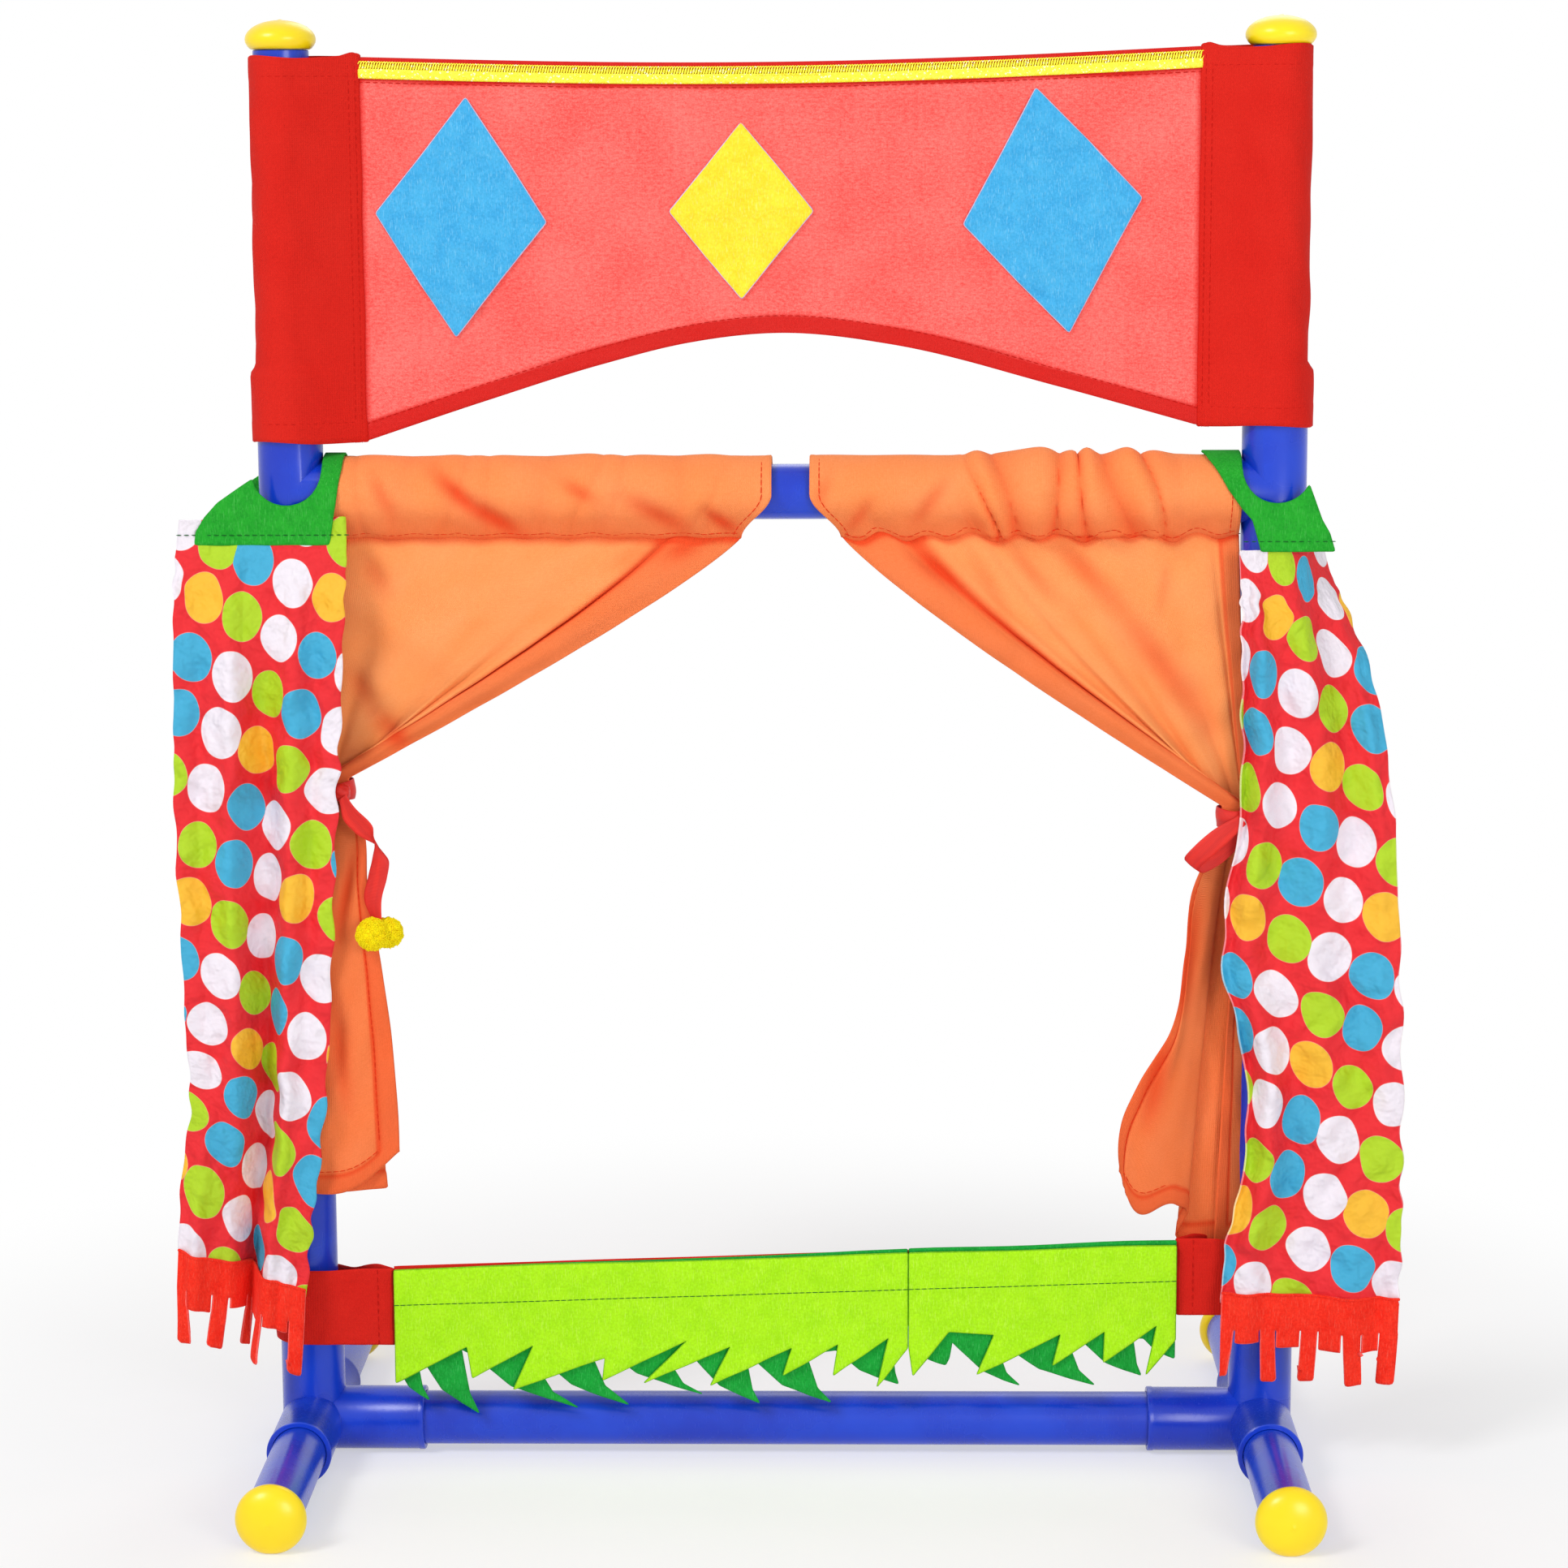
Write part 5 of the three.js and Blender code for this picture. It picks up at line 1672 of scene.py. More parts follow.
    def diamond(
        self, node: str, felt: Finish, slot: Slot, tilt_degrees: float, crease: float, rise: float
    ) -> None:
        """Makes one felt diamond.

        Args:
            node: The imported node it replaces.
            felt: Its felt.
            slot: Its slot.
            tilt_degrees: How far it is turned.
            crease: Depth of its one crease as a share of the felt.
            rise: How far above its middle the crease lies.
        """
        low, high = box_mm(node)
        centre = (low + high) / 2
        turn = math.radians(tilt_degrees)
        cos, sin = math.cos(turn), math.sin(turn)
        width, height = (high - low)[[0, 2]] / cos
        corners = np.array([(0, height / 2), (-width / 2, 0), (0, -height / 2), (width / 2, 0)])
        outline = []
        for index, corner in enumerate(corners):
            bulge = 1.012 if index % 2 else 0.992
            outline += [corner, (corner + corners[(index + 1) % 4]) * 0.5 * bulge]
        turned = [(centre[0] + a * cos - b * sin, centre[2] + a * sin + b * cos) for a, b in outline]
        thick, t = self.shop.felt, self.shop.thickness
        ease = smooth_noise(31, 5, (70, 60), 0.4)

        def place(flat: Array) -> Array:
            """Lays the diamond on the valance."""
            x, z = flat[:, 0], flat[:, 1]
            fold = crease * thick * 6 * bump_at(z - centre[2] + (x - centre[0]) * 0.4, rise, 3.0)
            return self.line(x, z, t / 2 + thick / 2 + 0.12 + fold + 0.18 * (1 + ease(x, z)))

        piece = self.shop.cut(node, CutPiece(turned, place, thick, 1.6, 1.2), felt, Finish.PALE_EDGE, slot)
        self.shop.declare(piece, (width, height), Hold.STRETCHED, ["valance_cloth"], (), width * height / 2)


@dataclass
class CurtainShape:
    """How one curtain hangs, in millimetres inward from its post unless a field says otherwise.

    Attributes:
        free_end: Where its free edge starts, measured from the middle of the stand.
        pocket_end: Where its pocket ends at the rod, measured the same way.
        bunch: Middle of the gathered bunch at the tie.
        bunch_forward: How far the bunch stands in front of the posts.
        neck: Places of the cloth's folds at the tie, as inward and forward of the bunch.
        foot_stops: Shares across the cloth at which the foot's folds are given.
        foot: Places of the folds at the foot, as inward, forward and height.
        free_spread: How far the free edge has spread at shares down the tail.
        spread: How soon the rest of the tail spreads; below one is sooner.
        puckers: Height of the gathers on the pocket.
        pucker_pitch: Distance from one gather to the next.
        gathered: Where along the rod the gathers start and end.
        dents: Dents of the pocket, as strokes, which also carry its painted shade.
        valleys: Folds of the swag as place, width, depth at the tie and depth at the seam.
        creases: Further creases of the swag and tail, as strokes, which also carry the drape's painted shade.
    """

    free_end: float
    pocket_end: float
    bunch: float
    bunch_forward: float
    neck: tuple
    foot_stops: tuple
    foot: tuple
    free_spread: tuple
    spread: float
    puckers: float
    pucker_pitch: float
    gathered: tuple
    dents: tuple
    valleys: tuple
    creases: tuple


NECK_STOPS = (0.0, 0.4, 0.46, 0.78, 0.825, 1.0)

CURTAINS = {
    Side.LEFT: CurtainShape(
        free_end=18.7,
        pocket_end=4.7,
        bunch=19,
        bunch_forward=9,
        neck=((-5.5, -3.0), (4.0, -3.0), (5.2, -1.2), (-4.6, 0.6), (-5.4, 2.0), (5.5, 3.4)),
        foot_stops=(0.0, 0.3, 0.37, 0.62, 0.69, 0.93, 1.0),
        foot=(
            (-6.0, 15.6, 134.0), (37.0, 15.8, 132.5), (38.5, 16.8, 132.0), (2.0, 18.0, 130.0),
            (-2.0, 19.2, 131.0), (30.4, 20.2, 136.5), (45.0, 20.4, 150.0),
        ),
        free_spread=((0, 0), (0.04, 0.19), (0.24, 0.41), (0.57, 0.79), (0.96, 1.0), (1.0, 1.0)),
        spread=0.72,
        puckers=1.25,
        pucker_pitch=20,
        gathered=(30, 196),
        dents=(
            (156, 463, 138, 446, 4.2, 3.0), (140, 449, 118, 435, 4.6, 2.8), (98, 459, 84, 450, 3.6, 2.0),
            (70, 452, 44, 438, 4.6, 2.2), (34, 446, 20, 436, 3.4, 2.6), (184, 462, 176, 444, 3.4, 1.6),
        ),
        valleys=(
            (0.825, 0.013, 4.6, 3.8), (0.90, 0.045, -2.8, -2.2), (0.775, 0.03, -2.4, -1.2),
            (0.70, 0.035, 3.0, 0.6), (0.66, 0.05, -2.4, 0.0), (0.52, 0.05, 2.6, 0.0),
            (0.30, 0.10, -1.6, 0.4), (0.14, 0.04, 2.4, 0.8),
        ),
        creases=(
            (36, 433, 52, 424, 5.0, 2.2), (186, 352, 172, 338, 5.0, 3.0), (190, 424, 180, 408, 4.5, 1.8),
            (60, 431, 78, 418, 4.0, 1.2), (196, 372, 188, 356, 5.0, 2.0), (196, 290, 204, 250, 3.0, 2.2),
            (206, 220, 202, 170, 4.0, 1.6),
        ),
    ),
    Side.RIGHT: CurtainShape(
        free_end=27.3,
        pocket_end=13.3,
        bunch=17,
        bunch_forward=11,
        neck=((-5.5, -3.0), (4.0, -3.0), (5.2, -1.2), (-4.6, 0.6), (-5.4, 2.0), (5.5, 3.4)),
        foot_stops=(0.0, 0.12, 0.25, 0.42, 0.5, 0.6, 0.93, 1.0),
        foot=(
            (22.5, 6.4, 103.0), (10.0, 5.0, 103.0), (14.0, 2.2, 103.5), (40.0, 2.8, 104.5),
            (35.5, 5.4, 117.0), (41.0, 8.5, 122.0), (64.0, 10.6, 125.0), (68.0, 10.8, 138.0),
        ),
        free_spread=(
            (0, 0), (0.17, 0.27), (0.37, 0.343), (0.6, 0.498), (0.735, 0.783), (0.85, 0.962), (0.96, 1.0),
            (1.0, 0.985),
        ),
        spread=0.72,
        puckers=5.2,
        pucker_pitch=15.5,
        gathered=(90, 170),
        dents=((40, 450, 30, 436, 3.0, 1.6), (74, 458, 60, 440, 3.4, 1.6), (22, 462, 16, 446, 3.0, 1.2)),
        valleys=(
            (0.825, 0.013, 4.6, 3.6), (0.90, 0.045, -2.8, -2.2), (0.775, 0.03, -2.2, -1.2),
            (0.69, 0.04, 3.4, 0.8), (0.62, 0.05, -2.8, -0.5), (0.47, 0.04, 4.8, 1.6),
            (0.33, 0.05, -2.2, 0.0), (0.2, 0.035, 3.0, 1.0), (0.06, 0.012, 1.6, 1.6),
        ),
        creases=(
            (124, 432, 152, 402, 5.4, 2.6), (152, 402, 194, 346, 6.6, 3.0), (60, 424, 80, 410, 4.5, 1.6),
            (102, 430, 124, 404, 3.6, 2.0), (176, 420, 172, 398, 3.0, 1.2), (84, 428, 104, 396, 3.4, 1.4),
            (190, 268, 184, 214, 4.0, 2.2), (176, 196, 168, 160, 5.0, 2.0),
        ),
    ),
}


@dataclass
class Curtain(SidedPart):
    """One tied-back curtain: its rod pocket, its swag and its tail."""

    end_gap: float = 1.2
    slant: float = 14.0
    seam_forward: float = 3.0
    hem: float = 8.0
    stretch: float = 72.0

    def __post_init__(self) -> None:
        """Reads the curtain's place from the frame."""
        self.shape = CURTAINS[self.side]
        self.seam = self.box("curtain_pocket")[0][2]
        tie_low, tie_high = self.box("tie_ribbon")
        self.tie = (tie_low[2] + tie_high[2]) / 2
        self.neck_reach = (tie_high[2] - tie_low[2]) / 2 + 1.0
        self.outer = self.shop.stand.post - self.shop.stand.connector - self.end_gap
        self.header = self.named("curtain_header")
        self.noise = smooth_noise(40 + self.side.value, 9, (90, 70), 0.3)

    def build(self) -> None:
        """Makes and seats the curtain."""
        self.pocket()
        self.drape()

    def pocket(self) -> None:
        """Makes the pocket that slides on the rod, with its seam and end stitching."""
        shop, shape, t = self.shop, self.shape, self.shop.thickness
        rod = shop.stand.rod
        rows, columns = 150, 96
        share = np.linspace(0, 1, rows)
        x = mix(self.outer, shape.pocket_end, share)
        points = np.zeros((rows, columns, 3))
        seam_x = x + self.slant * share**3
        for row in range(rows):
            seam_z = self.seam + t + 0.2 + float(self.wave(seam_x[row]))
            circles = [(0.0, rod, shop.stand.connector + 0.5), (-self.seam_forward, seam_z, 0.2)]
            loop = hull_loop(circles, t / 2, columns)
            height = loop[:, 1]
            angle = np.arctan2(height - rod, loop[:, 0])
            place = np.full(columns, x[row])
            dent = self.noise(place * 0.9 + 22 * angle, height * 1.1)
            front = smoothstep(-loop[:, 0], -6, 8)
            free = smoothstep(height, self.seam + 0.8, self.seam + 5.0)
            window, crest = self.gathers(place, height)
            lift = shape.puckers * window * crest * (0.25 + 0.75 * front) * free
            lift += np.clip(dent * 0.5, -0.1, 0.7) * free - creased(place, height, shape.dents) * front * free
            loop = loop + np.stack([np.cos(angle), np.sin(angle)], 1) * np.clip(lift, -2.6, 5.8)[:, None]
            along = x[row] + self.slant * smoothstep(rod - height, 0, rod - self.seam) * share[row] ** 3
            points[row] = np.column_stack([self.side.value * along, loop])
        from_end = np.minimum(share, 1 - share) * (self.outer - shape.pocket_end)
        thick = t + 0.3 * (1 - smoothstep(from_end, 1.6, 2.2)) - 0.3 * bump_at(from_end, 2.0, 0.5)
        girth = girths(points[0])
        at_x, at_z = np.abs(points[..., 0]), points[..., 2]
        layers = 1 - smoothstep(at_z, self.seam + 1.2, self.seam + 3.0)
        # Painted shade: the tone deepens from the rod down towards the seam.
        layers = np.maximum(layers, 0.66 - 0.4 * smoothstep(at_z, self.seam, rod))
        window, crest = self.gathers(at_x, at_z)
        # Painted shade in the dents and in the valleys between the gathers.
        layers += creased(at_x, at_z, shape.dents) * 0.34 + window * (1 - crest) ** 2 * shape.puckers * 0.11
        sheet = Sheet(points, spread(girth, x)[..., ::-1], thick[:, None], wrapped=True)
        piece = sheet.build(self.named("pocket_cloth"), shop.cloth[Finish.ORANGE], layers=layers * 0.7)
        seat(piece, Slot.ORANGE, self.header, [self.named("curtain_pocket")])
        seam_line = []
        for row in range(2, rows - 2, 2):
            rise = self.seam + 2.6 + float(self.wave(seam_x[row]))
            near = np.argmin(np.abs(points[row][:, 2] - rise) + 100 * (points[row][:, 1] > -3))
            seam_line.append(points[row][near] + (0, -t / 2 - 0.15, 0))
        lines = [np.array(seam_line)]
        for row in (3, rows - 4):
            front = points[row][points[row][:, 1] < -2]
            lines.append(front[np.argsort(front[:, 2])] + (0, -t / 2 - 0.12, 0))
        sewn = (self.named("pocket_stitches"), lines, Finish.ORANGE_THREAD, Slot.ORANGE, self.header)
        stitches = shop.sew(*sewn, length=3.3, width=0.5)
        size = (self.outer - shape.pocket_end, girth[-1])
        shop.declare(piece, size, Hold.GATHERED, ["curtain_rod_tube"], [stitches])

    def gathers(self, x: Array, z: Array) -> tuple[Array, Array]:
        """Where the pocket is gathered, and the gathers' round crests between slanting valleys."""
        first, last = self.shape.gathered
        window = smoothstep(x, first - 14, first + 4) * (1 - smoothstep(x, last - 4, last + 14))
        lean = 0.2 + 0.3 * np.sin(x * 0.09)
        phase = (x - first + lean * (z - self.shop.stand.rod)) / self.shape.pucker_pitch
        crest = np.abs(np.sin(math.pi * (phase + 0.24 * np.sin(phase * 2.3)))) ** 0.7
        return window, crest * (0.8 + 0.2 * np.sin(phase * 4.1 + 1))

    def wave(self, x: Array | float) -> Array:
        """How far the pocket's seam rises or falls along the rod."""
        return 0.32 * self.shape.puckers * (np.sin(x * 0.31) + 0.5 * np.sin(x * 0.17))

    def swag(self, u: Array, v: Array) -> Array:
        """The cloth between the seam and the tie.

        Args:
            u: Across the cloth, from the post to the free edge.
            v: Down the swag, from 0 to 1.

        Returns:
            The points.
        """
        shape = self.shape
        top_x = mix(self.outer, shape.free_end, u)
        fold = smooth_table(NECK_STOPS, shape.neck, u)
        x = mix(top_x, self.shop.stand.post - shape.bunch - fold[..., 0], v**1.15)
        slack = np.sin(math.pi * v) * 5.0 * (1 - u) * u * 4
        seam = self.seam + 0.8 + self.wave(top_x) * (1 - v)
        z = mix(seam, self.tie + self.neck_reach, v) - slack * 0.35 * (1 - v)
        y = -mix(self.seam_forward, shape.bunch_forward, v) - fold[..., 1] * v**3
        valley = np.zeros_like(x)
        for centre, width, deep, at_seam in shape.valleys:
            widened = width * (1 + 0.9 * (1 - v) * (width > 0.02))
            valley += mix(at_seam, deep, v**0.8) * bump_at(u, centre, widened)
        settle = np.sin(math.pi * np.clip(v * 0.93 + 0.04, 0, 1)) ** 0.7
        y = y + valley * settle - slack * 0.55 + self.noise(x, z * 1.2) * 1.3 * settle
        y = y + creased(x, z, shape.creases) * smoothstep(v, 0.02, 0.12)
        return np.stack([x, y, z], -1)

    def tail(self, u: Array, v: Array) -> Array:
        """The cloth below the tie.

        Args:
            u: Across the cloth, from the post to the free edge.
            v: Down the tail, from 0 to 1.

        Returns:
            The points.
        """
        shape = self.shape
        neck = smooth_table((0, 0.5, 1), ((-5.5, -3.0), (0.5, -0.4), (5.5, 3.4)), u)
        foot = smooth_table(shape.foot_stops, shape.foot, u)
        stops, shares = zip(*shape.free_spread)
        free = smooth_table(stops, shares, v)
        opened = mix(np.clip(v, 0, 1) ** shape.spread, free, smoothstep(u, 0.66, 0.97))
        inward = mix(shape.bunch + neck[..., 0], foot[..., 0], opened)
        forward = mix(shape.bunch_forward + neck[..., 1], foot[..., 1], smoothstep(v, 0, 0.3))
        z = mix(self.tie - self.neck_reach, foot[..., 2], v)
        x = self.shop.stand.post - inward
        ripple = self.noise(inward * 2.2, z * 0.8) * 1.1 * smoothstep(v, 0.05, 0.4)
        ripple += creased(x, z, shape.creases) * smoothstep(u, 0.5, 0.75)
        ripple += 0.7 * bump_at(u, 0.955, 0.012) * smoothstep(v, 0.1, 0.3)
        return np.stack([x, -forward + ripple, z], -1)

    def drape(self) -> None:
        """Makes the curtain below its pocket, as one sheet through its tie."""
        shop, t = self.shop, self.shop.thickness
        columns, swag_rows, tail_rows = 190, 78, 92
        u = np.linspace(0, 1, columns)[None, :]
        swag, tail = (np.linspace(0, 1, count)[:, None] for count in (swag_rows, tail_rows))
        grid = np.vstack([self.swag(*np.broadcast_arrays(u, swag)), self.tail(*np.broadcast_arrays(u, tail))])
        grid[..., 0] *= self.side.value
        run = run_along(grid[:, columns // 2])[:, None]
        length = float(run[-1, 0])
        width = self.outer - self.shape.free_end
        tie_run = run[swag_rows - 1, 0]
        cut = mix(self.hem * 4.1, self.hem, smoothstep(run, tie_run * 0.9, tie_run * 1.12))
        from_edge = np.minimum(u * width, (1 - u) * width * self.hem / cut)
        from_hem = np.minimum(from_edge, length - run)
        hem = 1 - smoothstep(from_hem, self.hem - 0.8, self.hem + 0.4)
        thick = t + 0.35 * hem - 0.35 * bump_at(from_hem, self.hem, 0.7)
        allowance = 1 - smoothstep(run, 2.6, 3.8)
        seam_line = 0.75 * bump_at(from_hem, self.hem + 0.3, 0.9)
        # Painted shade: below the tie and along the creases the cloth takes the deeper tone; the hem and top
        # allowance are doubled cloth.
        below = smoothstep(self.tie - grid[..., 2], -26, 6) * 0.5
        folds = creased(np.abs(grid[..., 0]), grid[..., 2], self.shape.creases) * 0.2
        layers = np.clip(hem * 0.5 * (1 - below) + allowance * 0.6 + seam_line + below + folds, 0, 1)
        sheet = Sheet(grid, spread(u * width, run), thick)
        piece = sheet.build(self.named("drape_cloth"), shop.cloth[Finish.ORANGE], layers=layers)
        seat(piece, Slot.ORANGE, None, [self.named("curtain_drape")])
        hem_column = columns - 1 - round(self.hem / width * (columns - 1))
        normal = sheet.directions()[2]
        raised = grid + np.where(normal[..., 1:2] < 0, normal, -normal) * t * 0.62
        side_line = raised[swag_rows + 14 : len(grid) - 8 : 3, hem_column]
        lines = [side_line, raised[len(grid) - 6, columns - 56 : columns - 10 : 3]]
        sewn = (self.named("drape_stitches"), lines, Finish.ORANGE_THREAD, Slot.ORANGE, None)
        stitches = shop.sew(*sewn, length=3.1, width=0.42)
        start, end = (0, 0, self.seam * MM), (0, 0, (self.seam - self.stretch) * MM)
        for part in (piece, stitches):
            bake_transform(part)
            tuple(start)
            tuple(end)
        held = [self.named("pocket_cloth"), self.named("tie_band")]
        shop.declare(piece, (width, length), Hold.GATHERED, held, [stitches], width * length * 0.5)


@dataclass
class TieBack(SidedPart):
    """A satin ribbon round post and curtain, with its knot, loose end and two pompoms."""

    pompom: float = 7.1
    ribbon: float = 10.0

    ENDS = {
        Side.LEFT: ((1.4, 4.5, 10, 15, 18.0, 16.4, 14, 16.4), (1.5, 9, 15, 21, 29, 38.5, 49, 60.8)),
        Side.RIGHT: ((0.5, 5, 10, 14, 16, 18), (1, 9, 19, 30, 43, 56)),
    }
    BOW = (
        (209.0, -20.0, 305.0), (203.0, -21.4, 300.5), (196.5, -22.0, 295.5), (190.0, -21.8, 289.5),
        (186.4, -20.2, 285.0), (188.4, -18.4, 283.2), (195.0, -17.4, 286.5), (202.0, -17.2, 291.0),
        (209.5, -17.2, 297.0),
    )

    def __post_init__(self) -> None:
        """Reads the tie's place from the frame."""
        self.low, self.high = self.box("tie_ribbon")
        self.tail_low, self.tail_high = self.box("tie_tail")
        self.middle = (self.low[2] + self.high[2]) / 2
        self.way = self.side.value
        self.knot_inward = 22.0 if self.side is Side.LEFT else 2.0

    def build(self) -> None:
        """Makes and seats the tie."""
        self.band()
        self.knot()
        self.tail()
        if self.side is Side.RIGHT:
            self.bow()
        for number in (1, 2):
            self.ball(number)

    def strip(
        self, name: str, route: Array, widths: Array, lean: Array, body: str, replaces: Sequence[str] = ()
    ) -> None:
        """Makes a length of ribbon.

        Args:
            name: The piece's name.
            route: Points along its middle.
            widths: Its width at each point.
            lean: Its cross direction at each point, of any length.
            body: The body it rides on.
            replaces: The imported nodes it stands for.
        """
        across = np.linspace(-0.5, 0.5, 9)[None, :, None]
        lean = unit(lean)
        normal = unit(np.cross(lean, np.gradient(route, axis=0)))
        grid = route[:, None] + lean[:, None] * across * widths[:, None, None]
        grid = grid + normal[:, None] * (0.25 - across**2) * 1.4
        run = run_along(route)
        sheet = Sheet(grid, spread(across[..., 0] * 9.0, run), 0.5)
        piece = seat(sheet.build(name, self.shop.cloth[Finish.RIBBON]), Slot.RIBBON, body, replaces)
        size = (self.ribbon, run[-1])
        area = run[-1] * max(np.mean(widths), 0.31 * self.ribbon)
        self.shop.declare(piece, size, Hold.HUNG, [self.named("tie_band")], (), area)

    def band(self) -> None:
        """Makes the band round the post and the bunch."""
        stand, shape, sign = self.shop.stand, CURTAINS[self.side], self.side.value
        columns, rows = 160, 12
        height = self.high[2] - self.low[2]
        bunch = (sign * (stand.post - shape.bunch), -shape.bunch_forward, 7.0)
        loop = hull_loop([(sign * stand.post, 0.0, stand.tube + 0.6), bunch], 0.3, columns)
        away = unit(loop - loop.mean(0))
        angle = np.arange(columns) / columns * TURN
        tuck = 1 - 0.25 * bump_at(angle, angle[np.argmin(loop[:, 1])], 0.35)
        points = np.zeros((rows, columns, 3))
        for row, share in enumerate(np.linspace(0, 1, rows)):
            swell = 0.5 * math.sin(math.pi * share) + 0.25 * np.sin(3 * angle + 5 * share) + 0.3
            level = self.middle + (share - 0.5) * height * tuck
            points[row] = np.column_stack([loop + away * swell[:, None], level])
        run = girths(points[0])
        sheet = Sheet(points, spread(run, np.linspace(0, height, rows))[..., ::-1], 0.6, wrapped=True)
        piece = sheet.build(self.named("tie_band"), self.shop.cloth[Finish.RIBBON])
        seat(piece, Slot.RIBBON, replaces=[self.named("tie_ribbon")])
        post = [self.named("lower_post_tube")]
        self.shop.declare(piece, (run[-1], self.ribbon), Hold.FOLDED, post, (), run[-1] * height)

    def knot(self) -> None:
        """Makes the knot as two ribbon turns wrapped round each other."""
        front = self.side is Side.LEFT
        y = self.tail_low[1] + 5.4 if front else self.tail_high[1] - 5.4
        centre = np.array([self.side.value * (self.shop.stand.post - self.knot_inward), y, self.middle])
        phi, theta, ways, faces = ball_grid(34, 48, 0.02)
        ridge = 0.55 * np.abs(np.sin(1.5 * theta + 2.4 * np.cos(phi))) + 0.25 * np.sin(4 * theta + 3 * phi)
        radius = 3.7 + ridge * np.sin(phi)
        points = (centre + ways * radius[..., None] * (1.12, 0.9, 1.1)).reshape(-1, 3)
        uv = points[np.concatenate(faces)][:, [0, 2]]
        material = self.shop.cloth[Finish.RIBBON]
        piece = make_object(self.named("tie_knot"), points, faces, [material], corner_uv=uv)
        seat(piece, Slot.RIBBON)

    def tail(self) -> None:
        """Makes the loose end that hangs from the knot to the pompoms."""
        way = self.way
        inward, drop = self.ENDS[self.side]
        stops = np.linspace(0, 1, len(inward))
        at = np.linspace(0, 1, 70)
        x = self.side.value * (self.shop.stand.post - self.knot_inward - smooth_table(stops, inward, at))
        z = self.middle - smooth_table(stops, drop, at)
        y = (self.tail_low[1] + self.tail_high[1]) / 2 + way * 0.6 * np.sin(math.pi * at * 2)
        waist = 1 - 0.68 * bump_at(at, 0.47, 0.10)
        waist = waist - 0.5 * bump_at(at, 0.0, 0.12) - 0.55 * bump_at(at, 1.0, 0.1)
        twist = math.radians(30) + math.pi * smoothstep(at, 0.3, 0.64)
        lean = np.stack([np.cos(twist) * 0.94, way * np.sin(twist) * 0.5, np.sin(twist) * 0.55 + 0.3], 1)
        route, body = np.stack([x, y, z], 1), self.named("tassel")
        self.strip(self.named("tie_end"), route, 9.0 * waist, lean, body, [self.named("tie_tail")])

    def bow(self) -> None:
        """Makes the ribbon loop that stands in front of the right bunch."""
        at = np.linspace(0, 1, 60)
        route = smooth_table(np.linspace(0, 1, len(self.BOW)), self.BOW, at)
        widths = 9.2 * (1 - 0.4 * bump_at(at, 0, 0.15) - 0.4 * bump_at(at, 1, 0.15))
        lean = np.array((-0.6, -0.15, 0.78)) + 0.15 * np.sin(at * 9)[:, None]
        self.strip("right_bow_loop", route, widths, lean, ROOT)

    def ball(self, number: int) -> None:
        """Makes one pompom: a lumpy ball covered with cut yarn."""
        node = self.named(f"pompom_{number}")
        centre, other = (np.mean(self.box(f"pompom_{n}"), axis=0) for n in (number, 3 - number))
        centre += 0.16 * (other - centre)
        radius = self.pompom * (1.0 if number == 1 else 0.92)
        phi, theta, ways, faces = ball_grid(26, 40, 0.03)
        lumps = smooth_noise(60 + number + self.side.value, 8, (3.1, 3.1), 0.4)
        lump = 1 + 0.09 * lumps(np.cos(theta) * np.sin(phi) * 3, np.cos(phi) * 3 + np.sin(theta) * 2)
        points = (centre + ways * (radius * lump)[..., None]).reshape(-1, 3)
        wool = self.shop.cloth[Finish.POMPOM]
        core = make_object(node + "_core", points, faces, [wool])
        numbers = {"Density": 1.8e6, "Length": 0.7 * MM, "Width": 0.75 * MM}
        piece = self.shop.repeater.run(core, self.shop.repeater.tuft, f"{node}_wool", wool, numbers)
        seat(piece, Slot.POMPOM, self.named("tassel"), [node])


@dataclass(frozen=True)
class YokeShape:
    """A yoke's cut, as places inward of the post and above the rod's middle.

    Attributes:
        strap: Where the strap over the rod starts and ends.
        inner: The edge nearer the stage.
        outer: The lower and the outer edge, up to the post's notch.
        notch_end: Angle at which the notch starts, in degrees.
        seam: Where its seam starts and ends, outward.
        seam_points: Number of points of the seam.
        sewn: Where its stitches go through the felt.
    """

    strap: tuple[float, float]
    inner: tuple
    outer: tuple
    notch_end: float
    seam: tuple[float, float]
    seam_points: int
    sewn: tuple[float, float]


YOKES = {
    Side.LEFT: YokeShape(
        (15.9, 25.0),
        ((24.6, 12), (23.2, 4), (22.5, -1), (20.6, -12), (19, -22)),
        ((-42, -22), (-41, -16), (-37, -9.5), (-31, -3)),
        -166, (-272.0, -196.0), 40, (-262, -203),
    ),
    Side.RIGHT: YokeShape(
        (15.9, 33.0),
        ((30.5, 15), (22, 2), (15.5, -7), (11, -12), (7, -26)),
        ((-26, -26), (-23.5, -18), (-20, -12)),
        -152, (209.0, 248.0), 24, (0, 300),
    ),
}


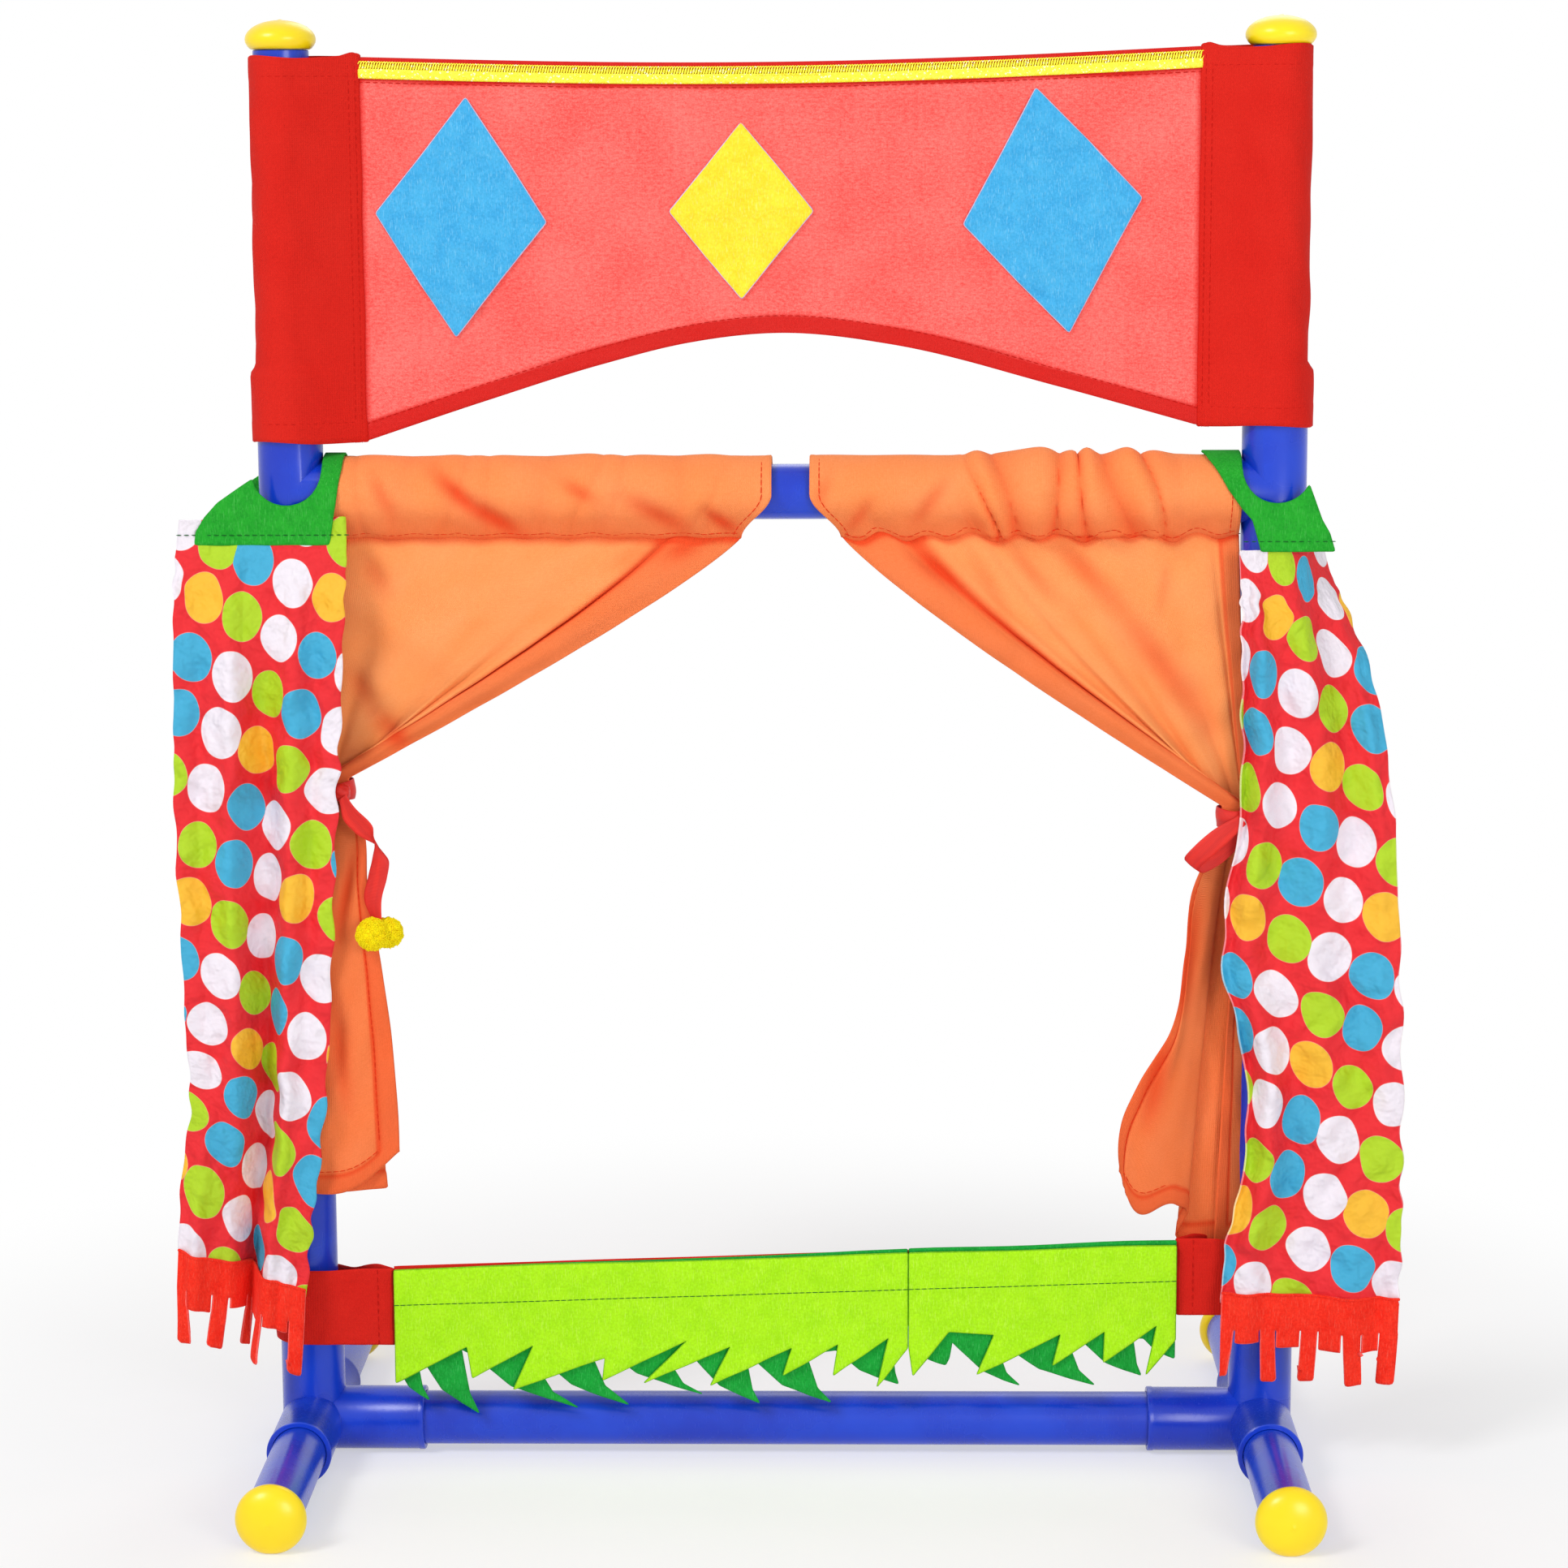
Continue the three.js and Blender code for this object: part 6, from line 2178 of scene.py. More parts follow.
@dataclass
class Yoke(SidedPart):
    """A green felt yoke folded over the rod's end, notched for the post."""

    seam_rise: float = 4.5

    def build(self) -> None:
        """Makes and seats the yoke with its seam."""
        shop, stand, sign, shape = self.shop, self.shop.stand, self.side.value, YOKES[self.side]
        low, high = self.box("yoke")
        radius = (high[1] - low[1]) / 2 - shop.felt / 2
        top = radius * math.pi / 2

        def unrolled(rise: float) -> float:
            """How far along the felt a height lies, from the rod's middle on the front."""
            return rise if rise <= 0 else radius * math.asin(min(rise / radius, 1.0))

        notch_radius = stand.connector + 0.9
        notch = []
        for step in range(13):
            angle = math.radians(shape.notch_end * (1 - step / 12))
            notch.append((notch_radius * math.cos(angle), notch_radius * (1 + math.sin(angle)) - 4.5))
        inner = [(a, min(b, radius * 0.995)) for a, b in shape.inner]
        front = [(a, unrolled(b)) for a, b in [*inner, *shape.outer, *notch]]
        back = [(a, 2 * top - b) for a, b in front[::-1]]
        cut = [(shape.strap[1], top), *front, (shape.strap[0], top), *back]
        outline = [(sign * (stand.post - a), b) for a, b in cut]
        ease = smooth_noise(70 + sign, 6, (50, 40), 0.4)

        def place(flat: Array) -> Array:
            """Folds the flat felt over the rod."""
            x, run = flat[:, 0], flat[:, 1]
            angle = np.clip(run / radius, 0, math.pi)
            below = np.where(run < 0, run, np.where(run > 2 * top, 2 * top - run, 0.0))
            y = -radius * np.cos(angle)
            z = stand.rod + radius * np.sin(angle) + below
            loose = 0.35 * ease(x, run) * smoothstep(np.abs(below), 2, 12)
            curl = 1.2 * smoothstep(np.abs(x) - stand.post, 12, 42) * smoothstep(below + 26, 6, 26)
            return np.stack([x, y + np.sign(y) * (loose + curl), z], 1)

        felt = CutPiece(outline, place, shop.felt, 1.5, 0.9)
        piece = shop.cut(self.named("yoke"), felt, Finish.GREEN_FELT, Finish.GREEN_FELT, Slot.GREEN_FELT)
        tee = [self.named("tee_connector_shell")]
        shop.declare(piece, felt.size(), Hold.FOLDED, tee, (), felt.area())
        x = np.linspace(*shape.seam, shape.seam_points)
        inside = (x > shape.sewn[0]) & (x < shape.sewn[1])
        y = np.where(inside, -radius - shop.felt / 2 - 0.15, -radius + 0.1)
        line = np.stack([x, y, np.full_like(x, low[2] + self.seam_rise)], 1)
        lines = [line, (line * (1, -1, 1))[inside]]
        shop.sew(self.named("yoke_stitches"), lines, Finish.GREEN_THREAD, Slot.GREEN_FELT, width=0.5)


@dataclass
class PanelShape:
    """How one side panel hangs: its edges from top to foot as (x, z), and its folds.

    Attributes:
        inner: The edge nearer the stage.
        outer: The edge away from it.
        width: The cloth's flat width.
        wrap: One where its outer side turns back round the post at the top, else none.
        folds: Folds as place across, width, and depth at the top, middle and foot.
        creases: Short creases, as strokes over the panel's face.
    """

    inner: tuple
    outer: tuple
    width: float
    wrap: float
    folds: tuple
    creases: tuple


PANELS = {
    Side.LEFT: PanelShape(
        inner=(
            (196.6, 443.4), (196.6, 425), (197.5, 399), (200, 348), (202.5, 310), (205.6, 254),
            (209, 197), (214, 147), (219, 112), (222.0, 81),
        ),
        outer=(
            (271.6, 442), (273.4, 425), (274, 400), (275, 348), (275.8, 310), (274.6, 254), (273.6, 205),
            (272.6, 172), (277.6, 140), (280.7, 100),
        ),
        width=90.0,
        wrap=0,
        folds=(
            (0.46, 0.11, 0.5, 8.0, 16.0), (0.30, 0.08, 0.0, -4.0, -5.0), (0.66, 0.07, 0.0, -3.5, 3.0),
            (0.86, 0.06, 0.0, 2.5, -4.0), (0.16, 0.05, 0.8, 2.0, -2.5),
        ),
        creases=(
            (246, 396, 236, 352, 4.0, 2.6), (238, 352, 232, 306, 4.5, 3.4),
            (256, 330, 262, 296, 4.0, 2.6), (226, 300, 234, 262, 4.0, 3.0),
            (262, 262, 250, 236, 3.6, 2.6), (222, 236, 230, 198, 4.0, 3.0),
            (256, 214, 264, 176, 4.0, 3.0), (232, 180, 238, 132, 4.0, 3.4),
            (266, 160, 252, 128, 3.6, 2.6), (226, 128, 232, 96, 3.4, 2.6), (262, 118, 270, 96, 3.6, 2.2),
            (212, 388, 218, 352, 4.0, 1.8),
        ),
    ),
    Side.RIGHT: PanelShape(
        inner=(
            (206.5, 427), (207, 414), (207.2, 398), (208.0, 362), (208.0, 310), (200.6, 245), (212, 190),
            (212, 143), (204.6, 110), (202.0, 79.6),
        ),
        outer=(
            (246.2, 428), (250, 414), (257, 398), (269.5, 362), (276.6, 310), (280.5, 245), (282.8, 190),
            (283.4, 143), (284.0, 110), (283.4, 77),
        ),
        width=86.5,
        wrap=1,
        folds=(
            (0.03, 0.05, 4.0, 5.0, 2.0), (0.14, 0.07, -1.5, -3.0, -2.0), (0.30, 0.09, 0.5, 3.0, 2.6),
            (0.52, 0.09, -1.0, -3.0, 1.6), (0.72, 0.08, 0.0, 3.0, -2.8), (0.90, 0.05, 0.0, -2.0, 2.0),
        ),
        creases=(
            (236, 408, 226, 372, 4.0, 2.4), (222, 372, 214, 336, 4.0, 2.6),
            (250, 372, 238, 344, 4.5, 2.6), (232, 330, 244, 300, 4.0, 2.2),
            (212, 304, 226, 282, 4.0, 3.0), (262, 306, 250, 282, 4.0, 2.4),
            (206, 262, 222, 240, 3.6, 3.2), (240, 246, 258, 228, 4.0, 2.4),
            (206, 216, 216, 190, 3.6, 3.0), (252, 196, 238, 172, 4.2, 2.6),
            (206, 160, 222, 134, 4.0, 3.2), (262, 150, 246, 126, 4.0, 2.6), (204, 108, 224, 92, 3.6, 2.8),
            (240, 106, 262, 92, 4.0, 2.4),
        ),
    ),
}


@dataclass
class SidePanel(SidedPart):
    """A dotted side panel hanging from its yoke, with a cut felt fringe.

    Attributes:
        settle: Share of the drop over which it leaves the yoke's plane for the fringe's.
        fringe_lap: How far the fringe laps over the panel's foot.
        fringe_band: Depth of the fringe above its slits.
        long_width: Width of its long strips.
        slit: Width of a slit.
        strips: Number of strips.
    """

    settle: float = 0.3
    fringe_lap: float = 5.0
    fringe_band: float = 12.0
    long_width: float = 7.4
    slit: float = 1.1
    strips: int = 9

    def __post_init__(self) -> None:
        """Reads the panel's place from the frame."""
        shop, seed = self.shop, self.side.value
        self.shape = PANELS[self.side]
        self.hinge = self.box("side_panel")[1][2]
        yoke_low, yoke_high = self.box("yoke")
        self.back = -((yoke_high[1] - yoke_low[1]) / 2 - shop.felt - 0.35)
        fringe_low, fringe_high = self.box("fringe")
        self.forward = (fringe_low[1] + fringe_high[1]) / 2 + shop.felt / 2 + 0.35 + shop.thickness / 2
        self.fringe_foot = fringe_low[2]
        self.noise = smooth_noise(80 + seed, 8, (48, 75), 0.35)
        self.crumple = smooth_noise(84 + seed, 12, (30, 34), 0.35)
        self.wobble = smooth_noise(88 + seed, 6, (34, 30), 0.6)

    def row(self, v: float, count: int) -> Array:
        """One row of the panel, from its inner to its outer edge, at equal steps of cloth.

        Args:
            v: Down the panel, from 0 to 1.
            count: Points across.

        Returns:
            The row's points.
        """
        shape = self.shape
        u = np.linspace(0, 1, 240)
        settled = 1.1 * float(smoothstep(v, 0.06, 0.2))
        ends = []
        for edge, seed in ((shape.inner, 0.0), (shape.outer, 60.0)):
            x, z = smooth_table(np.linspace(0, 1, len(edge)), edge, np.array(v))
            ends.append((x + settled * float(self.wobble(seed, v * 350)), z))
        x, z = (mix(ends[0][k], ends[1][k], u) for k in (0, 1))
        base = mix(self.back, self.forward, float(smoothstep(v, 0.03, self.settle)))
        fold = np.zeros_like(u)
        for centre, width, *depths in shape.folds:
            fold += float(smooth_table((0, 0.5, 1), depths, np.array(v))) * bump_at(u, centre, width)
        radius = self.shop.stand.connector + 1.1
        past = np.clip(x - self.shop.stand.post, 0, None)
        near = np.minimum(past, 0.95 * radius)
        turn = radius - np.sqrt(radius * radius - near * near) + 1.6 * (past - near)
        turn = shape.wrap * (1 - float(smoothstep(v, 0, 0.5))) * turn
        live, deep_live = float(smoothstep(v, 0.05, 0.2)), float(smoothstep(v, 0.14, 0.34))
        fold *= np.where(fold > 0, deep_live, live)

        def shaped(depth: float) -> Array:
            """The row with its folds this many times as deep."""
            return np.stack([x, base + fold * depth + turn, z], 1)

        goal = min(shape.width, 1.2 * line_length(shaped(1.0)))
        few, many = 0.5, 1.5
        for _ in range(18):
            middle = (few + many) / 2
            if line_length(shaped(middle)) < goal:
                few = middle
            else:
                many = middle
        found = equal_steps(shaped((few + many) / 2), count)
        x, z = found[:, 0], found[:, 2]
        found[:, 1] += (self.noise(x, z) * 1.2 + self.crumple(x, z) * 1.1) * live
        found[:, 1] += creased(x, z, shape.creases) * deep_live
        return found

    def build(self) -> None:
        """Makes and seats the panel and its fringe."""
        shop, width = self.shop, self.shape.width
        columns, rows = 110, 170
        grid = np.stack([self.row(v, columns) for v in np.linspace(0, 1, rows)])
        grid[..., 0] *= self.side.value
        run = run_along(grid[:, columns // 2])
        across = np.linspace(0, width, columns)
        printed = width - across if self.side is Side.LEFT else across + 400.0
        from_edge = np.minimum(across, width - across)[None, :]
        thick = shop.thickness * (0.75 + 0.35 * (1 - smoothstep(from_edge, 3.0, 3.6)))
        materials = [shop.cloth[Finish.DOTTED], shop.cloth[Finish.DOTTED_REVERSE]]
        sheet = Sheet(grid, spread(printed, run), thick)
        if sheet.directions()[2][..., 1].mean() > 0:
            materials.reverse()
        piece = sheet.build(self.named("panel_cloth"), *materials)
        seat(piece, Slot.DOTTED, None, [self.named("side_panel")])
        swing = self.named("hanging_panel")
        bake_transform(piece)
        fringe = self.fringe(grid[-14:], swing)
        shop.declare(piece, (width, run[-1]), Hold.HUNG, [self.named("yoke_felt")], [fringe])

    def strips_cut(self, width: float, deepest: float) -> tuple[list[tuple[float, float]], Array, Array]:
        """Draws the fringe's cut.

        Args:
            width: Length of the panel's foot.
            deepest: Drop of the long strips.

        Returns:
            The outline, the place of each slit and how far each strip curls.
        """
        draw = random.Random(90 + self.side.value)
        count = (self.strips + 1) // 2
        long_width = self.long_width * width / self.shape.width
        slits = (self.strips - 1) * self.slit
        short_width = (width - slits - count * long_width) / (self.strips - count)
        strips, curls = [], []
        left = 0.0
        for index in range(self.strips):
            is_long = index % 2 == 0
            deep = deepest + mix(-2.5, 0.5, draw.random()) if is_long else mix(17.5, 21, draw.random())
            sway = mix(-3.2, 3.2, draw.random()) if is_long else 0.0
            right = left + (long_width if is_long else short_width)
            strips.append((left, right, deep, sway))
            curls.append(mix(-1.6, 2.4, draw.random()))
            left = right + self.slit
        outline = [(0.0, -self.fringe_lap), (width, -self.fringe_lap)]
        for left, right, deep, sway in reversed(strips):
            outline += [(right, self.fringe_band), (right + sway * 0.3, 21.5 if sway else deep - 0.5)]
            outline += [(right + sway, deep - 0.4), (left + sway, deep)]
            outline += [(left + sway * 0.3, 21.5 if sway else deep - 1.0), (left, self.fringe_band)]
        return outline, np.array([strip[1] for strip in strips[:-1]]) + self.slit / 2, np.array(curls)

    def fringe(self, foot_rows: Array, body: str) -> Piece:
        """Makes the cut fringe below the panel.

        Args:
            foot_rows: The panel's last rows of points.
            body: The body it rides on.

        Returns:
            The fringe.
        """
        shop, foot = self.shop, foot_rows[-1]
        felt = shop.felt
        run = run_along(foot)
        down = unit((foot - foot_rows[0]).mean(0))
        out = unit(np.cross(np.gradient(foot, axis=0), down))
        out = np.where(out[:, 1:2] < 0, out, -out)
        deepest = min(38.5, float(foot[:, 2].mean()) - self.fringe_foot)
        outline, slits, curls = self.strips_cut(run[-1], deepest)

        def place(flat: Array) -> Array:
            """Lays the felt over the panel's foot and lets the strips hang."""
            along, drop = flat[:, 0], flat[:, 1]
            base = np.stack([np.interp(along, run, foot[:, k]) for k in range(3)], 1)
            face = np.stack([np.interp(along, run, out[:, k]) for k in range(3)], 1)
            curl = curls[np.searchsorted(slits, along)]
            curl = curl * smoothstep(drop, self.fringe_band, self.fringe_band + 24)
            stand_off = shop.thickness / 2 + felt / 2 + 0.15
            return base + down * drop[:, None] + face * (stand_off + curl)[:, None]

        cut = CutPiece(outline, place, felt, 1.5, 1.4)
        piece = shop.cut(self.named("fringe"), cut, Finish.RED_FELT, Finish.RED_EDGE, Slot.RED_FELT, body)
        shop.declare(piece, cut.size(), Hold.HUNG, [self.named("panel_cloth")], (), cut.area())
        at = np.linspace(0.5, run[-1] - 0.5, 60)
        edge = place(np.stack([at, np.full_like(at, -self.fringe_lap + 0.4)], 1)) - (0, felt * 0.35, 0)
        sewn = (self.named("fringe_overlock"), [edge], Finish.RED_FELT, Slot.RED_FELT, body)
        shop.sew(*sewn, pitch=1.1, length=1.7, width=1.5)
        return piece


@dataclass
class GrassBand:
    """The red band across the lower posts, with its post loops and two layers of felt grass."""

    shop: Workshop
    split_share: float = 0.317
    head: float = 17.0
    valley: float = 21.0
    tooth: float = 42.0
    seam_rise: float = 0.35

    DARK_HEADS = {Side.LEFT: (16.2, 18.4), Side.RIGHT: (18.6, 19.0)}

    LIGHT = {
        Side.LEFT: (
            (0, 0.1), (0, 0.78), (0.14, 0), (0.15, 0.72), (0.27, 0.02), (0.23, 1), (0.41, 0.35),
            (0.405, 0.85), (0.57, 0.02), (0.485, 0.95), (0.655, 0.18), (0.615, 1.05), (0.775, 0.25),
            (0.757, 0.88), (0.865, 0.2), (0.855, 0.9), (0.963, 0.1), (0.94, 1.2), (1, 0.35),
        ),
        Side.RIGHT: (
            (0, 0.35), (0.015, 0.97), (0.15, 0), (0.32, 0.1), (0.255, 1), (0.57, 0.13), (0.54, 0.85),
            (0.735, 0.1), (0.73, 0.8), (0.93, 0), (0.89, 1.12), (1, 0.35),
        ),
    }
    BLADES = {
        Side.LEFT: (
            (-181.5, 46, -166.3, 29.7, -172, 50), (-171, 52, -143.1, 23.4, -151, 54),
            (-147, 52, -96.6, 26.2, -118, 50), (-116, 52, -73, 27.5, -93, 58),
            (-88, 58, -38.4, 32.7, -55, 50), (-42, 50, -11.8, 28.4, -18, 50),
            (-15, 50, 21.6, 28.8, 10, 52), (24, 54, 53, 38, 50, 56),
        ),
        Side.RIGHT: (
            (62, 54, 75, 47, 78, 58), (82, 54, 109.5, 37.3, 98, 58), (103, 56, 144.3, 37.8, 131, 60),
            (139, 58, 166, 42, 162, 60), (167, 60, 181.3, 50.4, 181.4, 58),
        ),
    }

    def __post_init__(self) -> None:
        """Reads the band's place from the frame."""
        loops = {side: box_mm(f"{side.label}_band_loop") for side in Side}
        self.foot = {side: loops[side][0][2] for side in Side}
        self.height = loops[Side.LEFT][1][2] - loops[Side.LEFT][0][2]
        self.reach = box_mm("grass_band")[1][0]
        nodes = ("grass_band", "left_light_grass", "left_dark_grass")
        self.band_y, self.light_y, self.dark_y = (float(np.mean(box_mm(node), axis=0)[1]) for node in nodes)
        self.waves = smooth_noise(95, 6, (130, 60), 0.4)

    def low(self, x: Array) -> Array:
        """The band's lower edge."""
        share = (np.asarray(x, float) / self.shop.stand.post + 1) / 2
        return mix(self.foot[Side.LEFT], self.foot[Side.RIGHT], share)

    def seam(self, x: Array) -> Array:
        """The height of the thread line, near the band's middle."""
        return self.low(x) + self.height / 2 + self.seam_rise

    def build(self) -> None:
        """Makes and seats the band and its grass."""
        self.band()
        for side in Side:
            self.loop(side)
            self.grass(side)

    def band(self) -> None:
        """Makes the band behind the grass."""
        columns, rows = 160, 20
        x = np.broadcast_to(np.linspace(-self.reach, self.reach, columns), (rows, columns))
        z = self.low(x) + np.linspace(0, 1, rows)[:, None] * self.height
        grid = np.stack([x, self.band_y + 0.25 * self.waves(x, z), z], -1)
        sheet = Sheet(grid, grid[..., [0, 2]], self.shop.thickness)
        piece = sheet.build("grass_band_cloth", self.shop.cloth[Finish.RED_DOUBLE])
        seat(piece, Slot.RED_CLOTH, replaces=["grass_band"])
        held = [f"{side.label}_band_loop_cloth" for side in Side]
        self.shop.declare(piece, (2 * self.reach, self.height), Hold.STRETCHED, held)

    def loop(self, side: Side) -> None:
        """Makes the loop that holds the band on one post."""
        shop, stand, t, sign = self.shop, self.shop.stand, self.shop.thickness, side.value
        name = f"{side.label}_band_loop"
        low, high = box_mm(name)
        radius = stand.connector + 0.6
        tip_x = min(abs(low[0]), abs(high[0])) + t + 0.2
        rows, columns = 40, 150
        noise = smooth_noise(97 + sign, 8, (24, 30), 0.3)
        circles = [(sign * stand.post, 0.0, radius), (sign * tip_x, 0.2 - radius, 0.2)]
        base = hull_loop(circles, t / 2, columns)
        off = base - (sign * stand.post, 0.0)
        points = np.zeros((rows, columns, 3))
        heights = np.linspace(low[2], high[2], rows)
        for row, z in enumerate(heights):
            crease = np.clip(noise(base[:, 0] + base[:, 1], np.full(columns, z)) * 0.4 + 0.2, 0, 0.9)
            share = row / (rows - 1)
            sink = 5.0 * smoothstep(base[:, 1], -radius * 0.6, radius * 0.4) * share
            dip = 1.3 * (1 - (off[:, 0] / (radius * 1.6)) ** 2) * share**3
            points[row] = np.column_stack([base + unit(off) * crease[:, None], z - sink - np.clip(dip, 0, 2)])
        from_end = np.minimum(heights - low[2], high[2] - heights)
        thick = t + 0.3 * (1 - smoothstep(from_end, 5.5, 6.2)) - 0.3 * bump_at(from_end, 6.0, 0.5)
        run = girths(points[0])
        sheet = Sheet(points, spread(run, heights), thick[:, None], wrapped=True)
        piece = sheet.build(f"{name}_cloth", shop.cloth[Finish.RED_DOUBLE])
        seat(piece, Slot.RED_CLOTH, replaces=[name])
        shop.declare(piece, (run[-1], high[2] - low[2]), Hold.FOLDED, [f"{side.label}_lower_post_tube"])
        z = np.linspace(low[2] + 1, high[2] - 1, 9)
        line = np.column_stack([np.full(9, sign * (tip_x + 6.5)), np.full(9, -radius - t - 0.35), z])
        shop.sew(f"{name}_stitches", [line], Finish.RED_THREAD, Slot.RED_CLOTH, width=0.4)

    def span(self, side: Side) -> tuple[float, float]:
        """Where one side's felt starts and ends."""
        split = self.reach * self.split_share
        return (-self.reach, split - 0.3) if side is Side.LEFT else (split + 0.3, self.reach)

    def head_line(self, side: Side, heads: Sequence[float]) -> list[tuple[float, float]]:
        """The upper edge of a felt, from its end to its start, between two heights above the seam."""
        start, end = self.span(side)
        line = []
        for share in np.linspace(1, 0, 12):
            x = mix(start, end, share)
            rise = mix(heads[0], heads[1], share) + 0.35 * math.sin(9 * share + side.value)
            line.append((x, float(self.seam(x)) + rise))
        return line

    def grass(self, side: Side) -> None:
        """Makes one side's light and dark felt with its thread line."""
        shop = self.shop
        start, end = self.span(side)
        light = self.head_line(side, (self.head, self.head))
        for share, down in self.LIGHT[side]:
            x = mix(start, end, share)
            light.append((x, float(self.seam(x)) - mix(self.valley, self.tooth, down)))
        dark = self.head_line(side, self.DARK_HEADS[side])
        for x1, z1, x2, z2, x3, z3 in self.BLADES[side]:
            dark += [(x1, z1), (mix(x1, x2, 0.38), mix(z1, z2, 0.60)), (mix(x1, x2, 0.72), mix(z1, z2, 0.84))]
            dark += [(x2, z2), (mix(x2, x3, 0.55), mix(z2, z3, 0.30)), (x3, z3)]
        self.layer(f"{side.label}_light_grass", light, self.light_y, 2.4, Finish.LIME_FELT, Finish.LIME_EDGE)
        self.layer(f"{side.label}_dark_grass", dark, self.dark_y, 1.2, Finish.DARK_FELT, Finish.DARK_FELT)
        x = np.linspace(start + 1, end - 1, 90)
        z = self.seam(x)
        line = np.stack([x, self.light_y - shop.felt / 2 - 0.05 - 0.25 * self.waves(x, z), z], 1)
        sewn = (f"{side.label}_grass_stitches", [line], Finish.GREEN_THREAD, Slot.LIME_FELT)
        shop.sew(*sewn, pitch=3.0, length=2.9, width=0.42)

    def layer(self, node: str, cut: Sequence, depth: float, lift: float, felt: Finish, edge: Finish) -> None:
        """Makes one layer of grass.

        Args:
            node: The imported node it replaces.
            cut: Its outline.
            depth: Its place in depth.
            lift: How far its teeth curl forward.
            felt: Its felt.
            edge: Its cut edge.
        """

        def place(flat: Array) -> Array:
            """Hangs the felt in front of the band, with its teeth curling a little."""
            x, z = flat[:, 0], flat[:, 1]
            below = self.low(x) + self.height / 2 - z
            curl = smoothstep(below, 16, 46) * (0.7 + 0.6 * self.waves(x * 2.6, z)) * lift
            fold = bump_at(below, -self.head, 1.6) * 0.5
            return np.stack([x, depth - curl + fold - 0.25 * self.waves(x, z), z], 1)

        piece = CutPiece(cut, place, self.shop.felt, 1.5, 0.7)
        slot = Slot.LIME_FELT if felt is Finish.LIME_FELT else Slot.DARK_FELT
        made = self.shop.cut(node, piece, felt, edge, slot)
        self.shop.declare(made, piece.size(), Hold.HUNG, ["grass_band_cloth"], (), piece.area())


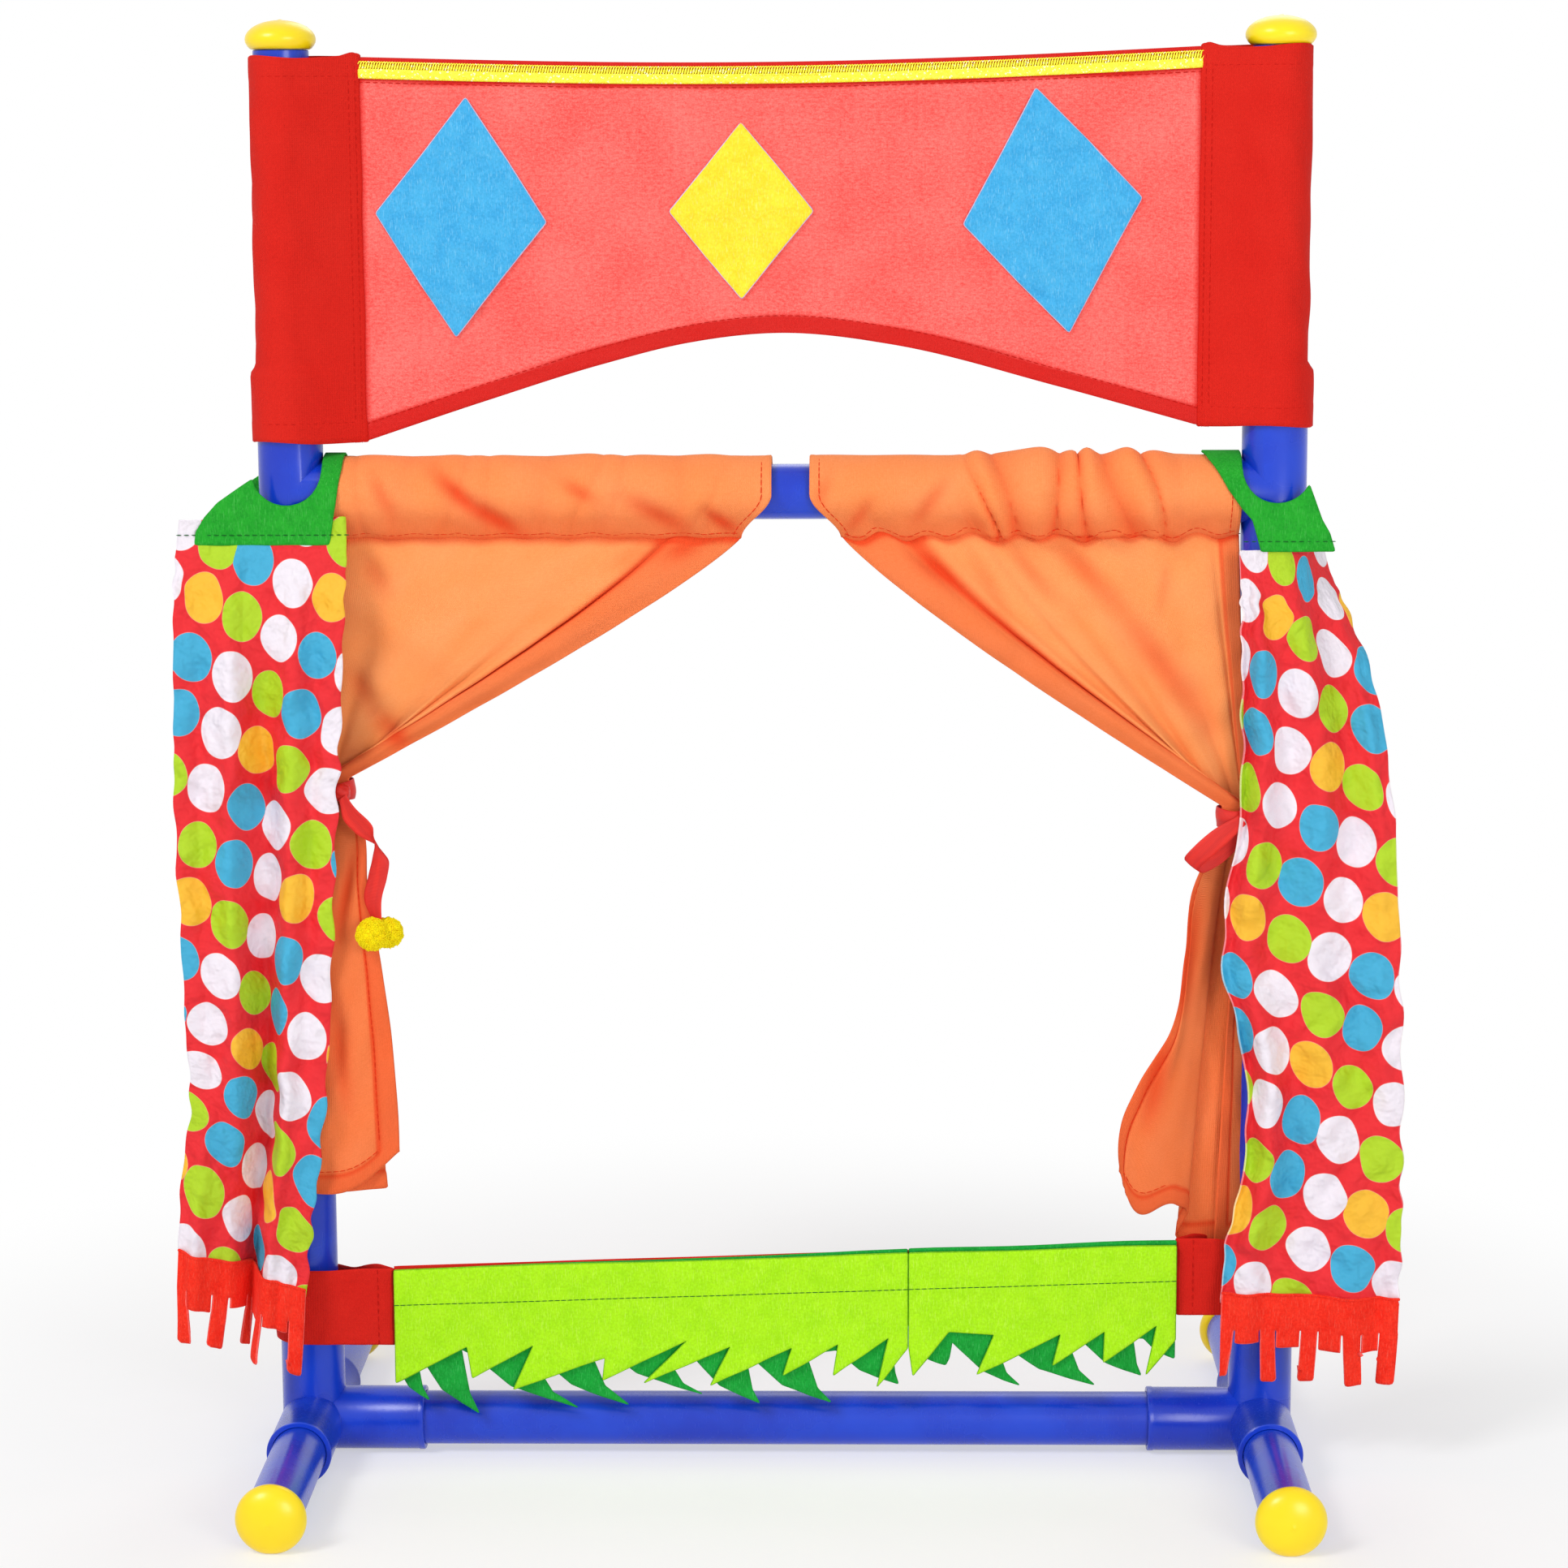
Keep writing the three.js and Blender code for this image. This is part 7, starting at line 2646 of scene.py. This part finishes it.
@dataclass
class Studio:
    """The camera, the soft light and the pale floor.

    Attributes:
        focal_pixels: Focal length in pixels of the photograph.
        place: The camera's place in millimetres.
        yaw_degrees: How far it looks to the left.
        pitch_degrees: How far it looks down.
        roll_degrees: How far it leans.
        sensor: Width of its sensor in millimetres.
        floor_reach: Half width of the floor in metres.
        lamps: Each lamp's name, place, size and power.
    """

    focal_pixels: float = 4750.5
    place: Point = (35.6, -1748.3, 606.6)
    yaw_degrees: float = 1.149
    pitch_degrees: float = 9.358
    roll_degrees: float = -0.259
    sensor: float = 36.0
    floor_reach: float = 6.0
    lamps: tuple = (
        ("key_lamp", (-1700, -1700, 2400), 950, 42),
        ("fill_lamp", (1200, -2300, 900), 1000, 22),
        ("rim_lamp", (300, 1900, 1900), 1200, 8),
    )

    def build(self) -> None:
        """Makes the studio."""
        self.camera()
        self.world()
        self.floor()
        for lamp in self.lamps:
            self.lamp(*lamp)
        bpy.context.scene.view_settings.view_transform = "Standard"

    def camera(self) -> None:
        """Places the camera where the photograph was taken."""
        degrees = (self.yaw_degrees, self.pitch_degrees, self.roll_degrees)
        yaw, pitch, roll = (math.radians(angle) for angle in degrees)
        right = Vector((math.cos(yaw), math.sin(yaw), 0))
        look = Vector((-math.sin(yaw) * math.cos(pitch), math.cos(yaw) * math.cos(pitch), -math.sin(pitch)))
        up = right.cross(look)
        turned_right = right * math.cos(roll) + up * math.sin(roll)
        turned_up = up * math.cos(roll) - right * math.sin(roll)
        data = bpy.data.cameras.new("camera")
        data.sensor_width = self.sensor
        data.lens = self.focal_pixels / IMAGE_SIDE * self.sensor
        data.clip_start = 0.05
        data.clip_end = 50
        camera = link("camera", data)
        turn = Matrix((turned_right, turned_up, -look)).transposed()
        camera.matrix_world = Matrix.Translation(Vector(self.place) * MM) @ turn.to_4x4()
        bpy.context.scene.camera = camera

    def world(self) -> None:
        """Makes a soft pale world that shows as white."""
        world = bpy.data.worlds.new("world")
        bpy.context.scene.world = world
        world.use_nodes = True
        world.node_tree.nodes.clear()
        nodes = Nodes(world.node_tree)
        inputs = {"Color": (1, 1, 1, 1), "Strength": nodes.seen() * 0.54 + 0.46}
        nodes.node("ShaderNodeOutputWorld", {"Surface": nodes.out("ShaderNodeBackground", inputs)})

    def floor(self) -> None:
        """Makes the pale floor."""
        r = self.floor_reach
        mesh = bpy.data.meshes.new("floor")
        mesh.from_pydata([(-r, -r, 0), (r, -r, 0), (r, r, 0), (-r, r, 0)], [], [(0, 1, 2, 3)])
        mesh.materials.append(self.paper())
        link("floor", mesh)

    def paper(self) -> Material:
        """Makes a white floor that keeps the shadow near the object and has no horizon."""
        s = Shader("pale_floor")
        place = s.coordinates("Object")
        tone = s.blend(s.noise(place, 30), (250, 250, 250), (253, 253, 253))
        material = s.finish(tone, 0.9, Specular_IOR_Level=0.0)
        seen = s.seen()
        away = s.out("ShaderNodeVectorMath", {0: place}, "Value", operation="LENGTH")
        share = seen * (away.soft(0.28, 0.62) * 0.5 + 0.5)
        white = s.out("ShaderNodeEmission", {"Color": (1, 1, 1, 1), "Strength": 1.0})
        mixed = s.out("ShaderNodeMixShader", {0: share, 1: s.surface.outputs[0], 2: white})
        s.feed(s.result.inputs["Surface"], mixed)
        return material

    def lamp(self, name: str, place: Point, size: float, power: float) -> None:
        """Makes one large soft lamp that looks at the stand's middle."""
        data = bpy.data.lights.new(name, "AREA")
        data.shape = "SQUARE"
        data.size = size * MM
        data.energy = power
        lamp = link(name, data)
        lamp.location = Vector(place) * MM
        lamp.rotation_euler = (Vector((0, 0, 0.33)) - lamp.location).to_track_quat("-Z", "Y").to_euler()


def main() -> None:
    """Builds the stand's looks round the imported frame."""
    logging.basicConfig(level=logging.INFO, format="%(relativeCreated)6d %(message)s")
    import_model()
    Studio().build()
    shop = Workshop(Stand.measured(), Wardrobe(), Repeater())
    TubeFrame(shop).build()
    Valance(shop).build()
    for side in Side:
        for part in (Curtain, TieBack, Yoke, SidePanel):
            part(shop, side).build()
    GrassBand(shop).build()


if __name__ == "__main__":
    main()
